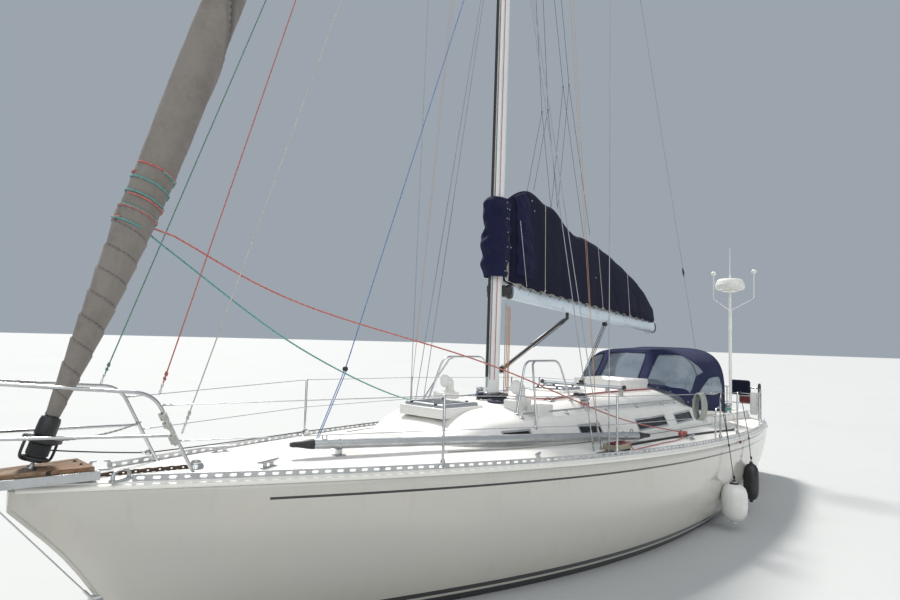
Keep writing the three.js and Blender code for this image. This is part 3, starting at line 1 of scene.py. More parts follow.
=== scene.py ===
# %% [markdown]
# A cruising sloop afloat, seen from ahead of its port bow.
# The CAD frame already holds every part that moves or carries load. This scene gives it
# its skin: gelcoat, canvas, rope, stainless steel and teak.
# Work goes from the outside in. The camera and the free ropes come first, because they
# decide what has to fit, then the hull and deck, and then what stands on them.

# %% Load the frame
import math
import random

import bmesh
import bpy
import numpy as np
from mathutils import Matrix, Vector, noise


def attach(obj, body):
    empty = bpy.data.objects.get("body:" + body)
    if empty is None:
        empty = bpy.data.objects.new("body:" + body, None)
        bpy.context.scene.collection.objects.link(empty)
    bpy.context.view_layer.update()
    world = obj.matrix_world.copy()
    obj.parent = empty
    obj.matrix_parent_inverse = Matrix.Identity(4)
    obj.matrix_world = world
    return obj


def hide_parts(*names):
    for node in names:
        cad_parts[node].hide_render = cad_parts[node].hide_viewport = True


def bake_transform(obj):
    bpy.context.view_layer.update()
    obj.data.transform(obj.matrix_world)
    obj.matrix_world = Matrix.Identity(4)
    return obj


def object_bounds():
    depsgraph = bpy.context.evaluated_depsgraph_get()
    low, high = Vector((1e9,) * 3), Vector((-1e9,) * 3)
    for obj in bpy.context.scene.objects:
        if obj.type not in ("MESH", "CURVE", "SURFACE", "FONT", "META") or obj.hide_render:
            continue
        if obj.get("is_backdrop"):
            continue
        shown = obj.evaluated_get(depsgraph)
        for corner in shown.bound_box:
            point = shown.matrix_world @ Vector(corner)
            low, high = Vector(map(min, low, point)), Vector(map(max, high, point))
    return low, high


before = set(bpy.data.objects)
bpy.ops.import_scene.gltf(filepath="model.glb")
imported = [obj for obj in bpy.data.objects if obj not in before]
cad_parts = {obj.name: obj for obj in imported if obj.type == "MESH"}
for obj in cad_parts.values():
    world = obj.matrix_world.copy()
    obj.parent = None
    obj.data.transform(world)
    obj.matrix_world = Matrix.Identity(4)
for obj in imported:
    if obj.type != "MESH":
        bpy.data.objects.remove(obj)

cad_low, cad_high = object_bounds()
scene = bpy.context.scene

# %% [markdown]
# A boat builder measures along the hull from the stem head, so the scene does as well:
# s runs aft from the stem, y to port and z up from the water, all in metres.
# One small function turns such a place into a Blender point.

# %% Places along the hull
STEM_X = 6.15


def at(s, y, z):
    return Vector((STEM_X - s, y, z))


SIDES = ((1, "port"), (-1, "starboard"))


def above(height):
    return Vector((0, 0, height))


def mirror(points):
    """The same places on the other side."""
    return [Vector((p[0], -p[1], p[2])) for p in points]


print("The stem head lies at", tuple(at(0, 0, 1.4)))

# %% [markdown]
# The photograph was taken from a dock with a phone, close to the bow, so the lens is wide.
# The camera's place, its three angles and its focal length were fitted to points whose
# real sizes are known. It could be aimed with a Track To constraint, but a matrix made
# of its right, up and back directions takes the slight roll of a hand-held phone too.

# %% Camera
CAMERA_PLACE = Vector((7.149, 4.758, 2.42))
CAMERA_YAW, CAMERA_PITCH, CAMERA_ROLL = 0.751, 0.065, 0.029
IMAGE_WIDTH, FOCAL_PIXELS, SENSOR = 900, 608.6, 36.0


def aim(yaw, pitch, roll):
    """The camera's rotation as a matrix whose columns are right, up and back."""
    ahead = Vector((-math.cos(pitch) * math.cos(yaw), -math.cos(pitch) * math.sin(yaw), math.sin(pitch)))
    level = Vector((-math.sin(yaw), math.cos(yaw), 0))
    upward = level.cross(ahead)
    right = level * math.cos(roll) + upward * math.sin(roll)
    up = upward * math.cos(roll) - level * math.sin(roll)
    return Matrix((right, up, -ahead)).transposed()


def placed(name, data):
    """A new object in the scene that holds a mesh, a lamp or a camera."""
    thing = bpy.data.objects.new(name, data)
    scene.collection.objects.link(thing)
    return thing


camera_data = bpy.data.cameras.new("camera")
camera_data.sensor_width = SENSOR
camera_data.lens = SENSOR * FOCAL_PIXELS / IMAGE_WIDTH
camera_data.clip_start, camera_data.clip_end = 0.05, 900
camera = placed("camera", camera_data)
camera.matrix_world = Matrix.Translation(CAMERA_PLACE) @ aim(
    CAMERA_YAW, CAMERA_PITCH, CAMERA_ROLL
).to_4x4()
scene.camera = camera
print(f"The lens is {camera_data.lens:.1f} mm on a {SENSOR:.0f} mm sensor.")

# %% [markdown]
# Every piece is built as a mesh from rows of points, as a boat is built from frames.
# A curve object or a primitive with modifiers could do the same, but rows keep each
# size in sight, and one function then makes a hull, a rope or a rail.

# %% Make a mesh from rows of points
def new_mesh(name, points, faces):
    mesh = bpy.data.meshes.new(name)
    mesh.from_pydata([tuple(p) for p in points], [], faces)
    mesh.update()
    return placed(name, mesh)


def lattice_faces(rows, columns, closed):
    """The four-sided faces between rows of points; closed joins each row's ends."""
    faces = []
    for r in range(rows - 1):
        for c in range(columns if closed else columns - 1):
            a, b = r * columns + c, r * columns + (c + 1) % columns
            faces.append((a, b, b + columns, a + columns))
    return faces


def lattice(name, rows, closed=False, ends=False):
    """A skin over rows of equal length, its first and last row filled if ends is set."""
    count, columns = len(rows), len(rows[0])
    faces = lattice_faces(count, columns, closed)
    if ends:
        faces.append(tuple(reversed(range(columns))))
        faces.append(tuple(range((count - 1) * columns, count * columns)))
    return weld(new_mesh(name, [p for row in rows for p in row], faces), 0)


def weld(piece, distance=1e-4, outwards=True):
    """Joins points that lie in one place and turns the faces outwards."""
    form = bmesh.new()
    form.from_mesh(piece.data)
    if distance:
        bmesh.ops.remove_doubles(form, verts=form.verts, dist=distance)
    if outwards:
        bmesh.ops.recalc_face_normals(form, faces=form.faces)
    form.to_mesh(piece.data)
    form.free()
    return piece


def smooth(piece, degrees=35):
    """Round shading, with edges sharper than the angle left crisp."""
    piece.data.shade_smooth()
    piece.data.set_sharp_from_angle(angle=math.radians(degrees))
    return piece


def loft(name, rows, degrees=40):
    """A smooth closed form through rings of points, with both of its ends filled."""
    return smooth(lattice(name, rows, closed=True, ends=True), degrees)


def thickened(piece, thick, offset=0.0):
    """Gives a single skin its thickness: offset -1 puts all of it inside."""
    wall = piece.modifiers.new("thickness", "SOLIDIFY")
    wall.thickness, wall.offset = thick, offset
    return piece


def mesh_from(name, form):
    """A mesh from an edit form, which is used up."""
    mesh = bpy.data.meshes.new(name)
    form.to_mesh(mesh)
    form.free()
    return mesh


def joined(name, pieces):
    """One mesh from several, which are removed."""
    form = bmesh.new()
    for piece in pieces:
        form.from_mesh(piece.data)
    mesh = mesh_from(name, form)
    for piece in pieces:
        bpy.data.objects.remove(piece)
    return placed(name, mesh)


print("Mesh helpers are ready.")

# %% [markdown]
# Rails, wires and ropes are tubes along a line. A frame that is carried along the line
# without twisting keeps the tube even round corners, which a frame made afresh at each
# point doesn't. The tube also gets texture coordinates, once round and in metres along,
# so that a rope's braid can follow it.

# %% Tubes along a line
def evenly(points, step):
    """The same line with a point at each step or so of its length."""
    line = np.array([tuple(p) for p in points], float)
    lengths = np.concatenate([[0], np.cumsum(np.linalg.norm(np.diff(line, axis=0), axis=1))])
    count = max(2, round(lengths[-1] / step) + 1)
    marks = np.linspace(0, lengths[-1], count)
    return [Vector([np.interp(m, lengths, line[:, k]) for k in range(3)]) for m in marks]


def lengths_along(line):
    """How far along the line each of its points lies."""
    lengths = [0.0]
    for a, b in zip(line, line[1:]):
        lengths.append(lengths[-1] + (b - a).length)
    return lengths


def flowing(points, per_span=8):
    """A smooth line through the points, with a rounded path between each two."""
    line = [Vector(p) for p in points]
    line = [line[0] * 2 - line[1], *line, line[-1] * 2 - line[-2]]
    flow = []
    for a, b, c, d in zip(line, line[1:], line[2:], line[3:]):
        for k in range(per_span):
            t = k / per_span
            flow.append(
                (b * 2 + (c - a) * t + (a * 2 - b * 5 + c * 4 - d) * t * t
                 + (b * 3 - a - c * 3 + d) * t ** 3) / 2
            )
    return [*flow, line[-2]]


def cornered(points, radius, steps=6):
    """A straight-sided line whose corners are bent to about a radius, as a rail is."""
    line = [Vector(p) for p in points]
    bent = [line[0]]
    for before, corner, after in zip(line, line[1:], line[2:]):
        into, out = before - corner, after - corner
        reach = min(radius, into.length * 0.49, out.length * 0.49)
        start, end = corner + into.normalized() * reach, corner + out.normalized() * reach
        for k in range(steps + 1):
            t = k / steps
            bent.append(start * (1 - t) ** 2 + corner * (2 * t * (1 - t)) + end * t * t)
    return [*bent, line[-1]]


def circle(count):
    """Angles that share a full turn out evenly."""
    return [2 * math.pi * k / count for k in range(count)]


def carried_frames(line):
    """A direction across the line at each point, turned as little as possible."""
    ways = [(b - a).normalized() for a, b in zip(line, line[1:])]
    ways = [ways[0], *[(a + b).normalized() for a, b in zip(ways, ways[1:])], ways[-1]]
    across = ways[0].orthogonal().normalized()
    frames = []
    for way in ways:
        across = (across - way * across.dot(way)).normalized()
        frames.append((across, way.cross(across)))
    return frames


def tube(name, points, radius, sides=10):
    """A closed tube along the points; radius is one size, or one for each point."""
    line = [Vector(p) for p in points]
    radii = radius if isinstance(radius, (list, tuple)) else [radius] * len(line)
    turns = circle(sides)
    rows = [
        [p + (a * math.cos(t) + b * math.sin(t)) * r for t in turns]
        for p, (a, b), r in zip(line, carried_frames(line), radii)
    ]
    count = len(rows)
    faces = lattice_faces(count, sides, True)
    piece = new_mesh(name, [p for row in rows for p in row], [
        *faces, tuple(reversed(range(sides))), tuple(range((count - 1) * sides, count * sides)),
    ])
    lengths = lengths_along(line)
    places = piece.data.uv_layers.new(name="along").data
    for face in piece.data.polygons[:len(faces)]:
        first = face.vertices[0] % sides
        for loop, corner in zip(face.loop_indices, face.vertices):
            round_it = first + (1 if corner % sides != first else 0)
            places[loop].uv = (round_it / sides, lengths[corner // sides])
    return smooth(piece, 50)


print("Lines and tubes are ready.")

# %% [markdown]
# Bollards, winch drums, knobs and pads are turned or moulded on a real boat. A screw
# modifier could turn a profile, but rings of points give the same form at once and are
# easy to place and tilt. Boxes get a small bevel, because no moulded edge is sharp.

# %% Turned forms and boxes
def revolved(name, profile, centre, axis=(0, 0, 1), sides=24):
    """A turned form: the profile's rows are (radius, distance along the axis)."""
    way = Vector(axis).normalized()
    across = way.orthogonal().normalized()
    other = way.cross(across)
    rows = []
    for radius, along in profile:
        rows.append([
            Vector(centre) + way * along
            + (across * math.cos(t) + other * math.sin(t)) * max(radius, 1e-4)
            for t in circle(sides)
        ])
    return loft(name, rows, 32)


def turned(name, profile, *place, **more):
    """A small turned form, whose profile is given in millimetres."""
    return revolved(name, [(radius / 1000, along / 1000) for radius, along in profile], *place, **more)


def block(name, low, high, edge=0.004):
    """A box between two corners, with every edge rounded."""
    form = bmesh.new()
    bmesh.ops.create_cube(form, size=1)
    size = [max(h - l, 1e-4) for l, h in zip(low, high)]
    middle = [(h + l) / 2 for l, h in zip(low, high)]
    for v in form.verts:
        v.co = Vector([v.co[k] * size[k] + middle[k] for k in range(3)])
    width = min(edge, min(size) * 0.45)
    bmesh.ops.bevel(
        form, geom=form.edges[:], offset=width, segments=3, profile=0.5, affect="EDGES",
    )
    return smooth(placed(name, mesh_from(name, form)), 40)


def deck_block(name, s0, s1, y0, y1, z0, z1, edge=0.004):
    """A rounded box given by places along the hull."""
    return block(name, (STEM_X - s1, y0, z0), (STEM_X - s0, y1, z1), edge)


print("Turned forms and boxes are ready.")

# %% [markdown]
# A piece is finished when it has a material and a body that it moves with, and, where it stands for CAD
# nodes, those nodes are hidden. Saying all of it in one place means that none is forgotten.

# %% Finish a piece
made = []


def fit(piece, material, body="hull", replaces=()):
    """Gives a piece its material and its body, and hides the CAD nodes that it stands for."""
    piece.data.materials.clear()
    piece.data.materials.append(material)
    if body is not None:
        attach(piece, body)
    if replaces:
        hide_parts(*replaces)
    made.append(piece.name)
    return piece


def dress(node, material):
    """A CAD node that stays gets a material of its own."""
    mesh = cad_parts[node].data
    mesh.materials.clear()
    mesh.materials.append(material)


def rounded(piece, width, degrees=30):
    """Rounds every edge that is sharper than the angle."""
    rounding = piece.modifiers.new("rounded edges", "BEVEL")
    rounding.width, rounding.segments = width, 3
    rounding.limit_method, rounding.angle_limit = "ANGLE", math.radians(degrees)
    return piece


def softened(node, name, width, degrees=30):
    """A copy of a node's mesh with its hard edges rounded, to stand for the node."""
    form = bmesh.new()
    form.from_mesh(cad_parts[node].data)
    bmesh.ops.remove_doubles(form, verts=form.verts, dist=2e-5)
    bmesh.ops.dissolve_limit(
        form, angle_limit=math.radians(0.6), verts=form.verts, edges=form.edges,
    )
    return smooth(rounded(placed(name, mesh_from(name, form)), width, degrees), degrees + 8)


print("Finishing helpers are ready.")

# %% [markdown]
# Outdoor surfaces are never one colour. Salt, sun and rain leave slow changes of tone,
# streaks below fittings and wear on corners. These effects serve many materials, so
# each is a node group, built once and set differently in each place.

# %% Node groups: a helper
def node_group(name, inputs, outputs):
    """An empty shader group with named sockets, each given as (name, kind, value)."""
    group = bpy.data.node_groups.new(name, "ShaderNodeTree")
    kinds = {"value": "NodeSocketFloat", "colour": "NodeSocketColor", "vector": "NodeSocketVector"}
    for label, kind, value in inputs:
        socket = group.interface.new_socket(name=label, in_out="INPUT", socket_type=kinds[kind])
        if value is not None:
            socket.default_value = value
    for label, kind in outputs:
        group.interface.new_socket(name=label, in_out="OUTPUT", socket_type=kinds[kind])
    return group, group.nodes.new("NodeGroupInput"), group.nodes.new("NodeGroupOutput")


def node(tree, kind, **values):
    """A node with its properties and, by socket name or number, its values set."""
    made_node = tree.nodes.new(kind)
    for label, value in values.items():
        if hasattr(made_node, label):
            setattr(made_node, label, value)
        else:
            made_node.inputs[label.replace("_", " ")].default_value = value
    return made_node


def maths(tree, operation, first, second=0.0, third=None):
    """One Math node; a number is set on its socket and anything else is linked."""
    sums = tree.nodes.new("ShaderNodeMath")
    sums.operation = operation
    for socket, value in zip(sums.inputs, (first, second, third)):
        if value is None:
            continue
        if isinstance(value, (int, float)):
            socket.default_value = value
        else:
            tree.links.new(value, socket)
    return sums.outputs[0]


def times(tree, first, second):
    return maths(tree, "MULTIPLY", first, second)


def on_object(tree, kind, **values):
    """A texture that lies on the object's own coordinates."""
    texture = node(tree, kind, **values)
    place = tree.nodes.new("ShaderNodeTexCoord")
    tree.links.new(place.outputs["Object"], texture.inputs["Vector"])
    return texture


def mixed(tree, share, first, second):
    """A colour mix, each of whose inputs may be a value or an output."""
    mix = tree.nodes.new("ShaderNodeMix")
    mix.data_type = "RGBA"
    for socket, value in zip((mix.inputs[0], mix.inputs[6], mix.inputs[7]), (share, first, second)):
        if isinstance(value, bpy.types.NodeSocket):
            tree.links.new(value, socket)
        elif isinstance(value, (int, float)):
            socket.default_value = value
        else:
            socket.default_value = (*value[:3], 1)
    return mix.outputs[2]


def band(tree, value, start, end):
    """0 before start, 1 after end and a smooth rise between."""
    rise = tree.nodes.new("ShaderNodeMapRange")
    rise.interpolation_type = "SMOOTHSTEP"
    rise.clamp = True
    tree.links.new(value, rise.inputs["Value"])
    rise.inputs["From Min"].default_value = start
    rise.inputs["From Max"].default_value = end
    return rise.outputs["Result"]


print("Node helpers are ready.")

# %% [markdown]
# Salt, sun and rain leave patches, runs and rubbed spots on everything, and cloth shows
# its weave. These effects could be painted as pictures. Procedural node groups need no
# picture files, keep their detail close up, and are shared by every material.

# %% Node groups: weathering, weave, streaks, wear
def make_weathering():
    """Slow patches of tone, as sun, salt and polishing leave on any surface."""
    group, sockets, out = node_group(
        "weathering",
        [("Colour", "colour", (0.8, 0.8, 0.8, 1)), ("Stain", "colour", (0.5, 0.48, 0.42, 1)),
         ("Scale", "value", 2.0), ("Amount", "value", 0.1)],
        [("Colour", "colour"), ("Mask", "value")],
    )
    broad = on_object(group, "ShaderNodeTexNoise", Detail=5.0, Roughness=0.62)
    group.links.new(sockets.outputs["Scale"], broad.inputs["Scale"])
    fine = on_object(group, "ShaderNodeTexNoise", Detail=3.0, Roughness=0.7)
    group.links.new(times(group, sockets.outputs["Scale"], 9.0), fine.inputs["Scale"])
    both = maths(group, "ADD", times(group, broad.outputs[0], 0.7),
                 times(group, fine.outputs[0], 0.3))
    mask = band(group, both, 0.42, 0.68)
    share = times(group, mask, sockets.outputs["Amount"])
    group.links.new(mixed(group, share, sockets.outputs["Colour"], sockets.outputs["Stain"]),
                    out.inputs["Colour"])
    group.links.new(mask, out.inputs["Mask"])
    return group


def make_weave():
    """Threads over and under, for canvas and sailcloth."""
    group, sockets, out = node_group(
        "weave", [("Scale", "value", 900.0)], [("Height", "value"), ("Fibre", "value")],
    )
    threads = []
    for way in ("X", "Z"):
        wave = on_object(group, "ShaderNodeTexWave", bands_direction=way, Distortion=1.2, Detail=1.0)
        group.links.new(sockets.outputs["Scale"], wave.inputs["Scale"])
        threads.append(wave.outputs["Fac"])
    fibre = on_object(group, "ShaderNodeTexNoise", Scale=320.0, Detail=3.0)
    group.links.new(times(group, threads[0], threads[1]), out.inputs["Height"])
    group.links.new(fibre.outputs[0], out.inputs["Fibre"])
    return group


def make_streaks():
    """Runs that rain draws down an upright surface."""
    group, sockets, out = node_group("streaks", [("Width", "value", 12.0)], [("Mask", "value")])
    stretch = on_object(group, "ShaderNodeMapping")
    stretch.inputs["Scale"].default_value = (1, 1, 0.08)
    runs = node(group, "ShaderNodeTexNoise", Detail=4.0, Roughness=0.7)
    group.links.new(stretch.outputs[0], runs.inputs["Vector"])
    group.links.new(sockets.outputs["Width"], runs.inputs["Scale"])
    group.links.new(band(group, runs.outputs[0], 0.52, 0.78), out.inputs["Mask"])
    return group


def make_wear():
    """Corners that hands, lines and feet have rubbed."""
    group, sockets, out = node_group("wear", [("Sharpness", "value", 0.53)], [("Mask", "value")])
    shape = group.nodes.new("ShaderNodeNewGeometry")
    breakup = on_object(group, "ShaderNodeTexNoise", Scale=60.0, Detail=3.0)
    ridge = maths(group, "SUBTRACT", shape.outputs["Pointiness"], sockets.outputs["Sharpness"])
    rubbed = times(group, band(group, ridge, 0.0, 0.07), breakup.outputs[0])
    group.links.new(maths(group, "MINIMUM", times(group, rubbed, 1.6), 1.0),
                    out.inputs["Mask"])
    return group


def make_grit():
    """The small bumps of a non-slip moulding."""
    group, sockets, out = node_group(
        "grit", [("Scale", "value", 160.0)], [("Height", "value"), ("Dirt", "value")],
    )
    cells = on_object(group, "ShaderNodeTexVoronoi", feature="SMOOTH_F1", Smoothness=0.4)
    group.links.new(sockets.outputs["Scale"], cells.inputs["Scale"])
    patches = on_object(group, "ShaderNodeTexNoise", Scale=3.5, Detail=6.0, Roughness=0.65)
    group.links.new(maths(group, "SUBTRACT", 1.0, cells.outputs["Distance"]), out.inputs["Height"])
    group.links.new(band(group, patches.outputs[0], 0.5, 0.75), out.inputs["Dirt"])
    return group


def make_braid():
    """The crossed strands of a braided rope, which follow it by its coordinates."""
    group, sockets, out = node_group(
        "braid",
        [("Strands", "value", 6.0), ("Pitch", "value", 90.0), ("Flecks", "value", 0.35)],
        [("Height", "value"), ("Fleck", "value")],
    )
    coordinates = node(group, "ShaderNodeUVMap", uv_map="along")
    parts = group.nodes.new("ShaderNodeSeparateXYZ")
    group.links.new(coordinates.outputs[0], parts.inputs[0])
    turn = times(group, parts.outputs[0], sockets.outputs["Strands"])
    length = times(group, parts.outputs[1], sockets.outputs["Pitch"])
    whole = 2 * math.pi
    left = maths(group, "SINE", times(group, maths(group, "ADD", turn, length), whole))
    right = maths(group, "SINE", times(group, maths(group, "SUBTRACT", turn, length), whole))
    height = times(group, maths(group, "ADD", times(group, left, right), 1.0), 0.5)
    fleck = maths(
        group, "GREATER_THAN",
        maths(group, "SINE", times(group, maths(group, "ADD", turn, times(group, length, 0.25)), whole)),
        maths(group, "SUBTRACT", 1.0, sockets.outputs["Flecks"]),
    )
    group.links.new(height, out.inputs["Height"])
    group.links.new(fleck, out.inputs["Fleck"])
    return group


GROUPS = {
    "weathering": make_weathering(),
    "weave": make_weave(),
    "streaks": make_streaks(),
    "wear": make_wear(),
    "grit": make_grit(),
    "braid": make_braid(),
}
print("Shared effects:", ", ".join(GROUPS))

# %% [markdown]
# A material starts as the physically based shader with its plain values on its own
# sockets. The shared effects then feed only colour, roughness and the bump.

# %% Start a material
def start(name, colour, roughness, metallic=0.0, **more):
    """A new material with its shader; returns the material, its tree and the shader."""
    material = bpy.data.materials.new(name)
    material.use_nodes = True
    tree = material.node_tree
    shader = tree.nodes["Principled BSDF"]
    shader.inputs["Base Color"].default_value = (*colour, 1)
    shader.inputs["Roughness"].default_value = roughness
    shader.inputs["Metallic"].default_value = metallic
    for label, value in more.items():
        shader.inputs[label.replace("_", " ")].default_value = value
    return material, tree, shader


def effect(tree, name, **values):
    """One of the shared groups, placed in a material with its own values."""
    placed = tree.nodes.new("ShaderNodeGroup")
    placed.node_tree = GROUPS[name]
    for label, value in values.items():
        socket = placed.inputs[label]
        socket.default_value = (*value, 1) if isinstance(value, tuple) else value
    return placed


def bump(tree, shader, height, distance, strength=1.0):
    """Small relief from a height; distance is its depth in metres."""
    relief = tree.nodes.new("ShaderNodeBump")
    relief.inputs["Distance"].default_value = distance
    relief.inputs["Strength"].default_value = strength
    tree.links.new(height, relief.inputs["Height"])
    tree.links.new(relief.outputs[0], shader.inputs["Normal"])
    return relief


def vary(tree, shader, mask, low, high):
    """Roughness between two values, by a mask."""
    spread = tree.nodes.new("ShaderNodeMapRange")
    tree.links.new(mask, spread.inputs["Value"])
    spread.inputs["To Min"].default_value = low
    spread.inputs["To Max"].default_value = high
    tree.links.new(spread.outputs["Result"], shader.inputs["Roughness"])


print("The node helper that starts a material is ready.")

# %% [markdown]
# Plastic, metal, canvas and rope each throw light back in their own way. Every material
# could be built by hand, but a recipe for each kind keeps them alike and leaves only a
# few numbers to choose. A darker shade of the base colour serves as the stain.

# %% Recipes for plastic, metal, canvas and rope
def shade(colour, share):
    return tuple(c * share for c in colour)


def plastic(name, colour, roughness, stain=None, amount=0.25, scale=3.0, coat=0.0):
    """Moulded plastic or paint with slow weathering and rubbed corners."""
    material, tree, shader = start(name, colour, roughness, Coat_Weight=coat)
    stain = stain or shade(colour, 0.62)
    film = effect(tree, "weathering", Colour=colour, Stain=stain, Scale=scale, Amount=amount)
    rubbed = effect(tree, "wear")
    pale = tuple(min(1.0, c * 1.5 + 0.04) for c in colour)
    tree.links.new(
        mixed(tree, times(tree, rubbed.outputs["Mask"], 0.35), film.outputs["Colour"], pale),
        shader.inputs["Base Color"],
    )
    vary(tree, shader, film.outputs["Mask"], roughness * 0.85, min(1.0, roughness * 1.25))
    return material


def metal(name, colour, roughness, grain=400.0, amount=0.25):
    """Metal with fine scratches along it and dull patches where salt has dried."""
    material, tree, shader = start(name, colour, roughness, 1.0)
    scratches = on_object(tree, "ShaderNodeTexNoise", Scale=grain, Detail=2.0)
    film = effect(
        tree, "weathering", Colour=colour, Stain=shade(colour, 0.55), Scale=6.0, Amount=amount,
    )
    tree.links.new(film.outputs["Colour"], shader.inputs["Base Color"])
    both = maths(tree, "ADD", times(tree, scratches.outputs[0], 0.4),
                 times(tree, film.outputs["Mask"], 0.6))
    vary(tree, shader, both, roughness * 0.7, roughness * 1.7)
    return material


def canvas(name, colour, thread=700.0, sheen=0.03):
    """Woven acrylic canvas, faded in patches."""
    material, tree, shader = start(
        name, colour, 0.92, Sheen_Weight=sheen, Sheen_Roughness=0.6, Specular_IOR_Level=0.18,
    )
    cloth = effect(tree, "weave", Scale=thread)
    faded = tuple(min(1.0, c * 1.35 + 0.001) for c in colour)
    film = effect(tree, "weathering", Colour=colour, Stain=faded, Scale=1.6, Amount=0.55)
    tree.links.new(
        mixed(tree, times(tree, cloth.outputs["Fibre"], 0.35), film.outputs["Colour"],
              shade(colour, 0.7)),
        shader.inputs["Base Color"],
    )
    bump(tree, shader, cloth.outputs["Height"], 0.0008, 0.5)
    return material


def rope(name, colour, fleck=None, strands=6.0, pitch=70.0, flecks=0.3):
    """Braided rope with a fleck in another colour."""
    material, tree, shader = start(name, colour, 0.85, Sheen_Weight=0.2)
    strand = effect(tree, "braid", Strands=strands, Pitch=pitch, Flecks=flecks)
    grime = effect(
        tree, "weathering", Colour=colour, Stain=shade(colour, 0.55), Scale=14.0, Amount=0.5,
    )
    tree.links.new(
        mixed(tree, strand.outputs["Fleck"], grime.outputs["Colour"], fleck or shade(colour, 0.8)),
        shader.inputs["Base Color"],
    )
    bump(tree, shader, strand.outputs["Height"], 0.0012, 0.7)
    return material


print("Material recipes are ready.")

# %% [markdown]
# A boat's gear comes in a few substances and many tones: polished steel, dull alloy,
# painted spars, black and grey plastic. One line for each, with its colour and its
# roughness, is easy to compare, and a name can then be used for as many pieces as needed.

# %% Materials with one recipe each
steel = metal("stainless_steel", (0.62, 0.63, 0.63), 0.2)
wire_steel = metal("wire", (0.42, 0.43, 0.44), 0.34)
alloy = metal("anodised_alloy", (0.56, 0.57, 0.58), 0.42, amount=0.4)
bronze = metal("bronze_gear", (0.42, 0.3, 0.13), 0.4, amount=0.6)
rusty = plastic("rusty_iron", (0.055, 0.033, 0.024), 0.85, (0.12, 0.06, 0.03), 0.8, 30.0)
spar_white = plastic("spar_paint", (0.8, 0.81, 0.81), 0.32, (0.6, 0.6, 0.57), 0.3, coat=0.3)
boom_blue = plastic("boom_paint", (0.62, 0.70, 0.77), 0.4, (0.47, 0.54, 0.60), 0.35)
black_plastic = plastic("black_plastic", (0.016, 0.016, 0.018), 0.42, (0.05, 0.05, 0.05), 0.5)
grey_plastic = plastic("grey_plastic", (0.2, 0.21, 0.22), 0.5)
white_plastic = plastic("white_plastic", (0.76, 0.76, 0.73), 0.38, (0.5, 0.48, 0.42), 0.3)
bottom_paint = plastic("bottom_paint", (0.013, 0.013, 0.015), 0.8, (0.04, 0.045, 0.035), 0.6, 2.5)
maroon_plastic = plastic("maroon_plastic", (0.14, 0.02, 0.025), 0.45)
navy_canvas = canvas("navy_canvas", (0.0075, 0.0085, 0.026))
collar_canvas = canvas("collar_canvas", (0.0095, 0.0115, 0.042))
green_rope = rope("green_rope", (0.02, 0.22, 0.13), (0.5, 0.55, 0.5))
red_rope = rope("red_rope", (0.45, 0.035, 0.03), (0.6, 0.5, 0.45))
white_rope = rope("white_rope", (0.62, 0.61, 0.56), (0.3, 0.3, 0.3), flecks=0.2)
blue_rope = rope("blue_rope", (0.02, 0.13, 0.42), (0.5, 0.55, 0.6))
teal_rope = rope("teal_rope", (0.02, 0.27, 0.24), (0.4, 0.5, 0.5))
tan_rope = rope("tan_rope", (0.5, 0.34, 0.2), (0.55, 0.2, 0.1))
black_rope = rope("black_rope", (0.014, 0.014, 0.016), (0.05, 0.05, 0.055))
navy_rope = rope("navy_rope", (0.022, 0.026, 0.06), (0.12, 0.13, 0.18))
pale_rope = rope("pale_rope", (0.46, 0.48, 0.42), (0.12, 0.16, 0.16), flecks=0.45)
orange_rope = rope("orange_rope", (0.6, 0.24, 0.08))
print("Materials so far:", len(bpy.data.materials))

# %% [markdown]
# Two lengths of rope lie free on this boat: a coil hung over the port guardrail, and
# the tail of a halyard laid down on the coachroof beside the mast. A rope is a real
# length of something limp, so each coil is one line with all its turns, not a ring
# with a rope texture. A loop works the turns out, each a diameter from the next.

# %% The coil on the guardrail
WIRE_PLACE = Vector((-0.88, 1.7348, 1.8083))
WIRE_WAY = Vector((-0.9973, 0.0679, -0.0279))
WIRE_R = 0.004
HUNG_ROPE, HUNG_TURNS, HUNG_PITCH = 0.014, 11, 0.0143
HUNG_HALF_WIDE, HUNG_HALF_DROP = 0.059, 0.170
COIL_STEPS = 32


def hung_line():
    """Ovals side by side along the wire, each hanging a little lower or higher."""
    draw = random.Random(4)
    drops = [draw.uniform(-0.006, 0.007) for _ in range(HUNG_TURNS + 2)]
    sways = [draw.uniform(-0.004, 0.004) for _ in range(HUNG_TURNS + 2)]
    line = []
    top = WIRE_R + HUNG_ROPE / 2 + 0.0008
    for k in range(HUNG_TURNS * COIL_STEPS + 1):
        turn = k / COIL_STEPS
        angle = 2 * math.pi * turn
        which, share = int(turn), turn - int(turn)
        drop = drops[which] * (1 - share) + drops[which + 1] * share
        sway = sways[which] * (1 - share) + sways[which + 1] * share
        low = (1 - math.cos(angle)) / 2
        along = (turn - HUNG_TURNS / 2) * HUNG_PITCH
        across = HUNG_HALF_WIDE * math.sin(angle) + sway * low
        height = top - HUNG_HALF_DROP * (1 - math.cos(angle)) - drop * low
        line.append(WIRE_PLACE + WIRE_WAY * along + Vector((0, across, height)))
    return line


def length_of(line):
    return sum((b - a).length for a, b in zip(line, line[1:]))


hung = hung_line()
lifeline_coil = tube("coil_on_guardrail", hung, HUNG_ROPE / 2, 10)
fit(lifeline_coil, pale_rope, replaces=["lifeline_coil"])
print(f"The coil on the guardrail is {length_of(hung):.2f} m of rope.")

# %% [markdown]
# The tail of a halyard lies flat on the roof beside the mast. It could be a stack of
# rings, but a rope has two ends and no more. So one line spirals inwards, climbs by its
# own thickness and spirals outwards again, layer on layer.

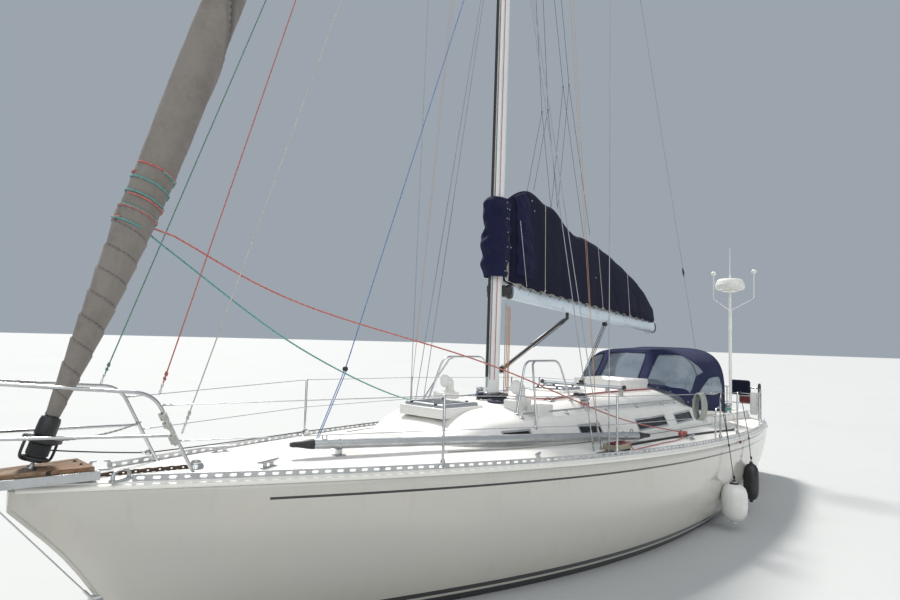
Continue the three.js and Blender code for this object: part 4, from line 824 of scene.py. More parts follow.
# %% The coil by the mast
LAID_CENTRE = at(4.72, 0.235, 1.6879)
LAID_ROPE, LAID_R, LAID_GAP = 0.012, 0.1, 0.0123
LAID_COLUMNS, LAID_LAYERS = 4, 3
ROOF_FALL_AFT, ROOF_FALL_OUT = 0.0444, -0.0518


def laid_line():
    """Flat spirals, wound inwards and outwards in turn, one on another."""
    line = []
    inner = LAID_R - LAID_GAP * (LAID_COLUMNS - 1) / 2
    span = LAID_GAP * (LAID_COLUMNS - 1)
    turns = LAID_COLUMNS - 1 + 0.75
    angle = 0.0
    step = 2 * math.pi / COIL_STEPS
    for layer in range(LAID_LAYERS):
        count = round(turns * COIL_STEPS)
        for k in range(count):
            share = k / count
            wide = 1 - share if layer % 2 == 0 else share
            rise = min(1.0, k / (COIL_STEPS / 4)) if layer else 1.0
            height = LAID_ROPE / 2 + 0.0004 + (layer - 1 + rise) * LAID_GAP
            radius = inner + span * min(1.0, max(0.0, wide * turns / (turns - 0.25)))
            x, y = radius * math.cos(angle), radius * math.sin(angle)
            height += ROOF_FALL_AFT * -x + ROOF_FALL_OUT * y
            line.append(LAID_CENTRE + Vector((x, y, height)))
            angle += step
    return line


laid = laid_line()
halyard_coil = tube("coil_by_mast", laid, LAID_ROPE / 2, 8)
fit(halyard_coil, navy_rope, replaces=["halyard_coil"])
print(f"The coil by the mast is {length_of(laid):.2f} m of rope.")

# %% [markdown]
# The boat floats, so the floor stands for the water and lies at the waterline. It is
# plain and pale. The day was hazy: a bright sky all round and a soft sun over the far
# side, which leaves the near side of the hull in open shade.

# %% Floor and light
FLOOR_SIZE, FLOOR_COLOUR = 600.0, (0.50, 0.51, 0.51)
SKY_COLOUR, SKY_STRENGTH = (0.64, 0.72, 0.81), 0.52
# Name, from where, strength, softness in degrees, tint
LAMPS = (
    ("sun", (-0.3, -0.75, 1.15), 4.3, 14.0, (1.0, 0.97, 0.92)),
    ("haze", (0.55, 0.75, 0.85), 1.15, 70.0, (1.0, 0.985, 0.95)),
)

half = FLOOR_SIZE / 2
floor = new_mesh(
    "floor", [(-half, -half, 0), (half, -half, 0), (half, half, 0), (-half, half, 0)], [(0, 1, 2, 3)],
)
floor_paint, tree, shader = start("floor_paint", FLOOR_COLOUR, 0.75)
film = effect(
    tree, "weathering", Colour=FLOOR_COLOUR, Stain=shade(FLOOR_COLOUR, 0.94), Scale=0.15, Amount=0.5,
)
tree.links.new(film.outputs["Colour"], shader.inputs["Base Color"])
floor.data.materials.append(floor_paint)
floor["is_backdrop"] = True

world = bpy.data.worlds.new("hazy_sky")
world.use_nodes = True
sky = world.node_tree.nodes["Background"]
sky.inputs["Color"].default_value = (*SKY_COLOUR, 1)
sky.inputs["Strength"].default_value = SKY_STRENGTH
scene.world = world

for name, place, strength, softness, tint in LAMPS:
    light = bpy.data.lights.new(name, "SUN")
    light.energy, light.angle, light.color = strength, math.radians(softness), tint
    lamp = placed(name, light)
    lamp.rotation_mode = "QUATERNION"
    lamp.rotation_quaternion = Vector(place).to_track_quat("Z", "Y")
scene.view_settings.view_transform = "Standard"
print("The floor lies at the waterline and the sun stands over the starboard side.")

# %% [markdown]
# The hull is one moulding of white fibreglass. Its designer drew it as a table: half
# beam, sheer and bottom at stations along the length, and how full each section is.
# The CAD hull runs straight between those stations. Here a smooth curve runs through
# them, and the skin has many more rows, so that long reflections stay fair.

# %% The hull's lines
HULL_LINES = (  # s, half beam, sheer, bottom, rise, bilge
    (0.00, 0.028, 1.370, 1.235, 1.20, 0.90), (0.35, 0.160, 1.356, 0.850, 1.20, 0.95),
    (0.70, 0.305, 1.343, 0.345, 1.25, 0.95), (1.05, 0.445, 1.330, -0.060, 1.35, 0.90),
    (1.70, 0.695, 1.307, -0.270, 1.60, 0.80), (2.50, 0.990, 1.281, -0.390, 1.90, 0.68),
    (3.50, 1.310, 1.250, -0.480, 2.30, 0.57), (4.70, 1.610, 1.215, -0.535, 2.70, 0.50),
    (6.00, 1.800, 1.180, -0.550, 3.00, 0.46), (7.30, 1.855, 1.143, -0.530, 3.10, 0.45),
    (8.60, 1.805, 1.104, -0.440, 3.10, 0.45), (9.80, 1.655, 1.065, -0.270, 3.00, 0.45),
    (10.90, 1.440, 1.030, -0.060, 2.80, 0.46), (11.70, 1.230, 1.004, 0.130, 2.60, 0.47),
    (12.29, 1.050, 0.985, 0.300, 2.40, 0.48),
)
HULL_COLUMNS = {"half": 1, "sheer": 2, "bottom": 3, "rise": 4, "bilge": 5}


def fair_curve(places, values):
    """A curve through the values whose slope never jumps, like a draughtsman's batten."""
    x, v = np.array(places, float), np.array(values, float)
    gap, rise = np.diff(x), np.diff(v) / np.diff(x)
    slope = np.empty_like(v)
    slope[1:-1] = (gap[1:] * rise[:-1] + gap[:-1] * rise[1:]) / (gap[1:] + gap[:-1])
    slope[0], slope[-1] = rise[0], rise[-1]

    def value(at_place):
        p = min(max(at_place, x[0]), x[-1])
        k = min(int(np.searchsorted(x, p, side="right")) - 1, len(x) - 2)
        h = gap[k]
        t = (p - x[k]) / h
        return float(
            v[k] * (1 + 2 * t) * (1 - t) ** 2 + slope[k] * h * t * (1 - t) ** 2
            + v[k + 1] * t * t * (3 - 2 * t) + slope[k + 1] * h * t * t * (t - 1)
        )

    return value


def fair_column(rows, column):
    """A smooth curve through one column of a table, over its first column."""
    return fair_curve([row[0] for row in rows], [row[column] for row in rows])


HULL = {
    name: fair_column(HULL_LINES, k)
    for name, k in HULL_COLUMNS.items()
}


def half_beam(s, z):
    """The hull's half width at a place and height."""
    low, high = HULL["bottom"](s), HULL["sheer"](s)
    u = min(max((z - low) / (high - low), 0.0), 1.0)
    return HULL["half"](s) * (1 - (1 - u) ** HULL["rise"](s)) ** HULL["bilge"](s)


TRANSOM_TOP, TRANSOM_FOOT = (11.99, 1.3), (12.315, 0.2)


def transom_s(z):
    """Where the raked transom cuts the hull at a height."""
    share = (TRANSOM_TOP[1] - z) / (TRANSOM_TOP[1] - TRANSOM_FOOT[1])
    return TRANSOM_TOP[0] + (TRANSOM_FOOT[0] - TRANSOM_TOP[0]) * share


print(f"Widest at s 7.3: {2 * half_beam(7.3, 1.1):.2f} m.")

# %% [markdown]
# The skin's rows go from keel to sheer. The last rows are pulled forward to the raked
# transom plane, so the hull ends in one flat face with a small rounding. Two values
# ride on the skin's points: how far each lies below the sheer, and how far aft. The
# paint uses them to lay the thin stripe parallel to the sheer, as a painter's tape is.

# %% The hull skin
HULL_ROWS, HULL_LEVELS = 150, 36
SKIN_THICK = 0.03
STATION_END = 12.29


def hull_row(s):
    """One side of the hull from the bottom to the sheer, cut by the transom."""
    low, high = HULL["bottom"](s), HULL["sheer"](s)
    row = []
    for k in range(HULL_LEVELS + 1):
        u = (k / HULL_LEVELS) ** 1.7
        z = low + (high - low) * u
        y = HULL["half"](s) * (1 - (1 - u) ** HULL["rise"](s)) ** HULL["bilge"](s)
        row.append((s, y, z))
    return row


def mark(piece, label, values):
    """A value on each point of a piece, for its material to read."""
    piece.data.attributes.new(label, "FLOAT", "POINT").data.foreach_set("value", values)


def hull_skin(name):
    marks = [STATION_END * (k / HULL_ROWS) ** 0.92 for k in range(HULL_ROWS + 1)]
    rows, below, along = [], [], []
    for s in marks:
        port = []
        for place, y, z in hull_row(s):
            limit = transom_s(z)
            over = place > limit
            if over:
                place = limit
                y = half_beam(limit, z)
            port.append((at(place, y, z), HULL["sheer"](place) - z, place))
        both = [(Vector((p.x, -p.y, p.z)), b, a) for p, b, a in port[:0:-1]] + port
        rows.append([p for p, _, _ in both])
        below.extend(b for _, b, _ in both)
        along.extend(a for _, _, a in both)
    columns = len(rows[0])
    faces = lattice_faces(len(rows), columns, False)
    faces.append(tuple(range(columns)))
    faces.append(tuple((len(rows) - 1) * columns + k for k in range(columns)))
    piece = new_mesh(name, [p for row in rows for p in row], faces)
    mark(piece, "below_sheer", below)
    mark(piece, "aft", along)
    return weld(piece)


hull_shell = smooth(thickened(hull_skin("hull_shell"), SKIN_THICK, -1), 40)
print(f"The hull skin has {len(hull_shell.data.polygons)} faces.")

# %% [markdown]
# The cove stripe and the boot stripe are thin films on the gelcoat. Strips of mesh would
# need to float above the hull. The material reads how far each point lies below the
# sheer and along the hull instead, so that the stripes follow the hull exactly.

# %% Gelcoat with its stripes
COVE_LOW, COVE_HIGH, COVE_FRONT, COVE_BACK = 0.135, 0.115, 1.52, 11.9
BOOT_TOP, BOOT_LINE_TOP, BOOT_LINE_LOW = 0.165, 0.112, 0.082
# The hull's white gelcoat gets a greyer base colour than the deck's white: painted shade for the hull side,
# which lies in open shade.
HULL_WHITE_IN_SHADE = (0.57, 0.553, 0.507)
BLACK_STRIPE = (0.012, 0.012, 0.014)


def make_gelcoat():
    material, tree, shader = start("gelcoat_with_painted_shade", HULL_WHITE_IN_SHADE, 0.16, Coat_Weight=0.6, Coat_Roughness=0.06)
    film = effect(tree, "weathering", Colour=HULL_WHITE_IN_SHADE, Stain=(0.62, 0.59, 0.51), Scale=1.1, Amount=0.4)
    runs = effect(tree, "streaks", Width=9.0)
    parts = tree.nodes.new("ShaderNodeSeparateXYZ")
    place = tree.nodes.new("ShaderNodeTexCoord")
    tree.links.new(place.outputs["Object"], parts.inputs[0])
    height = parts.outputs[2]
    below = node(tree, "ShaderNodeAttribute", attribute_name="below_sheer").outputs["Fac"]
    aft = node(tree, "ShaderNodeAttribute", attribute_name="aft").outputs["Fac"]
    low_down = maths(tree, "SUBTRACT", 1.0, band(tree, height, 0.05, 0.75))
    near_rail = maths(tree, "SUBTRACT", 1.0, band(tree, below, 0.05, 0.6))
    dirty = times(tree, runs.outputs["Mask"],
                  maths(tree, "ADD", times(tree, near_rail, 0.3),
                        times(tree, low_down, 0.35)))
    stained = mixed(tree, dirty, film.outputs["Colour"], (0.42, 0.38, 0.29))
    # Lower down, the gelcoat is mixed towards a darker, warmer tone, strongest at the water.
    darker_towards_water = times(tree, low_down, 0.22)
    stained = mixed(tree, darker_towards_water, stained, (0.5, 0.46, 0.34))
    in_cove = times(tree, maths(tree, "GREATER_THAN", below, COVE_HIGH),
                    maths(tree, "LESS_THAN", below, COVE_LOW))
    in_length = times(tree, maths(tree, "GREATER_THAN", aft, COVE_FRONT),
                      maths(tree, "LESS_THAN", aft, COVE_BACK))
    cove = times(tree, in_cove, in_length)
    boot = times(tree, maths(tree, "LESS_THAN", height, BOOT_TOP),
                 maths(tree, "GREATER_THAN", height, BOOT_LINE_TOP))
    bottom = maths(tree, "LESS_THAN", height, BOOT_LINE_LOW)
    dark = maths(tree, "MAXIMUM", maths(tree, "MAXIMUM", cove, boot), bottom)
    tree.links.new(mixed(tree, dark, stained, BLACK_STRIPE), shader.inputs["Base Color"])
    rough = maths(tree, "ADD", 0.15, times(tree, film.outputs["Mask"], 0.1))
    rough = maths(tree, "ADD", rough, times(tree, dirty, 0.3))
    rough = maths(tree, "ADD", rough, times(tree, bottom, 0.55))
    tree.links.new(rough, shader.inputs["Roughness"])
    ripple = on_object(tree, "ShaderNodeTexNoise", Scale=1.6, Detail=1.0)
    bump(tree, shader, ripple.outputs[0], 0.004, 0.5)
    return material


gelcoat_with_painted_shade = make_gelcoat()
fit(hull_shell, gelcoat_with_painted_shade, replaces=["hull"])
print(f"The boot stripe's top lies {BOOT_TOP * 100:.0f} cm above the water.")

# %% [markdown]
# The deck is a second moulding, bonded inside the hull's edge. It is cambered so that
# water runs off, and its walkways have a moulded grit while the borders stay smooth.
# A flat plane with a displaced edge could do, but the real camber shows in the photo,
# so each row across the deck follows it. The middle is left open below the coachroof
# and the cockpit, where the real deck is open too.

# %% Deck
DECK_INSET, DECK_EDGE, DECK_CAMBER = 0.022, 0.030, 0.083
DECK_FRONT, DECK_BACK, DECK_THICK = 0.04, 12.02, 0.025
TRUNK_LINES = (  # s, half width, crown height, shoulder height
    (3.38, 0.64, 1.400, 1.340), (3.64, 0.74, 1.530, 1.440), (3.92, 0.83, 1.630, 1.530),
    (4.50, 0.95, 1.690, 1.560), (5.40, 1.06, 1.730, 1.568), (6.50, 1.125, 1.755, 1.560),
    (7.70, 1.12, 1.765, 1.540), (8.98, 1.05, 1.765, 1.522),
)
TRUNK = {
    name: fair_column(TRUNK_LINES, k)
    for name, k in {"half": 1, "top": 2, "shoulder": 3}.items()
}
TRUNK_FRONT, TRUNK_BACK = TRUNK_LINES[0][0], TRUNK_LINES[-1][0]
COCKPIT_FRONT, COCKPIT_BACK = 9.08, 11.62
COCKPIT_HALF_FRONT, COCKPIT_HALF_BACK = 1.01, 0.85


def deck_height(s, y):
    half = max(HULL["half"](s), 0.001)
    return HULL["sheer"](s) + DECK_EDGE + max(DECK_CAMBER * half * (1 - (y / half) ** 2), 0)


def deck_opening(s):
    """How far from the middle the deck starts, to stay clear of the spaces below."""
    if 3.62 < s < 9.0:
        return min(TRUNK["half"](s) - 0.12, (s - 3.62) * 3)
    if COCKPIT_FRONT - 0.08 <= s <= COCKPIT_BACK:
        share = (s - COCKPIT_FRONT) / (COCKPIT_BACK - COCKPIT_FRONT)
        return COCKPIT_HALF_FRONT + (COCKPIT_HALF_BACK - COCKPIT_HALF_FRONT) * share + 0.004
    return 0.0


def deck_side(name, side, columns=14):
    """One side of the deck, from its opening or the centreline out to the edge."""
    marks = sorted({
        *[DECK_FRONT + (DECK_BACK - DECK_FRONT) * k / 170 for k in range(171)],
        3.621, 8.999, COCKPIT_FRONT - 0.079, COCKPIT_BACK, COCKPIT_BACK + 0.002,
    })
    rows, border = [], []
    for s in marks:
        edge = max(HULL["half"](s) - DECK_INSET, 0.012)
        inner = min(deck_opening(s), edge - 0.01)
        row = [at(s, inner, deck_height(s, inner) - DECK_THICK)]
        border.append(0.0)
        for k in range(columns + 1):
            y = inner + (edge - inner) * k / columns
            row.append(at(s, y, deck_height(s, y)))
            inner_gap = y - inner if inner > 0 else 9.0
            border.append(min(edge - y, inner_gap if inner > 0 else 9.0, abs(s - 0.9) if s < 0.9 else 9))
        row.append(at(s, edge, HULL["sheer"](s) + 0.0003))
        border.append(0.0)
        if side < 0:
            row = mirror(row)
        rows.append(row)
    piece = lattice(name, rows)
    mark(piece, "border", border)
    if side < 0:
        piece.data.flip_normals()
    return piece


def make_deck_paint(name, grit_from_border):
    colour = (0.80, 0.79, 0.765)
    material, tree, shader = start(name, colour, 0.42)
    film = effect(tree, "weathering", Colour=colour, Stain=(0.66, 0.63, 0.56), Scale=1.7, Amount=0.45)
    grain = effect(tree, "grit", Scale=170.0)
    if grit_from_border:
        border = node(tree, "ShaderNodeAttribute", attribute_name="border").outputs["Fac"]
        rough_part = band(tree, border, 0.075, 0.082)
    else:
        shape = tree.nodes.new("ShaderNodeNewGeometry")
        parts = tree.nodes.new("ShaderNodeSeparateXYZ")
        tree.links.new(shape.outputs["Normal"], parts.inputs[0])
        rough_part = band(tree, parts.outputs[2], 0.93, 0.97)
    dirt = times(tree, grain.outputs["Dirt"], times(tree, rough_part, 0.35))
    toned = mixed(tree, times(tree, rough_part, 0.16), film.outputs["Colour"], (0.66, 0.655, 0.63))
    tree.links.new(mixed(tree, dirt, toned, (0.5, 0.47, 0.4)), shader.inputs["Base Color"])
    vary(tree, shader, rough_part, 0.32, 0.72)
    bump(tree, shader, times(tree, grain.outputs["Height"], rough_part), 0.0009, 0.8)
    return material


deck_paint = make_deck_paint("deck_paint", True)
roof_paint = make_deck_paint("roof_paint", False)
moulded_white = plastic("moulded_white", (0.80, 0.79, 0.76), 0.3, (0.62, 0.59, 0.52), 0.35, coat=0.3)
deck_skin = joined("deck_skin", [deck_side("deck_port", 1), deck_side("deck_starboard", -1)])
weld(deck_skin, outwards=False)
fit(smooth(deck_skin, 40), deck_paint, replaces=["deck"])
print(f"The deck is {2 * (HULL['half'](7.3) - DECK_INSET):.2f} m wide amidships.")

# %% [markdown]
# Round the sheer runs a rounded gunwale, where the deck moulding laps over the hull.
# In the photo it is the cream line above the topsides, just outside the toe rail.

# %% Gunwale
def gunwale(side):
    """A rounded strip over the joint, swept along the sheer."""
    section = [
        (0.006, -0.013), (0.009, -0.006), (0.009, 0.002), (0.003, 0.011), (-0.012, 0.020), (-0.034, 0.026),
        (-0.040, 0.016), (-0.030, -0.006),
    ]
    rows = []
    for k in range(131):
        s = 0.03 + (11.985 - 0.03) * k / 130
        half, sheer = HULL["half"](s), HULL["sheer"](s)
        rows.append([at(s, side * max(half + dy, 0.001), sheer + dz) for dy, dz in section])
    return loft("gunwale", rows, 60)


gunwales = joined("gunwale", [gunwale(1), gunwale(-1)])
smooth(gunwales, 60)
fit(gunwales, plastic("gunwale_gelcoat", (0.84, 0.82, 0.76), 0.22, (0.7, 0.66, 0.56), 0.25, coat=0.3))
print("The gunwale runs along both sides.")

# %% [markdown]
# The toe rail is an aluminium extrusion along the edge, punched with slots that take
# blocks and fender lines. It could be a strip with a bump for the slots, but the sky
# and the deck show through them, so the slots are real holes: each short length of
# rail is a ring of faces round an opening.

# %% Toe rail
TOE_INSET, TOE_HEIGHT, TOE_THICK = 0.034, 0.046, 0.006
TOE_FRONT, TOE_BACK, TOE_PITCH = 0.66, 11.92, 0.095
SLOT_LONG, SLOT_LOW, SLOT_HIGH = 0.052, 0.012, 0.032


def toe_rail(side):
    """Cells with an eight-cornered slot, two skins apart by the rail's thickness."""
    points, faces = [], []
    cells = int((TOE_BACK - TOE_FRONT) / TOE_PITCH)

    def place(s, up, inwards):
        y = HULL["half"](s) - TOE_INSET - (TOE_THICK if inwards else 0)
        return at(s, side * y, deck_height(s, y) + up)

    for k in range(cells):
        s0, s1 = TOE_FRONT + k * TOE_PITCH, TOE_FRONT + (k + 1) * TOE_PITCH
        m, h, r = (s0 + s1) / 2, SLOT_LONG / 2, 0.008
        slot = [
            (m - h, SLOT_LOW + r), (m - h + r, SLOT_LOW), (m + h - r, SLOT_LOW), (m + h, SLOT_LOW + r),
            (m + h, SLOT_HIGH - r), (m + h - r, SLOT_HIGH), (m - h + r, SLOT_HIGH), (m - h, SLOT_HIGH - r),
        ]
        rim = [
            (s0, SLOT_LOW + r), (m - h + r, -0.004), (m + h - r, -0.004), (s1, SLOT_LOW + r),
            (s1, SLOT_HIGH - r), (m + h - r, TOE_HEIGHT), (m - h + r, TOE_HEIGHT), (s0, SLOT_HIGH - r),
        ]
        corners = [(s0, -0.004), (s1, -0.004), (s1, TOE_HEIGHT), (s0, TOE_HEIGHT)]
        base = len(points)
        for inwards in (False, True):
            points.extend(place(s, up, inwards) for s, up in slot + rim + corners)
        for skin in (0, 20):
            ring = [
                (
                    base + skin + j, base + skin + (j + 1) % 8, base + skin + 8 + (j + 1) % 8,
                    base + skin + 8 + j,
                )
                for j in range(8) if j not in (0, 2, 4, 6)
            ]
            ring += [
                (base + skin, base + skin + 1, base + skin + 9, base + skin + 16, base + skin + 8),
                (base + skin + 2, base + skin + 3, base + skin + 11, base + skin + 17, base + skin + 10),
                (base + skin + 4, base + skin + 5, base + skin + 13, base + skin + 18, base + skin + 12),
                (base + skin + 6, base + skin + 7, base + skin + 15, base + skin + 19, base + skin + 14),
            ]
            faces.extend(ring)
        faces.extend((base + j, base + 20 + j, base + 20 + (j + 1) % 8, base + (j + 1) % 8) for j in range(8))
        for a, b in ((19, 14), (14, 13), (13, 18), (16, 9), (9, 10), (10, 17)):
            faces.append((base + a, base + b, base + 20 + b, base + 20 + a))
        for end, upright in ((k == 0, (16, 8, 15, 19)), (k == cells - 1, (17, 11, 12, 18))):
            if end:
                for a, b in zip(upright, upright[1:]):
                    faces.append((base + a, base + b, base + 20 + b, base + 20 + a))
    return weld(new_mesh("toe_rail", points, faces)), cells


for side, label in SIDES:
    rail, cells = toe_rail(side)
    rail.name = "toe_rail_" + label + "_slotted"
    fit(smooth(rail, 30), alloy, replaces=["toe_rail_" + label])
print(f"Each toe rail has {cells} slots.")

# %% [markdown]
# The coachroof is the raised part of the deck over the cabin. Its corners are large
# soft curves, because laminate can't be laid into a sharp one. Its section is a row of
# points with a rounded shoulder, swept along the fair curves of the CAD's own table,
# and the window and hatch openings are then cut through with exact booleans.

# %% Coachroof shell
SIDE_LEAN, ROOF_SKIN, SIDE_LOW, SIDE_HIGH = 0.075, 0.042, 0.27, 0.025


def roof_half(s):
    """Port side of the roof's section: side wall, rounded shoulder and crowned top."""
    half, top, shoulder = TRUNK["half"](s), TRUNK["top"](s), TRUNK["shoulder"](s)
    inner = half - SIDE_LEAN
    low = min(shoulder - SIDE_LOW, deck_height(s, half) - 0.01)
    shape = [
        (half + 0.006, low - 0.05), (half, low),
        ((half + inner + 0.008) / 2, (low + shoulder - SIDE_HIGH) / 2),
        (inner + 0.010, shoulder - SIDE_HIGH - 0.02),
    ]
    corner_in, corner, corner_out = shape[-1], (inner + 0.002, shoulder + 0.006), (
        inner - 0.075, shoulder + 0.03,
    )
    for k in range(1, 7):
        t = k / 7
        shape.append(tuple(
            a * (1 - t) ** 2 + b * 2 * t * (1 - t) + c * t * t
            for a, b, c in zip(corner_in, corner, corner_out)
        ))
    shape.append(corner_out)
    for k in range(1, 10):
        share = 1 - k / 9
        y = corner_out[0] * share
        shape.append((y, top - (top - corner_out[1]) * (share ** 2.7)))
    return shape


def coachroof_skin(name):
    marks = [TRUNK_FRONT + (TRUNK_BACK - TRUNK_FRONT) * (k / 90) ** 1.15 for k in range(91)]
    rows = []
    for s in marks:
        port = [at(s, y, z) for y, z in roof_half(s)]
        rows.append(port + mirror(port[-2::-1]))
    front = [
        Vector((p.x + 0.012, p.y * 0.99, min(p.z, deck_height(TRUNK_FRONT, p.y) - 0.01))) for p in rows[0]
    ]
    piece = lattice(name, [front, *rows])
    back = new_mesh("back", rows[-1], [tuple(range(len(rows[-1])))])
    return weld(joined(name, [piece, back]))


print(f"The coachroof runs from s {TRUNK_FRONT} to {TRUNK_BACK}.")

# %% [markdown]
# Windows and hatches are holes in a moulded shell. Their edges could
# be modelled into the skin, but that bends its even rows of faces. Cutting with prisms
# keeps the skin fair, and the wall's thickness shows in every opening.

# %% Openings cut in the coachroof
def cutter(name, outline, low, high):
    """A prism between two levels or sides, for cutting; outline holds (a, b) pairs."""
    count = len(outline)
    points = [low(*p) for p in outline] + [high(*p) for p in outline]
    faces = [tuple(range(count)), tuple(reversed(range(count, 2 * count)))]
    faces += [(k, k + count, (k + 1) % count + count, (k + 1) % count) for k in range(count)]
    return weld(new_mesh(name, points, faces), 0)


def carve(piece, tool, operation="DIFFERENCE"):
    """Cuts a closed form with another and removes the tool."""
    cut = piece.modifiers.new("cut", "BOOLEAN")
    cut.operation, cut.object, cut.solver = operation, tool, "EXACT"
    graph = bpy.context.evaluated_depsgraph_get()
    mesh = bpy.data.meshes.new_from_object(piece.evaluated_get(graph))
    piece.modifiers.clear()
    old = piece.data
    piece.data = mesh
    bpy.data.meshes.remove(old)
    bpy.data.objects.remove(tool)
    return piece


def rounded_outline(points, radius, steps=5):
    """The outline with its corners turned to a radius, for windows and hatches."""
    ring = [Vector((*p, 0)) for p in points]
    outline = []
    for k, corner in enumerate(ring):
        into, out = ring[k - 1] - corner, ring[(k + 1) % len(ring)] - corner
        reach = min(radius, into.length * 0.45, out.length * 0.45)
        start_at, end_at = corner + into.normalized() * reach, corner + out.normalized() * reach
        for j in range(steps + 1):
            t = j / steps
            p = start_at * (1 - t) ** 2 + corner * 2 * t * (1 - t) + end_at * t * t
            outline.append((p.x, p.y))
    return outline


WINDOWS = (  # front, back, low, high, skew
    (4.08, 4.45, 1.378, 1.468, 0.030), (5.27, 5.67, 1.345, 1.458, 0.045),
    (6.55, 7.43, 1.318, 1.435, 0.060), (7.79, 8.46, 1.312, 1.425, 0.070),
)


def window_outline(row, grow):
    front, back, low, high, skew = row
    return rounded_outline([
        (front - grow, high + grow), (front + skew - grow, low - grow),
        (back + skew + grow, low - grow), (back + grow, high + grow),
    ], 0.016)


FORE_HATCH = {"s": 4.01, "half": 0.30, "seat": 1.690, "rise": 0.038}
SALOON_HATCH = {"s": 6.35, "half": 0.25, "seat": 1.778, "rise": 0.036}
COMPANION_HALF, SLIDE_FRONT, SLIDE_BACK, SLIDE_SEAT = 0.285, 8.22, 9.03, 1.800

coachroof = thickened(coachroof_skin("coachroof_skin"), ROOF_SKIN, -1)
# A cut in empty air turns the skin and its thickness into one closed form.
carve(coachroof, deck_block("nothing", 0, 0.01, 0, 0.01, 5, 5.01, 0.001))
for row in WINDOWS:
    for side in (1, -1):
        carve(coachroof, cutter(
            "window_cut", window_outline(row, 0.0),
            lambda s, z: at(s, side * 0.6, z), lambda s, z: at(s, side * 1.3, z),
        ))
for hatch in (FORE_HATCH, SALOON_HATCH):
    reach = hatch["half"] - 0.025
    carve(coachroof, deck_block(
        "hatch_cut", hatch["s"] - reach, hatch["s"] + reach, -reach, reach,
        hatch["seat"] - 0.4, hatch["seat"] + 0.05, 0.03,
    ))
carve(coachroof, deck_block(
    "way_cut", SLIDE_FRONT + 0.15, 9.2, -COMPANION_HALF, COMPANION_HALF, 1.6, 1.9, 0.01,
))
carve(coachroof, deck_block(
    "door_cut", 8.85, 9.2, -COMPANION_HALF, COMPANION_HALF, 1.15, 1.9, 0.01,
))
smooth(coachroof, 28)
fit(coachroof, roof_paint, replaces=["coachroof"])
print(f"The coachroof has {len(WINDOWS)} windows a side and {len(coachroof.data.polygons)} faces.")

# %% [markdown]
# On the roof stand the moulded seats of the two hatches, the hood that the companionway
# slide runs under, and its rails. They are part of the same moulding on the real boat,
# so they keep the same white and the same rounded edges.

# %% Hatch seats, hood and rails
HOOD = {"front": 7.42, "back": 8.37, "half": 0.43, "height": 0.084, "wall": 0.028, "inside": 0.056}


def ring_block(name, s, half, hole, z0, z1):
    """A square frame round an opening, with rounded edges."""
    frame_piece = deck_block(name, s - half, s + half, -half, half, z0, z1, 0.012)
    return carve(frame_piece, deck_block("hole", s - hole, s + hole, -hole, hole, z0 - 1, z1 + 1, 0.02))


seats = [
    ring_block(
        "seat", hatch["s"], hatch["half"] + 0.035, hatch["half"] - 0.025, hatch["seat"] - 0.11,
        hatch["seat"],
    )
    for hatch in (FORE_HATCH, SALOON_HATCH)
]
hood_outline = rounded_outline([
    (HOOD["front"], -HOOD["half"] + 0.02), (HOOD["front"], HOOD["half"] - 0.02),
    (HOOD["back"], HOOD["half"]), (HOOD["back"], -HOOD["half"]),
], 0.05)
hood = cutter(
    "hood", hood_outline, lambda s, y: at(s, y, SLIDE_SEAT - 0.01),
    lambda s, y: at(s + 0.012 * (1 if s < 8 else 0), y * 0.97, SLIDE_SEAT + HOOD["height"]),
)
hood = carve(
    hood,
    deck_block(
        "hood_inside", HOOD["front"] + HOOD["wall"], HOOD["back"] + 0.1, -HOOD["half"] + 0.055,
        HOOD["half"] - 0.055, SLIDE_SEAT - 0.02, SLIDE_SEAT + HOOD["inside"], 0.006,
    ),
)
rails = deck_block(
    "rails", HOOD["front"], SLIDE_BACK - 0.04, -HOOD["half"], HOOD["half"], 1.64, SLIDE_SEAT, 0.01,
)
rails = carve(
    rails, deck_block("rail_cut", SLIDE_FRONT + 0.15, 9.2, -COMPANION_HALF, COMPANION_HALF, 1.5, 1.9, 0.01),
)
roof_fittings = joined("roof_mouldings", [*seats, hood, rails])
smooth(rounded(roof_fittings, 0.008, 50), 40)
fit(roof_fittings, moulded_white)
print("Hatch seats, hood and rails stand on the roof.")

# %% [markdown]
# The cabin windows are dark acrylic panes in slim black-edged aluminium frames. The
# CAD's panes stay and only get a smoked material. Each frame is a rounded ring that
# is laid on the sloping side of the roof, so it is drawn as an outline first.

# %% Smoked acrylic and teak
def smoky(name, colour, roughness, transmission):
    material, tree, shader = start(
        name, colour, roughness, Transmission_Weight=transmission, IOR=1.49, Specular_IOR_Level=0.28,
    )
    film = effect(
        tree, "weathering", Colour=colour, Stain=tuple(c * 1.9 + 0.02 for c in colour), Scale=5.0,
        Amount=0.5,
    )
    tree.links.new(film.outputs["Colour"], shader.inputs["Base Color"])
    vary(tree, shader, film.outputs["Mask"], roughness * 0.6, roughness * 2.2)
    return material


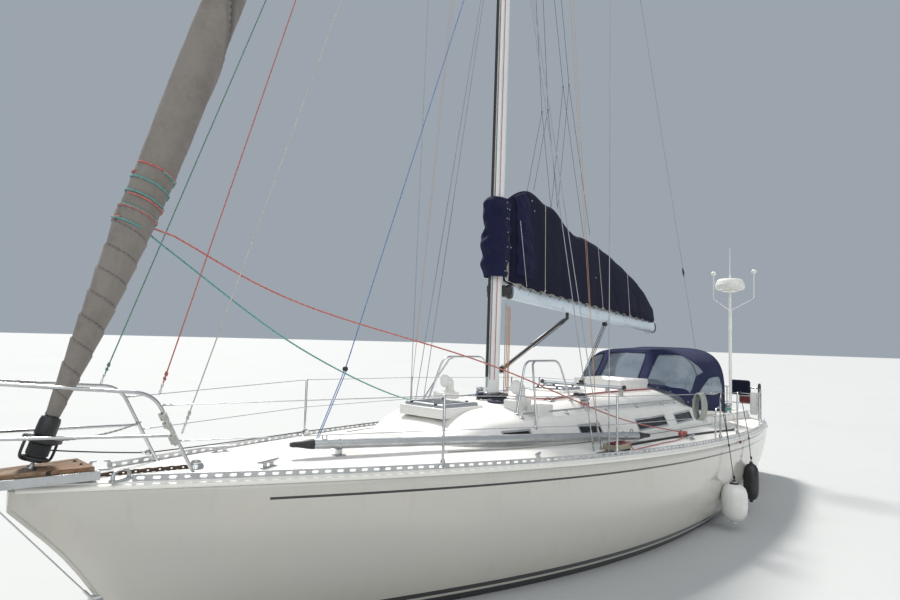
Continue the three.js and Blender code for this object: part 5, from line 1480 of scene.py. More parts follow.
def make_teak(name, colour, along, plank):
    """Weathered teak: grain along one axis, and dark seams between planks."""
    material, tree, shader = start(name, colour, 0.72)
    place = tree.nodes.new("ShaderNodeTexCoord")
    stretch = node(tree, "ShaderNodeMapping")
    stretch.inputs["Scale"].default_value = [0.07 if k == along else 1.0 for k in range(3)]
    tree.links.new(place.outputs["Object"], stretch.inputs["Vector"])
    grain = node(tree, "ShaderNodeTexNoise", Scale=130.0, Detail=6.0, Roughness=0.65)
    tree.links.new(stretch.outputs[0], grain.inputs["Vector"])
    film = effect(tree, "weathering", Colour=colour, Stain=(0.34, 0.3, 0.25), Scale=4.0, Amount=0.7)
    dark = shade(colour, 0.42)
    wood = mixed(tree, band(tree, grain.outputs[0], 0.38, 0.66), film.outputs["Colour"], dark)
    if plank:
        parts = tree.nodes.new("ShaderNodeSeparateXYZ")
        tree.links.new(place.outputs["Object"], parts.inputs[0])
        across = parts.outputs[1 if along == 0 else 2]
        step = maths(tree, "PINGPONG", maths(tree, "ADD", across, 20.0), plank / 2)
        wood = mixed(tree, maths(tree, "LESS_THAN", step, 0.0022), wood, (0.03, 0.025, 0.02))
    tree.links.new(wood, shader.inputs["Base Color"])
    bump(tree, shader, grain.outputs[0], 0.0015, 0.6)
    return material


smoked_glass = smoky("smoked_acrylic", (0.010, 0.011, 0.013), 0.2, 0.1)
hatch_glass = smoky("hatch_acrylic", (0.05, 0.047, 0.044), 0.1, 0.3)
teak_plank = make_teak("teak_plank", (0.30, 0.17, 0.085), 0, 0.062)
teak_board = make_teak("teak_board", (0.34, 0.19, 0.09), 1, 0)
dress("cabin_windows_port", smoked_glass)
dress("cabin_windows_starboard", smoked_glass)
print("Acrylic and teak are ready.")

# %% [markdown]
# A thin metal frame lies round each window and hides the cut edge. It could be swept
# along the outline like a tube, but real frames are flat strips. A flat ring is laid on
# the sloping side of the coachroof and is then given its thickness.

# %% Window frames
def side_y(s, z):
    """The sloping side of the coachroof at a place and height."""
    half, shoulder = TRUNK["half"](s), TRUNK["shoulder"](s)
    low = min(shoulder - SIDE_LOW, deck_height(s, half) - 0.01)
    high = shoulder - SIDE_HIGH - 0.02
    return half + (half - SIDE_LEAN + 0.010 - half) * (z - low) / (high - low)


def window_frame(row, side):
    """A rounded ring on the side, its lip turned in against the pane."""
    rings = []
    for grow, out in (
        (0.022, -0.002), (0.021, 0.004), (0.016, 0.0065), (0.002, 0.0065), (-0.003, 0.003), (-0.003, -0.01),
    ):
        rings.append([at(s, side * (side_y(s, z) + out), z) for s, z in window_outline(row, grow)])
    return lattice("frame", [list(p) for p in zip(*rings)] + [[ring[0] for ring in rings]])


window_frames = joined("window_frames", [window_frame(row, side) for row in WINDOWS for side in (1, -1)])
fit(smooth(thickened(weld(window_frames), 0.002, -1), 40), alloy)
print(f"{len(WINDOWS) * 2} window frames lie on the coachroof's sides.")

# %% [markdown]
# A deck hatch is a square lens of smoked acrylic in a cast aluminium frame, on two
# hinges at its forward edge and held down by two handles. The lid opens, so all that
# lifts with it rides on its own body, and the low frame below it stays on the roof.

# %% Deck hatches
def hatch_lid(name, hatch, lens_in, body):
    s, half, seat, rise = hatch["s"], hatch["half"], hatch["seat"] + 0.0006, hatch["rise"]
    corners = [(s - half, -half), (s - half, half), (s + half, half), (s + half, -half)]
    inner = [(a + (lens_in if a < s else -lens_in), b + (lens_in if b < 0 else -lens_in)) for a, b in corners]

    def ring(points, radius, z):
        return [at(a, b, z) for a, b in rounded_outline(points, radius, 6)]

    def grown(points, by):
        return [(a + (-by if a < s else by), b + (-by if b < 0 else by)) for a, b in points]

    rows = [
        ring(inner, 0.03, seat), ring(corners, 0.045, seat), ring(corners, 0.045, seat + rise * 0.45),
        ring(grown(corners, -0.006), 0.042, seat + rise * 0.75),
        ring(grown(corners, -0.018), 0.036, seat + rise), ring(grown(inner, 0.004), 0.03, seat + rise),
        ring(inner, 0.03, seat + rise - 0.004), ring(inner, 0.03, seat),
    ]
    frame_ring = weld(lattice(name + "_frame", rows, closed=True))
    fit(smooth(frame_ring, 32), alloy, body)
    lens_rows = [
        ring(grown(inner, -0.0006), 0.03, seat + 0.012),
        ring(grown(inner, -0.0006), 0.03, seat + rise - 0.007),
        ring(grown(inner, -0.012), 0.025, seat + rise - 0.003),
        ring(grown(inner, -0.1), 0.02, seat + rise - 0.0015),
    ]
    lens = fit(loft(name + "_lens", lens_rows), hatch_glass, body, [name])
    parts = []
    for side in (1, -1):
        y = side * half * 0.62
        parts.append(
            deck_block(
                "hinge", s - half + 0.002, s - half + 0.05, y - 0.02, y + 0.02, seat + 0.004,
                seat + rise + 0.006, 0.006,
            )
        )
        parts.append(
            turned(
                "handle", [(12, 0), (19, 4), (17, 12), (4, 14)],
                at(s + half - 0.085, y, seat + rise - 0.003),
            )
        )
        parts.append(
            deck_block(
                "grip", s + half - 0.1, s + half - 0.03, y - 0.008, y + 0.008, seat - 0.004, seat + 0.007,
                0.003,
            )
        )
    fit(joined(name + "_fittings", parts), black_plastic, body)
    return lens


hatch_lid("fore_hatch", FORE_HATCH, 0.055, "fore_hatch")
hatch_lid("saloon_hatch", SALOON_HATCH, 0.05, "saloon_hatch")
print("Two hatches open on their forward edges.")

# %% [markdown]
# The hatch frames that stay on the roof are thin flanges with screws round them.

# %% Hatch flanges
def hatch_flange(hatch):
    s, half, seat = hatch["s"], hatch["half"], hatch["seat"]
    flange = ring_block("flange", s + 0.016, half + 0.016, half - 0.03, seat - 0.006, seat + 0.0004)
    screws = []
    for k in range(5):
        for side in (1, -1):
            offset = (k - 2) * half * 0.42
            for a, b in ((s + offset, side * (half + 0.008)), (s + half + 0.022, offset + side * 0.02)):
                screws.append(turned("screw", [(6, -2), (6, 1.2), (3, 2)], at(a, b, seat), sides=10))
    return joined("flange", [flange, *screws])


fit(joined("hatch_flanges", [hatch_flange(FORE_HATCH), hatch_flange(SALOON_HATCH)]), alloy)

sole = deck_block("cabin_sole", 2.4, 8.95, -0.62, 0.62, -0.14, -0.10, 0.01)
fit(sole, teak_board)
print("The cabin sole is seen through the open hatches.")

# %% [markdown]
# The companionway is closed by a sliding hatch that runs forward under the hood, and by
# teak washboards dropped in from above. The cockpit, its lids and the boards keep the
# CAD's forms, with their hard edges rounded as laminate and wood need.

# %% Companionway and cockpit
slide = softened("companion_slide", "companion_slide_lid", 0.006, 40)
fit(slide, moulded_white, "companion_slide", ["companion_slide"])

boards = [
    deck_block("board", 8.9425, 8.9635, -0.2835, 0.2835, low, low + 0.196, 0.004)
    for low in (1.203, 1.401, 1.599)
]
fit(joined("washboard_set", boards), teak_board, replaces=["washboards"])

cockpit = softened("cockpit", "cockpit_moulding", 0.014, 40)
fit(cockpit, roof_paint, replaces=["cockpit"])
for side, label in SIDES:
    lid = softened("locker_lid_" + label, "locker_top_" + label, 0.005, 40)
    fit(lid, roof_paint, "locker_lid_" + label, ["locker_lid_" + label])
    hasp_low, hasp_high = sorted((side * 0.452, side * 0.482))
    hasp = deck_block("hasp", 9.92, 9.98, hasp_low, hasp_high, 0.7055, 0.7095, 0.0015)
    fit(hasp, steel, "locker_lid_" + label)
    hasp.name = "locker_hasp_" + label
print("The companionway and cockpit are dressed.")

# %% [markdown]
# The bow platform is a welded aluminium tray that carries the anchor roller ahead of
# the stem, with a teak plank to stand on. Its joint with the stem shows bolts, and the
# plank has two dark ones at its after end.

# %% Bow platform, plank and roller
def bolt(place, axis=(0, 0, 1), size=1.0):
    """A washer with a domed nut."""
    return revolved("bolt", [
        (0.014 * size, -0.002), (0.014 * size, 0.0015 * size), (0.009 * size, 0.002 * size),
        (0.009 * size, 0.007 * size), (0.006 * size, 0.0105 * size), (0.001, 0.0115 * size),
    ], place, axis, sides=12)


platform = softened("bow_platform", "bow_tray", 0.004, 30)
fit(platform, alloy, replaces=["bow_platform"])

PLANK_TOP, PLATE_TOP = 1.498, 1.468
plank = softened("bow_plank", "bow_teak", 0.006, 30)
fit(plank, teak_plank, replaces=["bow_plank"])
plank_bolts = [bolt(at(s, y, PLANK_TOP - 0.001)) for s in (-0.13, 0.12, 0.39) for y in (0.07, -0.07)]
fit(joined("plank_bolts", plank_bolts), black_plastic)
tray_bolts = [bolt(at(s, side * (0.185 + (s - 0.2) * 0.09), PLATE_TOP - 0.002), size=0.8)
              for s in (0.24, 0.34, 0.44) for side in (1, -1)]
fit(joined("tray_bolts", tray_bolts), steel)

ROLLER_PLACE = at(-0.265, 0, 1.395)
roller = revolved("chain_roller", [
    (0.009, -0.038), (0.040, -0.038), (0.042, -0.034), (0.041, -0.026), (0.032, -0.010), (0.0302, 0.0),
    (0.032, 0.010), (0.041, 0.026), (0.042, 0.034), (0.040, 0.038), (0.009, 0.038),
], ROLLER_PLACE, (0, 1, 0), 36)
fit(roller, black_plastic, "bow_roller", ["bow_roller"])
pin_heads = [
    turned("head", [(13, 0), (14, 4), (6, 8)], at(-0.265, side * 0.0685, 1.395), (0, side, 0), 14)
    for side in (1, -1)
]
fit(joined("roller_pin_heads", pin_heads), steel)
print("The bow platform carries its roller and plank.")

# %% [markdown]
# The bobstay holds the platform down against the pull of the forestay. It is a pair of
# wires from the platform to an eye low on the stem, with a swaged terminal at each end.

# %% Bobstay
def wire(name, start_at, end_at, radius, terminal=0.0, sides=10):
    """A straight wire with a thicker swaged sleeve at each end."""
    start_at, end_at = Vector(start_at), Vector(end_at)
    way = (end_at - start_at).normalized()
    if not terminal:
        return tube(name, [start_at, end_at], radius, sides)
    thick = radius * 2.1
    line = [start_at, start_at + way * terminal * 0.9, start_at + way * terminal,
            end_at - way * terminal, end_at - way * terminal * 0.9, end_at]
    return tube(name, line, [thick, thick, radius, radius, thick, thick], sides)


stay_wires = [
    wire("wire", at(0.54, side * 0.014, 0.545), at(-0.175, side * 0.014, 1.412), 0.005, 0.09)
    for side in (1, -1)
]
eye = deck_block("eye", 0.512, 0.60, -0.024, 0.024, 0.52, 0.57, 0.008)
clevis = deck_block("clevis", -0.193, -0.157, -0.023, 0.023, 1.385, 1.4075, 0.006)
pins = [
    turned("pin", [(8, -32), (8, 32)], at(0.535, 0, 0.548), (0, 1, 0), 12),
    turned("pin", [(6, -30), (6, 30)], at(-0.175, 0, 1.396), (0, 1, 0), 12),
]
fit(joined("bobstay_wires", [*stay_wires, eye, clevis, *pins]), steel, replaces=["bobstay"])
print("The bobstay is", round((at(0.54, 0, 0.545) - at(-0.175, 0, 1.412)).length, 2), "m long.")

# %% [markdown]
# On the foredeck stand the mooring cleats, the chocks that lead lines over the rail,
# and the pipe that the rusty anchor chain drops into. Chain is one link repeated: every
# second link is turned a quarter, and the links follow the deck.

# %% Cleats, chocks and chain
def cleat(place, length, turn, across=0.0):
    """A two-legged cleat with tapered horns."""
    half = length / 2
    horn = tube("horn", [
        (-half, 0, 0.052), (-half * 0.55, 0, 0.047), (0, 0, 0.045), (half * 0.55, 0, 0.047), (half, 0, 0.052),
    ], [0.006, 0.012, 0.0145, 0.012, 0.006], 12)
    legs = [
        block("leg", (x - 0.016, -0.011, 0), (x + 0.016, 0.011, 0.045), 0.006)
        for x in (-half * 0.32, half * 0.32)
    ]
    base = block("base", (-half * 0.62, -0.021, 0), (half * 0.62, 0.021, 0.009), 0.004)
    whole = joined("cleat", [horn, *legs, base])
    whole.data.transform(
        Matrix.Translation(place) @ Matrix.Rotation(turn, 4, "Z") @ Matrix.Rotation(across, 4, "X")
    )
    return whole


def on_deck(s, y, up=0.0):
    return at(s, y, deck_height(s, y) + up)


CLEATS = [(1.62, 0.40, 0.30), (11.62, 0.93, 0.16), (7.05, 1.62, 0.08)]
cleats = [cleat(on_deck(s, side * y, -0.001), 0.24 if s > 7 or s < 6 else 0.2, side * turn)
          for s, y, turn in CLEATS for side in (1, -1)]
fit(smooth(joined("mooring_cleats", cleats), 40), alloy)


def chock(s, side):
    """A bow chock: a low base with two horns that curve in over the line."""
    y = HULL["half"](s) - 0.05
    foot = Vector(at(s, side * y, deck_height(s, y) - 0.002))
    base = block("base", (-0.085, -0.022, 0), (0.085, 0.022, 0.022), 0.008)
    horns = [tube("horn", [(x, 0, 0.01), (x, 0, 0.045), (x * 0.8, 0, 0.068), (x * 0.35, 0, 0.074)],
                  [0.016, 0.014, 0.011, 0.007], 10) for x in (-0.066, 0.066)]
    whole = joined("chock", [base, *horns])
    way = math.atan2(-side * (HULL["half"](s + 0.1) - HULL["half"](s - 0.1)), 0.2)
    whole.data.transform(Matrix.Translation(foot) @ Matrix.Rotation(-way, 4, "Z"))
    return whole


fit(smooth(joined("bow_chocks", [chock(0.60, 1), chock(0.60, -1)]), 40), alloy)


def chain(name, route, wire_r, pitch):
    """Links along a line, each second one turned a quarter."""
    line = evenly(route, pitch)
    points, faces = [], []
    steps, sides = 12, 6
    frames = carried_frames(line)
    for k, (a, b) in enumerate(zip(line, line[1:])):
        middle, way = (a + b) / 2, (b - a).normalized()
        across, other = frames[k]
        if k % 2:
            across, other = other, across
        ring = []
        for j in range(steps):
            angle = 2 * math.pi * j / steps
            stretch = pitch * 0.36 if abs(math.cos(angle)) > 1e-6 else 0
            c, s_ = math.cos(angle), math.sin(angle)
            ring.append((
                middle + way * (math.copysign(stretch, c) + c * wire_r * 1.7) + across * s_ * wire_r * 1.75,
                way * c + across * s_,
            ))
        base = len(points)
        for p, outwards in ring:
            for i in range(sides):
                t = 2 * math.pi * i / sides
                points.append(p + (outwards * math.cos(t) + other * math.sin(t)) * wire_r)
        for j in range(steps):
            for i in range(sides):
                faces.append((
                    base + j * sides + i, base + j * sides + (i + 1) % sides,
                    base + ((j + 1) % steps) * sides + (i + 1) % sides, base + ((j + 1) % steps) * sides + i,
                ))
    return smooth(weld(new_mesh(name, points, faces), 0), 60)


CHAIN_PLACES = ((0.52, 0.065), (0.60, 0.072), (0.72, 0.085), (0.9, 0.11), (1.04, 0.135), (1.12, 0.15))
chain_route = [on_deck(s, y, 0.012) for s, y in CHAIN_PLACES]
fit(chain("anchor_chain", flowing(chain_route), 0.0075, 0.040), rusty)
pipe = joined("chain_pipe", [
    turned("collar", [(62, -2), (60, 12), (48, 30), (36, 34)], on_deck(1.15, 0.155), (0, 0, 1), 24),
    turned("cap", [(38, 30), (40, 42), (26, 56), (2, 60)], on_deck(1.15, 0.155), (0, 0, 1), 24),
])
fit(pipe, steel)
print("The foredeck has cleats, chocks and chain.")

# %% [markdown]
# The rails are stainless tube, bent cold and welded. A tube keeps its round section
# through each bend, which is why they are swept rings, not straight cylinders that
# are joined at the corners. Bases, welds and wire terminals are their own small rings.

# %% Pulpit
RAIL_R = 0.013


def base_plate(s, y, radius=0.034):
    """A round foot with three screws where a rail stands on the deck."""
    foot = on_deck(s, y)
    parts = [
        revolved(
            "foot",
            [(radius, -0.002), (radius, 0.004), (radius * 0.6, 0.008), (0.0165, 0.02), (0.0135, 0.022)],
            foot, sides=20,
        )
    ]
    for k in range(3):
        angle = 2 * math.pi * k / 3 + 0.5
        spot = foot + Vector((math.cos(angle), math.sin(angle), 0)) * radius * 0.72
        parts.append(turned("screw", [(4.5, 2), (4.5, 7), (1, 8.5)], spot, sides=8))
    return parts


PULPIT_LEG, PULPIT_BEND = (1.06, 0.34), (0.74, 0.33, 1.985)
top_half = [
    at(PULPIT_LEG[0], PULPIT_LEG[1], deck_height(*PULPIT_LEG) - 0.002), at(*PULPIT_BEND),
    at(-0.25, 0.15, 2.08),
]
top_rail = cornered([*top_half, at(-0.38, 0, 2.09), *mirror(top_half[::-1])], 0.13, 8)
pulpit_parts = [tube("top", top_rail, RAIL_R, 14)]
for side in (1, -1):
    pulpit_parts.append(
        tube("mid", [at(0.885, side * 0.336, 1.68), at(-0.205, side * 0.156, 1.735)], 0.011, 12)
    )
    front = cornered(
        [
            at(-0.25, side * 0.151, 2.08), at(-0.205, side * 0.158, 1.735),
            at(-0.15, side * 0.118, PLATE_TOP - 0.002),
        ],
        0.12, 8,
    )
    pulpit_parts.append(tube("strut", front, RAIL_R, 12))
    pulpit_parts += base_plate(PULPIT_LEG[0], side * PULPIT_LEG[1])
    pulpit_parts.append(
        turned("foot", [(30, -2), (30, 4), (14, 14)], at(-0.15, side * 0.118, PLATE_TOP), sides=18)
    )
    for place in (
        at(0.885, side * 0.336, 1.68), at(-0.203, side * 0.157, 1.735), at(-0.25, side * 0.151, 2.08),
    ):
        pulpit_parts.append(
            turned("weld", [(2, -14), (12.8, -11), (14.5, 0), (12.8, 11), (2, 14)], place, (0, 1, 0), 12)
        )
fit(joined("pulpit_rails", pulpit_parts), steel, replaces=["pulpit"])
print("The pulpit's top rail is", round(length_of(top_rail), 2), "m long.")

# %% [markdown]
# The pushpit is the steel rail round the stern, the pulpit's counterpart. It is bent from
# long tubes, as the pulpit is. Its corners come from the hull's own width at each place,
# so the rail follows the deck's edge all the way round, on six posts.

# %% Pushpit
PUSH_FRONT, PUSH_SIDE, PUSH_BACK, PUSH_INSET = 10.64, 11.30, 11.96, 0.095
PUSH_TOP, PUSH_MID, PUSH_LEG_Y = 1.64, 1.33, 0.42


def push_corner(s, z, side, inset=PUSH_INSET):
    return at(s, side * (HULL["half"](s) - inset), z)


def push_route(z):
    side = [
        push_corner(PUSH_FRONT, z, 1), push_corner(PUSH_SIDE, z, 1),
        push_corner(PUSH_BACK, z, 1, PUSH_INSET + 0.035),
    ]
    return cornered([*side, *mirror(side[::-1])], 0.15, 8)


push_parts = [tube("rail", push_route(z), RAIL_R, 14) for z in (PUSH_TOP, PUSH_MID)]
for side in (1, -1):
    for s in (PUSH_FRONT, PUSH_SIDE):
        y = side * (HULL["half"](s) - PUSH_INSET)
        push_parts.append(tube("post", [on_deck(s, y, -0.002), at(s, y, PUSH_TOP)], RAIL_R, 12))
        push_parts += base_plate(s, y)
    y = side * PUSH_LEG_Y
    push_parts.append(tube("post", [on_deck(PUSH_BACK, y, -0.002), at(PUSH_BACK, y, PUSH_TOP)], RAIL_R, 12))
    push_parts += base_plate(PUSH_BACK, y)
fit(joined("pushpit_rails", push_parts), steel, replaces=["pushpit"])
print("The pushpit has two rails on six posts.")

# %% [markdown]
# The guardrails are two wires through posts. Each wire is a straight run between its
# holes, with a swaged terminal and a rigging screw where it meets the pushpit, so the
# wires are built from span to span.

# %% Guardrails
POST_PLACES = [2.93, 5.06, 7.65, 8.45]
POST_INSET, POST_HIGH, POST_R = 0.075, 0.63, 0.0125
WIRE_TOP, WIRE_LOW, HOOP_REACH, HOOP_RISE = 0.616, 0.315, 0.19, 0.43


def rail_foot(s, rise=0.0, side=1):
    y = HULL["half"](s) - POST_INSET
    return at(s, side * y, deck_height(s, y) + rise)


def rail_post(s, side):
    """A tube in a cast socket, with a cap and a ring at each wire."""
    foot = rail_foot(s, 0, side)
    parts = [
        tube("post", [foot + above(z) for z in (0.0, POST_HIGH - 0.006, POST_HIGH - 0.002)],
             [POST_R, POST_R, POST_R * 0.7], 14),
        turned("socket", [(36, -3), (36, 6), (24, 12), (20.5, 60), (18, 66), (13, 66)], foot, sides=20),
        turned("set_screw", [(4, 0), (4, 27), (1, 28)], foot + above(0.042), (0, side, 0), 8),
    ]
    for rise in (WIRE_TOP, WIRE_LOW):
        parts.append(
            turned("ring", [(8, -15), (9.5, -12), (9.5, 12), (8, 15)], foot + above(rise), (1, 0, 0), 12)
        )
    return parts


def wire_route(rise, pulpit_z, pushpit_z, side):
    leg_s = 1.06 + (0.74 - 1.06) * (pulpit_z - 1.3) / (1.985 - 1.3)
    return [
        at(leg_s + 0.013, side * 0.333, pulpit_z),
        *[rail_foot(s, rise, side) for s in POST_PLACES], push_corner(PUSH_FRONT - 0.014, pushpit_z, side),
    ]


def guard_wire(route):
    parts = [tube("wire", route, 0.004, 8)]
    for end, nearby, length in ((route[0], route[1], 0.10), (route[-1], route[-2], 0.26)):
        way = (nearby - end).normalized()
        parts.append(
            tube(
                "terminal",
                [
                    end, end + way * 0.02, end + way * 0.022, end + way * length * 0.6,
                    end + way * (length * 0.62), end + way * length,
                ],
                [0.0085, 0.0085, 0.0065, 0.0065, 0.0085, 0.0055], 10,
            )
        )
    return parts


for side, label in SIDES:
    parts = [piece for s in POST_PLACES for piece in rail_post(s, side)]
    for rise, pulpit_z, pushpit_z in ((WIRE_TOP, 1.90, PUSH_TOP - 0.02), (WIRE_LOW, 1.64, PUSH_MID + 0.026)):
        parts += guard_wire(wire_route(rise, pulpit_z, pushpit_z, side))
    hoop = cornered(
        [
            rail_foot(7.65, HOOP_RISE, side), rail_foot(7.65 - HOOP_REACH, HOOP_RISE, side),
            rail_foot(7.65 - HOOP_REACH, 0, side),
        ],
        0.15, 8,
    )
    parts.append(tube("hoop", hoop, 0.011, 12))
    hoop_y = side * (HULL["half"](7.65 - HOOP_REACH) - POST_INSET)
    parts += base_plate(7.65 - HOOP_REACH, hoop_y, 0.03)
    fit(joined("guardrail_wires_" + label, parts), steel, replaces=["guardrail_" + label])
print("Guardrails stand on", len(POST_PLACES), "posts a side.")

# %% [markdown]
# Grab rails and the mast guards are the same tube again. They are bolted to the roof,
# and each leg has its own round foot on the curved surface.

# %% Handrails and mast guards
HANDRAIL_PLACES = [4.45, 5.20, 6.00, 6.80, 7.60, 8.10]


def roof_height(s, y):
    """The roof's surface beside the centreline, from its own section."""
    ring = roof_half(s)
    y = abs(y)
    for (y0, z0), (y1, z1) in zip(ring, ring[1:]):
        if y1 <= y <= y0 and y0 > y1:
            return z0 + (z1 - z0) * (y0 - y) / (y0 - y1)
    return ring[-1][1] if y < ring[-1][0] else ring[0][1]


def on_roof(s, y, up=0.0):
    return at(s, y, roof_height(s, y) + up)


def roof_foot(s, y, radius=0.03):
    place = on_roof(s, y)
    slope = Vector(
        (0, (roof_height(s, abs(y) - 0.03) - roof_height(s, abs(y) + 0.03)) * math.copysign(1, y), 0.06)
    ).normalized()
    return revolved(
        "foot", [(radius, -0.006), (radius, 0.003), (radius * 0.55, 0.009), (0.0132, 0.012)], place, slope,
        18,
    )


for side, label in SIDES:
    def edge(s, rise):
        return at(s, side * (TRUNK["half"](s) - 0.15), TRUNK["shoulder"](s) + rise)

    top = flowing([edge(s, 0.075) for s in HANDRAIL_PLACES], 5)
    parts = [tube("rail", top, 0.0125, 12)]
    for s in HANDRAIL_PLACES:
        y = side * (TRUNK["half"](s) - 0.15)
        parts.append(tube("leg", [on_roof(s, y, -0.004), edge(s, 0.07)], 0.011, 10))
        parts.append(roof_foot(s, y))
    fit(joined("grab_rail_" + label, parts), steel, replaces=["handrail_" + label])

    guard = cornered([
        on_roof(4.48, side * 0.70, -0.004), at(4.70, side * 0.64, 2.20), at(5.45, side * 0.60, 2.20),
        on_roof(5.72, side * 0.62, -0.004),
    ], 0.12, 8)
    brace = [
        on_roof(4.56, side * 0.90, -0.004), at(4.56, side * 0.905, 1.58), at(4.82, side * 0.66, 2.16),
        at(4.90, side * 0.632, 2.20),
    ]
    parts = [tube("guard", guard, RAIL_R, 14), tube("brace", brace, 0.012, 12)]
    parts += [roof_foot(4.48, side * 0.70), roof_foot(5.72, side * 0.62), roof_foot(4.56, side * 0.90)]
    fit(joined("mast_guard_rail_" + label, parts), steel, replaces=["mast_guard_" + label])
print("Grab rails and mast guards are on the roof.")

# %% [markdown]
# The mast is an oval aluminium extrusion, painted white, that stands on the coachroof
# and tapers near its head. Spreaders hold the shrouds away from it. It is swept from
# ovals along its slight rake, and the fittings that the real one has riveted on are
# separate small pieces: the tracks, the collar at the foot and the boxes of sheaves.

# %% Mast
MAST_S, MAST_FOOT, MAST_HEAD = 4.90, 1.70, 17.0
MAST_FORE, MAST_SIDE, MAST_RAKE = 0.105, 0.072, 0.009
TAPER_FROM, MAST_TIP = 13.5, 0.72
PIN_S, PIN_Z = 4.9 + 0.178 + (3.06 - 1.7) * 0.009, 3.06


def mast_at(z, ahead=0.0, y=0.0):
    return at(MAST_S + (z - MAST_FOOT) * MAST_RAKE - ahead, y, z)


def mast_share(z):
    return 1.0 if z < TAPER_FROM else 1 + (MAST_TIP - 1) * (z - TAPER_FROM) / (MAST_HEAD - TAPER_FROM)


def mast_ring(z, grow=0.0, sides=36, share=None):
    share = mast_share(z) if share is None else share
    return [
        mast_at(z, (MAST_FORE * share + grow) * math.cos(t), (MAST_SIDE * share + grow) * math.sin(t))
        for t in circle(sides)
    ]


def mast_strip(name, z0, z1, ahead, y, wide, deep, steps=24):
    """A rectangular strip up the mast's front or back, such as a track."""
    rows = []
    sign = 1 if ahead > 0 else -1
    for k in range(steps + 1):
        z = z0 + (z1 - z0) * k / steps
        front = MAST_FORE * mast_share(z) * sign
        rows.append([mast_at(z, front + a, y + b) for a, b in (
            (-0.004 * sign, -wide / 2), (deep * sign * 0.8, -wide / 2), (deep * sign, -wide / 2 + 0.003),
            (deep * sign, wide / 2 - 0.003), (deep * sign * 0.8, wide / 2), (-0.004 * sign, wide / 2),
        )])
    return loft(name, rows)


mast_levels = [1.705, 1.9, 2.4, 3.0, 4.0, 5.5, 7.2, 8.7, 10.8, 12.9, 13.5, 14.0, 14.75, 15.5, 16.25, 17.0]
mast_tube = loft("mast_tube", [mast_ring(z) for z in mast_levels])
fit(mast_tube, spar_white, replaces=["mast"])
bands = []
for z, tall in ((8.70, 0.055), (12.90, 0.055)):
    bands.append(
        loft(
            "band",
            [
                mast_ring(z + up, grow)
                for up, grow in (
                    (-tall, 0.001), (-tall + 0.006, 0.010), (tall - 0.006, 0.010), (tall, 0.001),
                )
            ],
        )
    )
for z in (1.712, 1.76):
    bands.append(
        loft(
            "collar",
            [
                mast_ring(z + up, grow)
                for up, grow in (
                    (-0.012, 0.022 if z < 1.73 else 0.004), (0.004, 0.024 if z < 1.73 else 0.009),
                    (0.03, 0.009), (0.036, 0.001),
                )
            ],
        )
    )
fit(joined("mast_bands", bands), alloy)
fit(mast_strip("luff_track", 3.25, 16.85, -1, 0, 0.026, 0.012), grey_plastic)
fit(mast_strip("pole_track", 1.98, 9.2, 1, 0, 0.032, 0.014), black_plastic)
track_car = joined(
    "car",
    [
        block(
            "car", tuple(mast_at(3.02, MAST_FORE + 0.012, -0.03))[:2] + (2.96,),
            tuple(mast_at(3.02, MAST_FORE, 0.0))[:2] + (3.08,), 0.004,
        ),
        block(
            "car", tuple(mast_at(3.02, MAST_FORE + 0.036, -0.024)),
            tuple(mast_at(3.10, MAST_FORE + 0.010, 0.024)), 0.005,
        ),
    ],
)
fit(track_car, black_plastic)
print("The mast is", MAST_HEAD - MAST_FOOT, "m long.")

# %% [markdown]
# Spreaders hold the shrouds away from the mast, and the masthead takes the stays. A round
# tube would be simpler for a spreader, but real ones have a wing's section. A few rings
# of that section, each smaller than the last, give the taper.

# %% Spreaders and masthead
SPREADERS = ((8.70, 1.44, 0.06, 0.09), (12.90, 1.00, 0.045, 0.07))


def spreader(z, tip, sweep, rise, side):
    """An aerofoil tube from the mast to the shroud, swept aft and up."""
    rows = []
    for t, half, thick in (
        (0.035, 0.046, 0.015), (0.15, 0.046, 0.015), (0.9, 0.028, 0.011), (1, 0.026, 0.010),
    ):
        y = 0.04 + (tip - 0.04) * t
        centre = mast_at(z + rise * t, -sweep * t, side * y)
        rows.append([
            centre + Vector((half * math.cos(a), 0, thick * math.sin(a) * (1 - 0.35 * math.cos(a))))
            for a in circle(16)
        ])
    blade = loft("blade", rows)
    end = mast_at(z + rise, -sweep, side * tip)
    boot = turned("boot", [(4, -24), (16, -20), (20, 0), (16, 20), (4, 24)], end, (0, 0, 1), 14)
    return [blade, boot]


fit(
    joined("spreader_blades", [p for row in SPREADERS for side in (1, -1) for p in spreader(*row, side)]),
    spar_white,
)

HEAD_BOX_LOW, HEAD_BOX_HIGH = 16.93, 17.06
head_s = MAST_S + (HEAD_BOX_LOW - MAST_FOOT) * MAST_RAKE
head_box = cutter("masthead_box", [
    (head_s - 0.19, -0.036), (head_s - 0.19, 0.036), (head_s + 0.26, 0.036), (head_s + 0.26, -0.036),
], lambda s, y: at(s, y, HEAD_BOX_LOW), lambda s, y: at(s, y, HEAD_BOX_HIGH))
fit(smooth(rounded(head_box, 0.008), 40), spar_white)
sheaves = [
    turned(
        "sheave", [(10, -11), (34, -11), (30, -4), (30, 4), (34, 11), (10, 11)], mast_at(16.975, ahead, y),
        (0, 1, 0), 20,
    )
    for ahead in (0.165, -0.235) for y in (-0.015, 0.015)
]
fit(joined("masthead_sheaves", sheaves), black_plastic)

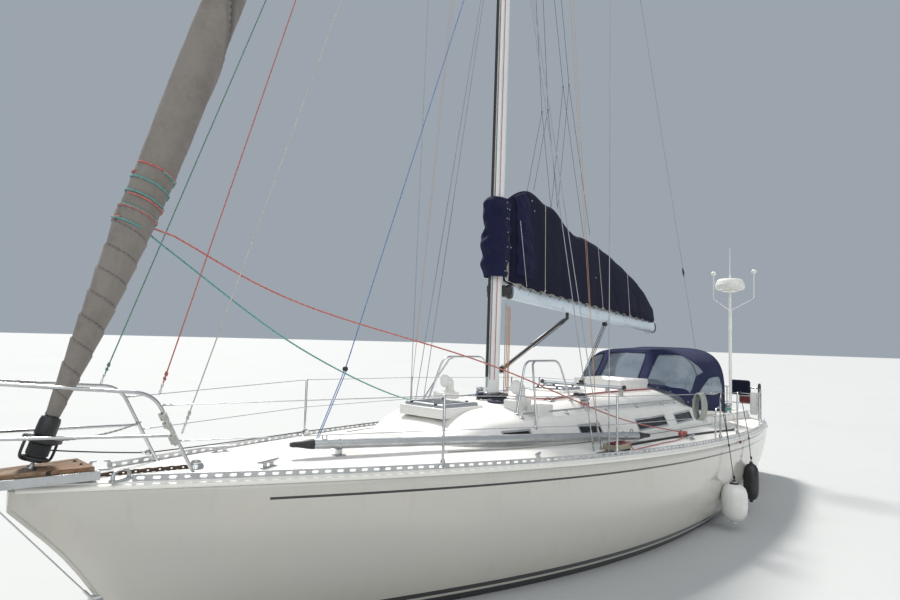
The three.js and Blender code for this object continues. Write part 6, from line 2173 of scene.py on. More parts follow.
boots = []
for low, high in ((2.955, 2.985), (3.135, 3.165)):
    boots.append(deck_block("ear", 4.97, PIN_S + 0.03, -0.032, 0.032, low, high, 0.006))
boots.append(deck_block("shelf", 4.97, PIN_S + 0.03, -0.028, 0.028, 2.015, 2.035, 0.005))
boots.append(deck_block("heel", 4.975, 5.0, -0.045, 0.045, 2.90, 3.22, 0.006))
boots.append(deck_block("heel", 4.972, 4.99, -0.04, 0.04, 1.96, 2.11, 0.006))
boots.append(tube("pin", [at(PIN_S, 0, 2.95), at(PIN_S, 0, 3.17)], 0.011, 14))
boots.append(tube("pin", [at(PIN_S, 0, 2.017), at(PIN_S, 0, 2.117)], 0.011, 14))
for z in (3.17, 2.117):
    boots.append(turned("cap", [(17, -2), (17, 4), (9, 8)], at(PIN_S, 0, z), sides=14))
fit(joined("gooseneck_brackets", boots), steel)
print("Spreaders, masthead and gooseneck are on the mast.")

# %% [markdown]
# The boom carries the foot of the mainsail. It is a deep oval extrusion with a casting
# in each end, and it turns on the upright pin behind the mast, so everything that is
# drawn here rides on the boom's body.

# %% Boom
BOOM_LONG, BOOM_DROP, BOOM_HALF, BOOM_DEEP = 4.33, 0.325, 0.062, 0.092


def boom_at(d, up=0.0, y=0.0):
    """A place by its distance aft of the pin, height over the boom and side."""
    return at(PIN_S + d, y, PIN_Z - BOOM_DROP * d / BOOM_LONG + up)


def boom_ring(d, half, deep, sides=32):
    ring = []
    for t in circle(sides):
        c, s_ = math.cos(t), math.sin(t)
        ring.append(
            boom_at(d, deep * math.copysign(abs(s_) ** 0.8, s_), half * math.copysign(abs(c) ** 0.8, c))
        )
    return ring


boom_tube = lattice(
    "boom_tube",
    [
        boom_ring(d, h, p)
        for d, h, p in (
            (0.098, 0.058, 0.088), (0.102, BOOM_HALF, BOOM_DEEP), (1.2, BOOM_HALF, BOOM_DEEP),
            (2.4, BOOM_HALF, BOOM_DEEP), (3.4, BOOM_HALF, BOOM_DEEP), (4.306, BOOM_HALF, BOOM_DEEP),
        )
    ],
    closed=True, ends=True,
)
fit(smooth(boom_tube, 40), boom_blue, "boom", ["boom"])
castings = [
    loft(
        "nose",
        [
            boom_ring(d, h, p)
            for d, h, p in (
                (0.018, 0.020, 0.044), (0.030, 0.030, 0.048), (0.058, 0.040, 0.052), (0.080, 0.056, 0.080),
                (0.10, 0.0615, 0.0915), (0.125, 0.0640, 0.094), (0.128, 0.0625, 0.0925),
            )
        ],
    ),
    loft(
        "end",
        [
            boom_ring(d, h, p)
            for d, h, p in (
                (4.270, 0.0635, 0.0935), (4.275, 0.0655, 0.0955), (4.310, 0.0655, 0.0955),
                (4.3295, 0.060, 0.088),
            )
        ],
    ),
    turned(
        "eye", [(12.5, 0), (27, 4), (30, 12), (30, 128), (27, 136), (12.5, 140)], at(PIN_S, 0, 2.989),
        sides=24,
    ),
]
fit(joined("boom_castings", castings), black_plastic, "boom")
boom_gear = []
for d in (1.3, 2.6, 3.20, 3.27, 4.12):
    boom_gear.append(
        tube(
            "bail",
            cornered(
                [
                    boom_at(d, -0.03, 0.064), boom_at(d, -0.115, 0.05), boom_at(d, -0.115, -0.05),
                    boom_at(d, -0.03, -0.064),
                ],
                0.04,
            ),
            0.005, 8,
        )
    )
for k in range(9):
    d = 0.45 + k * 0.44
    for side in (1, -1):
        boom_gear.append(
            turned("rivet", [(8, 0), (8, 3), (3, 5)], boom_at(d, 0.012, side * 0.0615), (0, side, 0), 10)
        )
fit(joined("boom_fittings", boom_gear), steel, "boom")

vang_low, vang_high = at(PIN_S + 0.018, 0, 2.078), boom_at(1.50, -0.165)
vang_way = (vang_high - vang_low).normalized()
vang_long = (vang_high - vang_low).length
vang_parts = [
    tube("inner", [vang_low, vang_low + vang_way * vang_long * 0.5, vang_high], 0.027, 18),
    tube(
        "sleeve", [vang_low + vang_way * vang_long * t for t in (0.42, 0.425, 0.93, 0.94)],
        [0.028, 0.034, 0.034, 0.028], 20,
    ),
    tube(
        "fork", [vang_low, vang_low + vang_way * 0.10, vang_low + vang_way * 0.11], [0.027, 0.027, 0.020],
        16,
    ),
    tube("arm", [boom_at(1.44, -0.195), boom_at(1.50, -0.165), boom_at(1.50, -0.0925)], 0.024, 14),
    turned(
        "eye", [(12.5, 0), (29, 3), (32, 10), (32, 59), (29, 66), (12.5, 69)], at(PIN_S, 0, 2.0355),
        sides=24,
    ),
]
fit(joined("vang_strut", vang_parts), black_plastic, "boom", ["vang"])
fit(
    tube(
        "vang_rope",
        [
            vang_low + vang_way * 0.12 + Vector((0, 0.032, 0.0)),
            vang_high - vang_way * 0.25 + Vector((0, 0.034, 0.0)),
        ],
        0.0045, 8,
    ),
    white_rope, "boom",
)
print("The boom is", BOOM_LONG, "m long, with its vang below.")

# %% [markdown]
# The mainsail is flaked along the boom under a navy canvas cover. The sail's own bulk
# shapes it: high and full near the mast, low and thin aft, and the canvas hangs from
# the ridge in soft upright folds. A cloth simulation could drape it, but the folds here
# come from how the cover is pulled down to its row of hooks, and a sculpted skin puts
# each where the photo shows it. The skin is closed, because the sail fills it.

# %% Sail cover
# d, low, half, top, crown
COVER_ROWS = (
    (0.035, 0.124, 0.060, 1.190, 0.040), (0.130, 0.118, 0.100, 1.260, 0.058),
    (0.480, 0.084, 0.150, 1.410, 0.066), (0.860, 0.084, 0.158, 1.345, 0.074),
    (1.130, 0.084, 0.158, 1.310, 0.078), (1.450, 0.084, 0.158, 1.130, 0.082),
    (2.100, 0.084, 0.152, 1.080, 0.086), (3.050, 0.084, 0.140, 0.880, 0.084),
    (3.850, 0.084, 0.112, 0.590, 0.072), (4.230, 0.084, 0.074, 0.360, 0.042),
)
COVER_LINES = {
    name: fair_column(COVER_ROWS, k)
    for name, k in {"low": 1, "half": 2, "top": 3, "crown": 4}.items()
}
COVER_FRONT_R, BEHIND_PIN_R = 0.120, 0.136
HOOK_PITCH, CANVAS_THICK = 0.235, 0.0025


def cover_section(share):
    """Half width as a mix of the full half and the crown, from foot to ridge."""
    low_part = [(0.0, 0.70, 0.0), (0.10, 0.93, 0.0), (0.2, 1.0, 0.0), (0.45, 0.92, 0.0),
                (0.62, 0.45, 0.62), (0.80, 0.0, 1.12), (0.92, 0.0, 0.78), (0.97, 0.0, 0.45), (1.0, 0.0, 0.0)]
    for (a, h0, c0), (b, h1, c1) in zip(low_part, low_part[1:]):
        if a <= share <= b:
            t = (share - a) / (b - a)
            return h0 + (h1 - h0) * t, c0 + (c1 - c0) * t
    return 0.0, 0.0


def cover_point(d, share, side):
    low, half, top, crown = (COVER_LINES[k](d) for k in ("low", "half", "top", "crown"))
    h, c = cover_section(share)
    hanging = noise.noise(Vector((d * 2.4 + 30 * (side > 0), share * 1.1, 3.1)))
    creases = noise.noise(Vector((d * 6.5 + 7 * (side > 0), share * 1.6 + d * 1.1, 9.0)))
    cross = noise.noise(Vector((d * 4.0, share * 7.0 + d * 6.0, 15.0 + side)))
    fold = 0.022 * hanging + 0.009 * creases + 0.006 * cross
    pull = math.sin(math.pi * min(1.0, share * 1.25)) ** 0.6
    scallop = 0.010 * math.cos(2 * math.pi * d / HOOK_PITCH) * max(0.0, 1 - share * 5)
    width = half * h + crown * c + fold * pull * (0.35 + 0.65 * (1 - share)) - 0.006 * pull
    sag = -0.012 * math.sin(2 * math.pi * d / 0.8 + 1.0) ** 2 if d > 0.6 else 0.0
    rise = low + (top - low) * share + scallop + sag * share ** 3 + 0.010 * cross * share * (1 - share) * 4
    return boom_at(d, rise, side * max(width, 0.0 if share > 0.995 else 0.004))


cover_marks = [0.035 + (4.23 - 0.035) * k / 300 for k in range(301)]
shares = [k / 44 for k in range(45)]


def clear_of_pin(piece, radius, inside):
    """Keeps a piece within a radius of the boom's pin, or outside it."""
    for v in piece.data.vertices:
        dx, dy = v.co.x - (STEM_X - PIN_S), v.co.y
        reach = math.hypot(dx, dy)
        allowed = radius if dx > 0 else BEHIND_PIN_R
        too_far = inside and dx > -0.777 * reach and reach > allowed
        too_near = not inside and reach < radius
        if too_far or too_near:
            share = (allowed if too_far else radius) / max(reach, 1e-6)
            v.co.x, v.co.y = STEM_X - PIN_S + dx * share, dy * share


def cover_row(d, narrow=1.0, low=1.0):
    """One section of the cover, from the port hem over the ridge to starboard."""
    port = [cover_point(d, share, 1) for share in shares]
    row = port + [cover_point(d, share, -1) for share in reversed(shares[:-1])]
    foot = boom_at(d, COVER_LINES["low"](d))
    return [Vector((p.x, p.y * narrow, foot.z + (p.z - foot.z) * low)) for p in row]


cover_rows = [cover_row(d) for d in cover_marks]
for step, (narrow, low) in enumerate(((0.93, 0.93), (0.78, 0.8), (0.5, 0.62), (0.15, 0.45))):
    last = cover_row(4.23, narrow, low)
    cover_rows.append([p - Vector((0.012 * (step + 1), 0, 0)) for p in last])
cover_skin = lattice("mainsail_cover", cover_rows)
clear_of_pin(cover_skin, COVER_FRONT_R - 0.004, True)
smooth(thickened(weld(cover_skin, 1e-5), CANVAS_THICK, -1), 75)
fit(cover_skin, navy_canvas, "boom", ["sail_cover"])


def sail_row(d):
    """The flaked sail fills most of the cover, in layers that show at its sides."""
    row = []
    for side in (1, -1):
        part = []
        for k in range(25):
            share = 0.02 + 0.90 * k / 24
            p = cover_point(d, share, side)
            layer = 0.012 * math.sin(share * 55 + d * 1.7)
            p.y -= side * min(abs(p.y) * 0.5, 0.022 + layer)
            part.append(p)
        row += part if side > 0 else part[::-1]
    return row


sail = lattice("flaked_mainsail", [sail_row(0.06 + 4.10 * k / 90) for k in range(91)], closed=True, ends=True)
clear_of_pin(sail, COVER_FRONT_R - 0.03, True)
sailcloth = canvas("white_sailcloth", (0.6, 0.59, 0.55), 600.0, 0.1)
fit(smooth(weld(sail), 60), sailcloth, "boom")

# %% [markdown]
# The cover is sewn from panels, and hooks along its foot hold it to the boom. Seams
# could be lines in the material. Here each is a folded strip just proud of the cloth,
# because the light catches its edges, and it follows the same shape as the cover.

# %% Seams, hooks and studs of the cover
def seam(name, d, wide=0.011):
    """A folded hem that runs over the cover from hook to hook, just proud of it."""
    points = []
    for side in (1, -1):
        line = [cover_point(d, share, side) for share in shares[1:]]
        points.append([p + Vector((0, side * 0.0016, 0.0006)) for p in line])
    line = points[0] + points[1][-2::-1]
    rows = [[p + Vector((x, 0, 0)) for x in (-wide, -wide * 0.8, wide * 0.8, wide)] for p in line]
    for row in rows:
        for p, back in zip(row, (0.0022, 0, 0, 0.0022)):
            p.y -= math.copysign(back, p.y)
    strip = lattice(name, rows)
    return strip


hems = joined("cover_seams", [seam("hem", d) for d in (0.62, 1.52, 2.55, 3.58)])
fit(smooth(thickened(hems, 0.0015, -1), 60), navy_canvas, "boom")
hooks = []
for k in range(18):
    d = 0.25 + k * HOOK_PITCH
    if d > 4.15:
        break
    for side in (1, -1):
        top = cover_point(d, 0.02, side)
        foot = boom_at(d, 0.055, side * 0.066)
        hooks.append(
            tube(
                "hook", [top + above(0.012), (top + foot) / 2 + Vector((0, side * 0.012, 0)), foot], 0.0032,
                6,
            )
        )
        hooks.append(turned("knob", [(2, -6), (8, -4), (8, 4), (2, 6)], foot, (0, side, 0), 8))
fit(joined("cover_hooks", hooks), black_plastic, "boom")
twists = []
for d, share in ((2.05, 0.42), (0.50, 0.90), (0.53, 0.80)):
    for side in (1, -1):
        place = cover_point(d, share, side)
        twists.append(turned("stud", [(2, -3), (12, -2), (11, 3), (5, 5)], place, (0, side, 0), 12))
fit(joined("cover_studs", twists), steel, "boom")
print(len(hooks) // 2, "hooks hold the cover to the boom.")

# %% [markdown]
# The collar is the cover's front piece. It wraps the mast and the sail's luff, is
# closed by studs on its overlap, and the slack cloth crumples into sideways folds where
# it is gathered round the mast. It stays with the mast, so that the cover can turn
# behind it. Its folds are sculpted from two waves that bend and fade round the mast.

# %% Cover collar
# height, reach ahead, reach sideways
COLLAR_ROWS = (
    (3.21, 0.165, 0.150), (3.33, 0.204, 0.166), (3.46, 0.214, 0.170), (3.61, 0.245, 0.172),
    (3.72, 0.214, 0.168), (3.92, 0.196, 0.162), (4.06, 0.236, 0.162), (4.14, 0.226, 0.155),
    (4.20, 0.172, 0.132),
)
COLLAR_CUT_R = 0.142
COLLAR_FORE = fair_column(COLLAR_ROWS, 1)
COLLAR_SIDE = fair_column(COLLAR_ROWS, 2)
COLLAR_OPEN = 2.08


def collar_point(z, t):
    """t goes round from the aft port edge, over the front, to the aft starboard edge."""
    facing = 0.5 + 0.5 * math.cos(t)
    port = 0.5 + 0.5 * math.sin(t)
    gather = math.sin((z - 3.21) * 21 + 2.2 * math.sin(t * 1.3) + 1.2 * noise.noise(Vector((z * 3, t, 0))))
    second = math.sin((z - 3.21) * 34 - 3.0 * t)
    rough = noise.noise(Vector((z * 9, math.cos(t) * 3, math.sin(t) * 3)))
    fold = (0.020 * gather * (0.45 + 0.55 * facing) + 0.013 * second + 0.020 * rough) * (0.55 + 0.45 * port)
    edge = min(1.0, (z - 3.205) / 0.1, (4.205 - z) / 0.12)
    fold *= max(0.15, edge)
    fore = COLLAR_FORE(z) - 0.016 + fold
    side = COLLAR_SIDE(z) - 0.010 + fold * 0.7
    return mast_at(z + 0.014 * math.sin(t * 2 + 1) * edge, fore * math.cos(t), side * math.sin(t))


def collar_top(t, share):
    """Above the last level the cloth is gathered in to the mast in small pleats."""
    outer = collar_point(4.196, t)
    grow = 0.006 + 0.004 * math.sin(t * 19)
    inner = mast_at(4.205, (MAST_FORE + grow) * math.cos(t), (MAST_SIDE + grow) * math.sin(t))
    pleat = above(0.012 * math.sin(math.pi * share) + 0.003 * math.sin(t * 19) * share)
    return outer.lerp(inner, share) + pleat


levels = [3.212 + (4.196 - 3.212) * k / 70 for k in range(71)]
angles = [-COLLAR_OPEN + 2 * COLLAR_OPEN * k / 110 for k in range(111)]
collar_rows = [[collar_point(z, t) for t in angles] for z in levels]
collar_rows += [[collar_top(t, share) for t in angles] for share in (0.25, 0.5, 0.75, 1.0)]
collar = lattice("mast_collar", collar_rows)
clear_of_pin(collar, COLLAR_CUT_R + 0.006, False)
if sum(face.normal.x for face in collar.data.polygons if face.center.x > mast_at(3.7).x) < 0:
    collar.data.flip_normals()
smooth(thickened(collar, CANVAS_THICK, -1), 75)
fit(collar, collar_canvas, replaces=["cover_collar"])
studs = []
for z in (3.30, 3.42, 3.60, 3.78, 3.96, 4.08, 4.15):
    for t in (1.62, 1.95):
        if t > 1.7 and z in (3.42, 3.78, 4.15):
            continue
        place, outer = collar_point(z, t), collar_point(z, t) - mast_at(z)
        studs.append(turned("stud", [(2, -4), (8.5, -2), (8, 3), (3, 5)], place, outer, 12))
fit(joined("collar_studs", studs), steel)

OVERLAP_FRONT, OVERLAP_BACK, OVERLAP_LOW = 0.135, 0.43, 0.085


def overlap_point(u, v):
    """u goes aft along the boom, v from the port foot over the ridge to starboard."""
    side = 1 if v < 0.5 else -1
    share = OVERLAP_LOW + (0.985 - OVERLAP_LOW) * (1 - abs(2 * v - 1))
    hem = 0.016 * math.sin(share * 23 + 1.5 * side) + 0.02 * noise.noise(Vector((share * 6, side, 2)))
    d = OVERLAP_FRONT + (OVERLAP_BACK - OVERLAP_FRONT + hem) * u
    p = cover_point(d, share, side)
    crumple = math.sin(share * 30 + 2.0 * u + 2.5 * noise.noise(Vector((u * 2, share * 3, side))))
    rough = noise.noise(Vector((u * 5, share * 16, 7 + side)))
    lift = 0.006 + (0.015 + 0.014 * crumple + 0.014 * rough) * math.sin(
        math.pi * min(1, 0.12 + u * 0.9)
    ) * min(1, (1 - share) * 8 + 0.2)
    return p + Vector((0, side * lift, 0.004 if share > 0.9 else 0))


overlap = lattice("collar_overlap", [[overlap_point(i / 40, j / 160) for j in range(161)] for i in range(41)])
fit(smooth(thickened(overlap, CANVAS_THICK), 75), collar_canvas, "boom")
print("The collar closes with", len(studs), "studs.")

# %% [markdown]
# The headsail is rolled round its stay, with a grey strip of sun cloth outside. The
# cloth ends in an edge that spirals up the roll, and folds lie along it. The roll is a
# tube whose radius steps down at that spiral edge, so the edge is real geometry, and
# smaller folds run along the spiral between its turns.

# %% Furled headsail
STAY_FOOT, STAY_HEAD = at(0.095, 0, 1.43), mast_at(16.99, 0.206)
SLEEVE_ROWS = (
    (1.835, 0.050), (1.99, 0.062), (2.25, 0.084), (2.75, 0.114), (3.20, 0.138), (3.50, 0.150),
    (4.30, 0.158), (6.20, 0.156), (9.00, 0.138), (12.50, 0.102), (15.30, 0.055), (16.10, 0.026),
)
SLEEVE_R = fair_column(SLEEVE_ROWS, 1)
STAY_WAY = (STAY_HEAD - STAY_FOOT).normalized()
STAY_SIDE = Vector((0, 1, 0))
STAY_AHEAD = STAY_SIDE.cross(STAY_WAY).normalized()
WRAP_PITCH, WRAPS_END, EDGE_PITCH = 0.165, 3.16, 2.6
SAG = fair_curve(
    (1.40, 1.84, 2.20, 2.75, 5.0, 9.0, 13.0, 15.5, 17.1),
    (0.0, 0.0, 0.024, 0.052, 0.060, 0.055, 0.030, 0.0, 0.0),
)


def stay_at(z):
    """The roll's middle, which hangs a little to port of the stay inside it."""
    straight = STAY_FOOT.lerp(STAY_HEAD, (z - STAY_FOOT.z) / (STAY_HEAD.z - STAY_FOOT.z))
    return straight + STAY_SIDE * SAG(z)


def round_stay(z, angle, radius):
    """A place beside the stay: angle 0 looks ahead and a quarter turn looks to port."""
    return stay_at(z) + (STAY_AHEAD * math.cos(angle) + STAY_SIDE * math.sin(angle)) * radius


def spiral_turn(z):
    """How far round the roll the cloth's edge has gone by a height."""
    return min(z - 1.835, WRAPS_END - 1.835) / WRAP_PITCH + max(0.0, z - WRAPS_END) / EDGE_PITCH


def sleeve_radius(z, angle):
    phase = (angle / (2 * math.pi) + spiral_turn(z)) % 1.0
    low = z < WRAPS_END
    step = (0.009 if low else 0.020) * (phase - 0.5)
    lip = (0.002 if low else 0.005) * math.exp(-((phase - 0.965) / 0.03) ** 2)
    along = noise.noise(Vector((math.cos(angle) * 1.6, math.sin(angle) * 1.6, z * 0.9)))
    fine = noise.noise(Vector((math.cos(angle + z * 2) * 5, math.sin(angle + z * 2) * 5, z * 1.3)))
    size = SLEEVE_R(z)
    return size * (0.985 + 0.05 * along + 0.035 * fine) + (step + lip) * min(1.0, size / 0.1) - 0.004


sleeve_levels = [1.835 + 0.0085 * k for k in range(160)]
sleeve_levels += [3.195 + 12.905 * k / 240 for k in range(1, 241)]
SLEEVE_SIDES = 96
sleeve_rows = [
    [round_stay(z, t, max(sleeve_radius(z, t), 0.012)) for t in circle(SLEEVE_SIDES)] for z in sleeve_levels
]
sleeve = lattice("rolled_headsail", sleeve_rows, closed=True, ends=True)
mark(
    sleeve, "edge",
    [(k / SLEEVE_SIDES + spiral_turn(z)) % 1.0 for z in sleeve_levels for k in range(SLEEVE_SIDES)],
)
smooth(sleeve, 70)


def make_sun_cloth():
    """Taupe cloth with a painted shadow just below the spiral edge, and runs of dirt."""
    material, tree, shader = start("sun_cloth", (0.245, 0.222, 0.200), 0.86, Sheen_Weight=0.12)
    cloth = effect(tree, "weave", Scale=520.0)
    film = effect(
        tree, "weathering", Colour=(0.245, 0.222, 0.200), Stain=(0.17, 0.15, 0.132), Scale=2.6, Amount=0.75,
    )
    runs = effect(tree, "streaks", Width=26.0)
    edge = node(tree, "ShaderNodeAttribute", attribute_name="edge").outputs["Fac"]
    shadow = maths(tree, "SUBTRACT", 1.0, band(tree, edge, 0.006, 0.11))
    hem = times(
        tree, band(tree, edge, 0.955, 0.965), maths(tree, "SUBTRACT", 1.0, band(tree, edge, 0.99, 1.0)),
    )
    toned = mixed(tree, times(tree, runs.outputs["Mask"], 0.35), film.outputs["Colour"], (0.2, 0.185, 0.17))
    # A painted shadow darkens the cloth just below the spiral edge.
    toned = mixed(tree, times(tree, shadow, 0.75), toned, (0.035, 0.031, 0.03))
    toned = mixed(tree, times(tree, hem, 0.3), toned, (0.09, 0.08, 0.075))
    tree.links.new(toned, shader.inputs["Base Color"])
    bump(tree, shader, cloth.outputs["Height"], 0.0007, 0.5)
    return material


fit(sleeve, make_sun_cloth(), replaces=["furled_headsail"])
print("The roll is", round(max(r for _, r in SLEEVE_ROWS) * 2, 2), "m thick at most.")

# %% [markdown]
# Below it turns the furling drum: an upper cone that holds the sail's tack, a flange,
# and the spool in its cage of side plates, all black plastic and alloy. The furling
# line leaves it to a block on the rail and runs aft along the starboard side.

# %% Furling drum
def stay_turned(name, profile, sides=32):
    """A turned piece on the stay: the profile's rows are (height, radius)."""
    rows = [[round_stay(z, t, r) for t in circle(sides)] for z, r in profile]
    return loft(name, rows, 32)


stay_parts = [
    tube("wire", [stay_at(1.44), stay_at(16.985)], 0.008, 12),
    tube("screw", [stay_at(z) for z in (1.44, 1.46, 1.50, 1.53)], [0.014, 0.020, 0.020, 0.012], 14),
    turned("pin", [(10, -35), (10, 35)], at(0.095, 0, 1.475), (0, 1, 0), 12),
    deck_block("toggle", 0.075, 0.115, -0.03, -0.018, 1.466, 1.50, 0.004),
    deck_block("toggle", 0.075, 0.115, 0.018, 0.03, 1.466, 1.50, 0.004),
]
fit(joined("stay_wire", stay_parts), wire_steel, replaces=["forestay"])
drum_parts = [
    stay_turned(
        "cone",
        [
            (1.698, 0.045), (1.705, 0.062), (1.72, 0.066), (1.80, 0.064), (1.822, 0.058), (1.826, 0.044),
            (1.852, 0.040),
        ],
    ),
    stay_turned(
        "flange",
        [(1.668, 0.10), (1.672, 0.116), (1.678, 0.118), (1.688, 0.118), (1.694, 0.112), (1.699, 0.07)],
    ),
    stay_turned(
        "spool",
        [
            (1.552, 0.040), (1.556, 0.080), (1.560, 0.090), (1.568, 0.090), (1.574, 0.062), (1.650, 0.062),
            (1.660, 0.088), (1.668, 0.09),
        ],
    ),
    stay_turned("base", [(1.536, 0.030), (1.540, 0.050), (1.552, 0.052), (1.556, 0.046)]),
]
for turn in (0.35, 0.35 + math.pi):
    route = []
    for z, r in (
        (1.672, 0.112), (1.655, 0.1135), (1.60, 0.1135), (1.568, 0.108), (1.553, 0.09), (1.546, 0.05),
    ):
        route.append(round_stay(z, turn, r))
    drum_parts.append(tube("cage", flowing(route, 3), 0.0095, 8))
fit(joined("furling_drum", drum_parts), black_plastic, replaces=["furler_drum"])
spool_line = []
for k in range(11 * 24):
    angle = 2 * math.pi * k / 24
    z = 1.584 + 0.0062 * k / 24
    spool_line.append(round_stay(z, angle, 0.0655))
fit(tube("furling_turns", spool_line, 0.0035, 6), black_rope)
print("The drum hangs on the forestay's foot.")

# %% [markdown]
# Wires hold the mast up. On each side a cap shroud runs out over both spreader tips,
# two lower shrouds reach the mast's middle, and the backstay pulls the masthead aft.
# Each starts in a rigging screw, whose closed body turns on two threads to set the
# tension. A bevelled curve would do, but a tube whose radius is given point by point
# makes the fork, the screw's waist and the swaged sleeve in one pass.

# %% Shrouds and backstay
CHAIN_S, CHAIN_Y, CHAIN_Z, CHAIN_AHEAD, CHAIN_INBOARD = 4.99, 1.545, 1.262, 0.08, 0.132
STAY_R = 0.005
SCREW = (  # metres along, radius
    (0.000, 0.0065), (0.040, 0.0065), (0.042, 0.0095), (0.058, 0.0095), (0.060, 0.0060), (0.085, 0.0060),
    (0.090, 0.0112), (0.225, 0.0112), (0.230, 0.0060), (0.258, 0.0060), (0.260, 0.0088), (0.330, 0.0088),
    (0.336, STAY_R),
)


def stay_tube(name, route, size=1.0):
    """A wire with a screw at its foot and a swaged sleeve at its head."""
    foot, head = Vector(route[0]), Vector(route[-1])
    way = (Vector(route[1]) - foot).normalized()
    back = (Vector(route[-2]) - head).normalized()
    line = [foot + way * along * size for along, _ in SCREW]
    radii = [radius * size for _, radius in SCREW]
    radii[-1] = STAY_R * size
    line += [*route[1:-1], head + back * 0.12, head + back * 0.115, head]
    radii += [STAY_R * size] * (len(route) - 1) + [0.0088 * size] * 2
    return tube(name, line, radii, 12)


for side, label in SIDES:
    tips = [mast_at(z + rise, -sweep, side * (tip + 0.016)) for z, tip, sweep, rise in SPREADERS]
    parts = [
        stay_tube("cap", [at(CHAIN_S, side * CHAIN_Y, CHAIN_Z), *tips, mast_at(16.9, -0.04, side * 0.09)])
    ]
    for ahead in (CHAIN_AHEAD, -CHAIN_AHEAD):
        foot = at(CHAIN_S - ahead, side * (CHAIN_Y - CHAIN_INBOARD), CHAIN_Z)
        parts.append(stay_tube("lower", [foot, mast_at(8.58, ahead * 0.12, side * 0.088)]))
    for tip in tips:
        parts.append(turned("boot", [(2, -22), (12, -18), (16, 0), (12, 18), (2, 22)], tip, sides=14))
    for ahead, inboard in ((0, 0), (CHAIN_AHEAD, CHAIN_INBOARD), (-CHAIN_AHEAD, CHAIN_INBOARD)):
        s, y = CHAIN_S - ahead, side * (CHAIN_Y - inboard)
        parts.append(deck_block("tang", s - 0.016, s + 0.016, y - 0.004, y + 0.004, 1.215, 1.285, 0.004))
        parts.append(turned("pin", [(6, -14), (6, 14)], at(s, y, CHAIN_Z), (0, 1, 0), 12))
    plate_low, plate_high = sorted((side * 1.390, side * 1.549))
    parts.append(
        deck_block(
            "plate", CHAIN_S - 0.13, CHAIN_S + 0.13, plate_low, plate_high, 1.206,
            deck_height(CHAIN_S, 1.5) + 0.006,
        )
    )
    fit(joined("shroud_wires_" + label, parts), wire_steel, replaces=["shrouds_" + label])

    signal_foot = at(4.90, side * 1.46, 1.42)
    signals = [
        tube("halyard", [signal_foot, mast_at(8.70, -0.03, side * out)], 0.0022, 6) for out in (0.78, 0.84)
    ]
    fit(joined("signal_halyard_" + label, signals), tan_rope)

BACKSTAY_FOOT, BACKSTAY_HEAD = at(11.93, 0, 1.075), mast_at(16.96, -0.27)
back_parts = [
    stay_tube("stay", [BACKSTAY_FOOT, BACKSTAY_HEAD], 1.25),
    deck_block("plate", 11.90, 11.99, -0.018, 0.018, 1.042, 1.088, 0.004),
    turned("pin", [(7, -22), (7, 22)], at(11.93, 0, 1.072), (0, 1, 0), 12),
]
fit(joined("backstay_wire", back_parts), wire_steel, replaces=["backstay"])
INSULATOR_SHARE = 0.176
insulator = BACKSTAY_FOOT.lerp(BACKSTAY_HEAD, INSULATOR_SHARE)
fit(
    turned(
        "stay_insulator",
        [(6, -90), (11, -85), (11, -50), (19, -35), (19, 35), (11, 50), (11, 85), (6, 90)], insulator,
        BACKSTAY_HEAD - BACKSTAY_FOOT, 16,
    ),
    black_plastic,
)

TRAY_FRONT, TRAY_BACK, TRAY_INNER, TRAY_OUTER, TRAY_DEEP = 5.09, 5.42, 1.420, 1.580, 0.070
tray_parts = []
for s0, s1, y0, y1, top in (
    (TRAY_FRONT, TRAY_BACK, TRAY_INNER, 1.434, TRAY_DEEP),
    (TRAY_FRONT, TRAY_BACK, 1.566, TRAY_OUTER, TRAY_DEEP),
    (5.40, TRAY_BACK, TRAY_INNER, TRAY_OUTER, TRAY_DEEP),
    (TRAY_FRONT, 5.11, TRAY_INNER, TRAY_OUTER, TRAY_DEEP),
    (TRAY_FRONT, TRAY_BACK, TRAY_INNER, TRAY_OUTER, 0.016),
):
    tray_parts.append(deck_block("wall", s0, s1, y0, y1, 1.235, deck_height(5.1, 1.5) + top, 0.006))
fit(joined("rope_tray", tray_parts), plastic("tray_plastic", (0.36, 0.31, 0.22), 0.5, (0.2, 0.17, 0.12), 0.5))
turns = []
for k in range(5):
    z = deck_height(5.1, 1.5) + 0.028 + 0.012 * k
    turns.append(
        tube(
            "turn",
            cornered(
                [
                    at(5.13, 1.455 + 0.006 * (k % 2), z), at(5.38, 1.455, z), at(5.38, 1.548, z + 0.004),
                    at(5.13, 1.548, z + 0.004), at(5.13, 1.462, z + 0.01),
                ],
                0.03, 5,
            ),
            0.0065, 8,
        )
    )
fit(joined("stowed_sheet_tail", turns), rope("dark_red_rope", (0.16, 0.012, 0.02), (0.3, 0.06, 0.06)))
print("The shrouds meet the deck within", 2 * CHAIN_AHEAD, "m.")

# %% [markdown]
# The running ropes are all under tension, so each is a straight or barely sagging tube
# between two fittings. The halyards that aren't in use are clipped forward to the
# pulpit, which keeps them from slapping the mast. Each rope ends in something real: a
# snap shackle, a knot, a block or a cleat. Colour and a flecked braid tell them apart.

# %% Halyards clipped forward
def taut(name, route, radius, material, body="hull", sag=0.0):
    """A tight rope through the places, with a little sag between each two."""
    line = [Vector(route[0])]
    for a, b in zip(route, route[1:]):
        a, b = Vector(a), Vector(b)
        steps = max(2, round((b - a).length / 0.25)) if sag else 1
        for k in range(1, steps + 1):
            t = k / steps
            line.append(a.lerp(b, t) - above(sag * 4 * t * (1 - t)))
    return fit(tube(name, line, radius, 8), material, body)


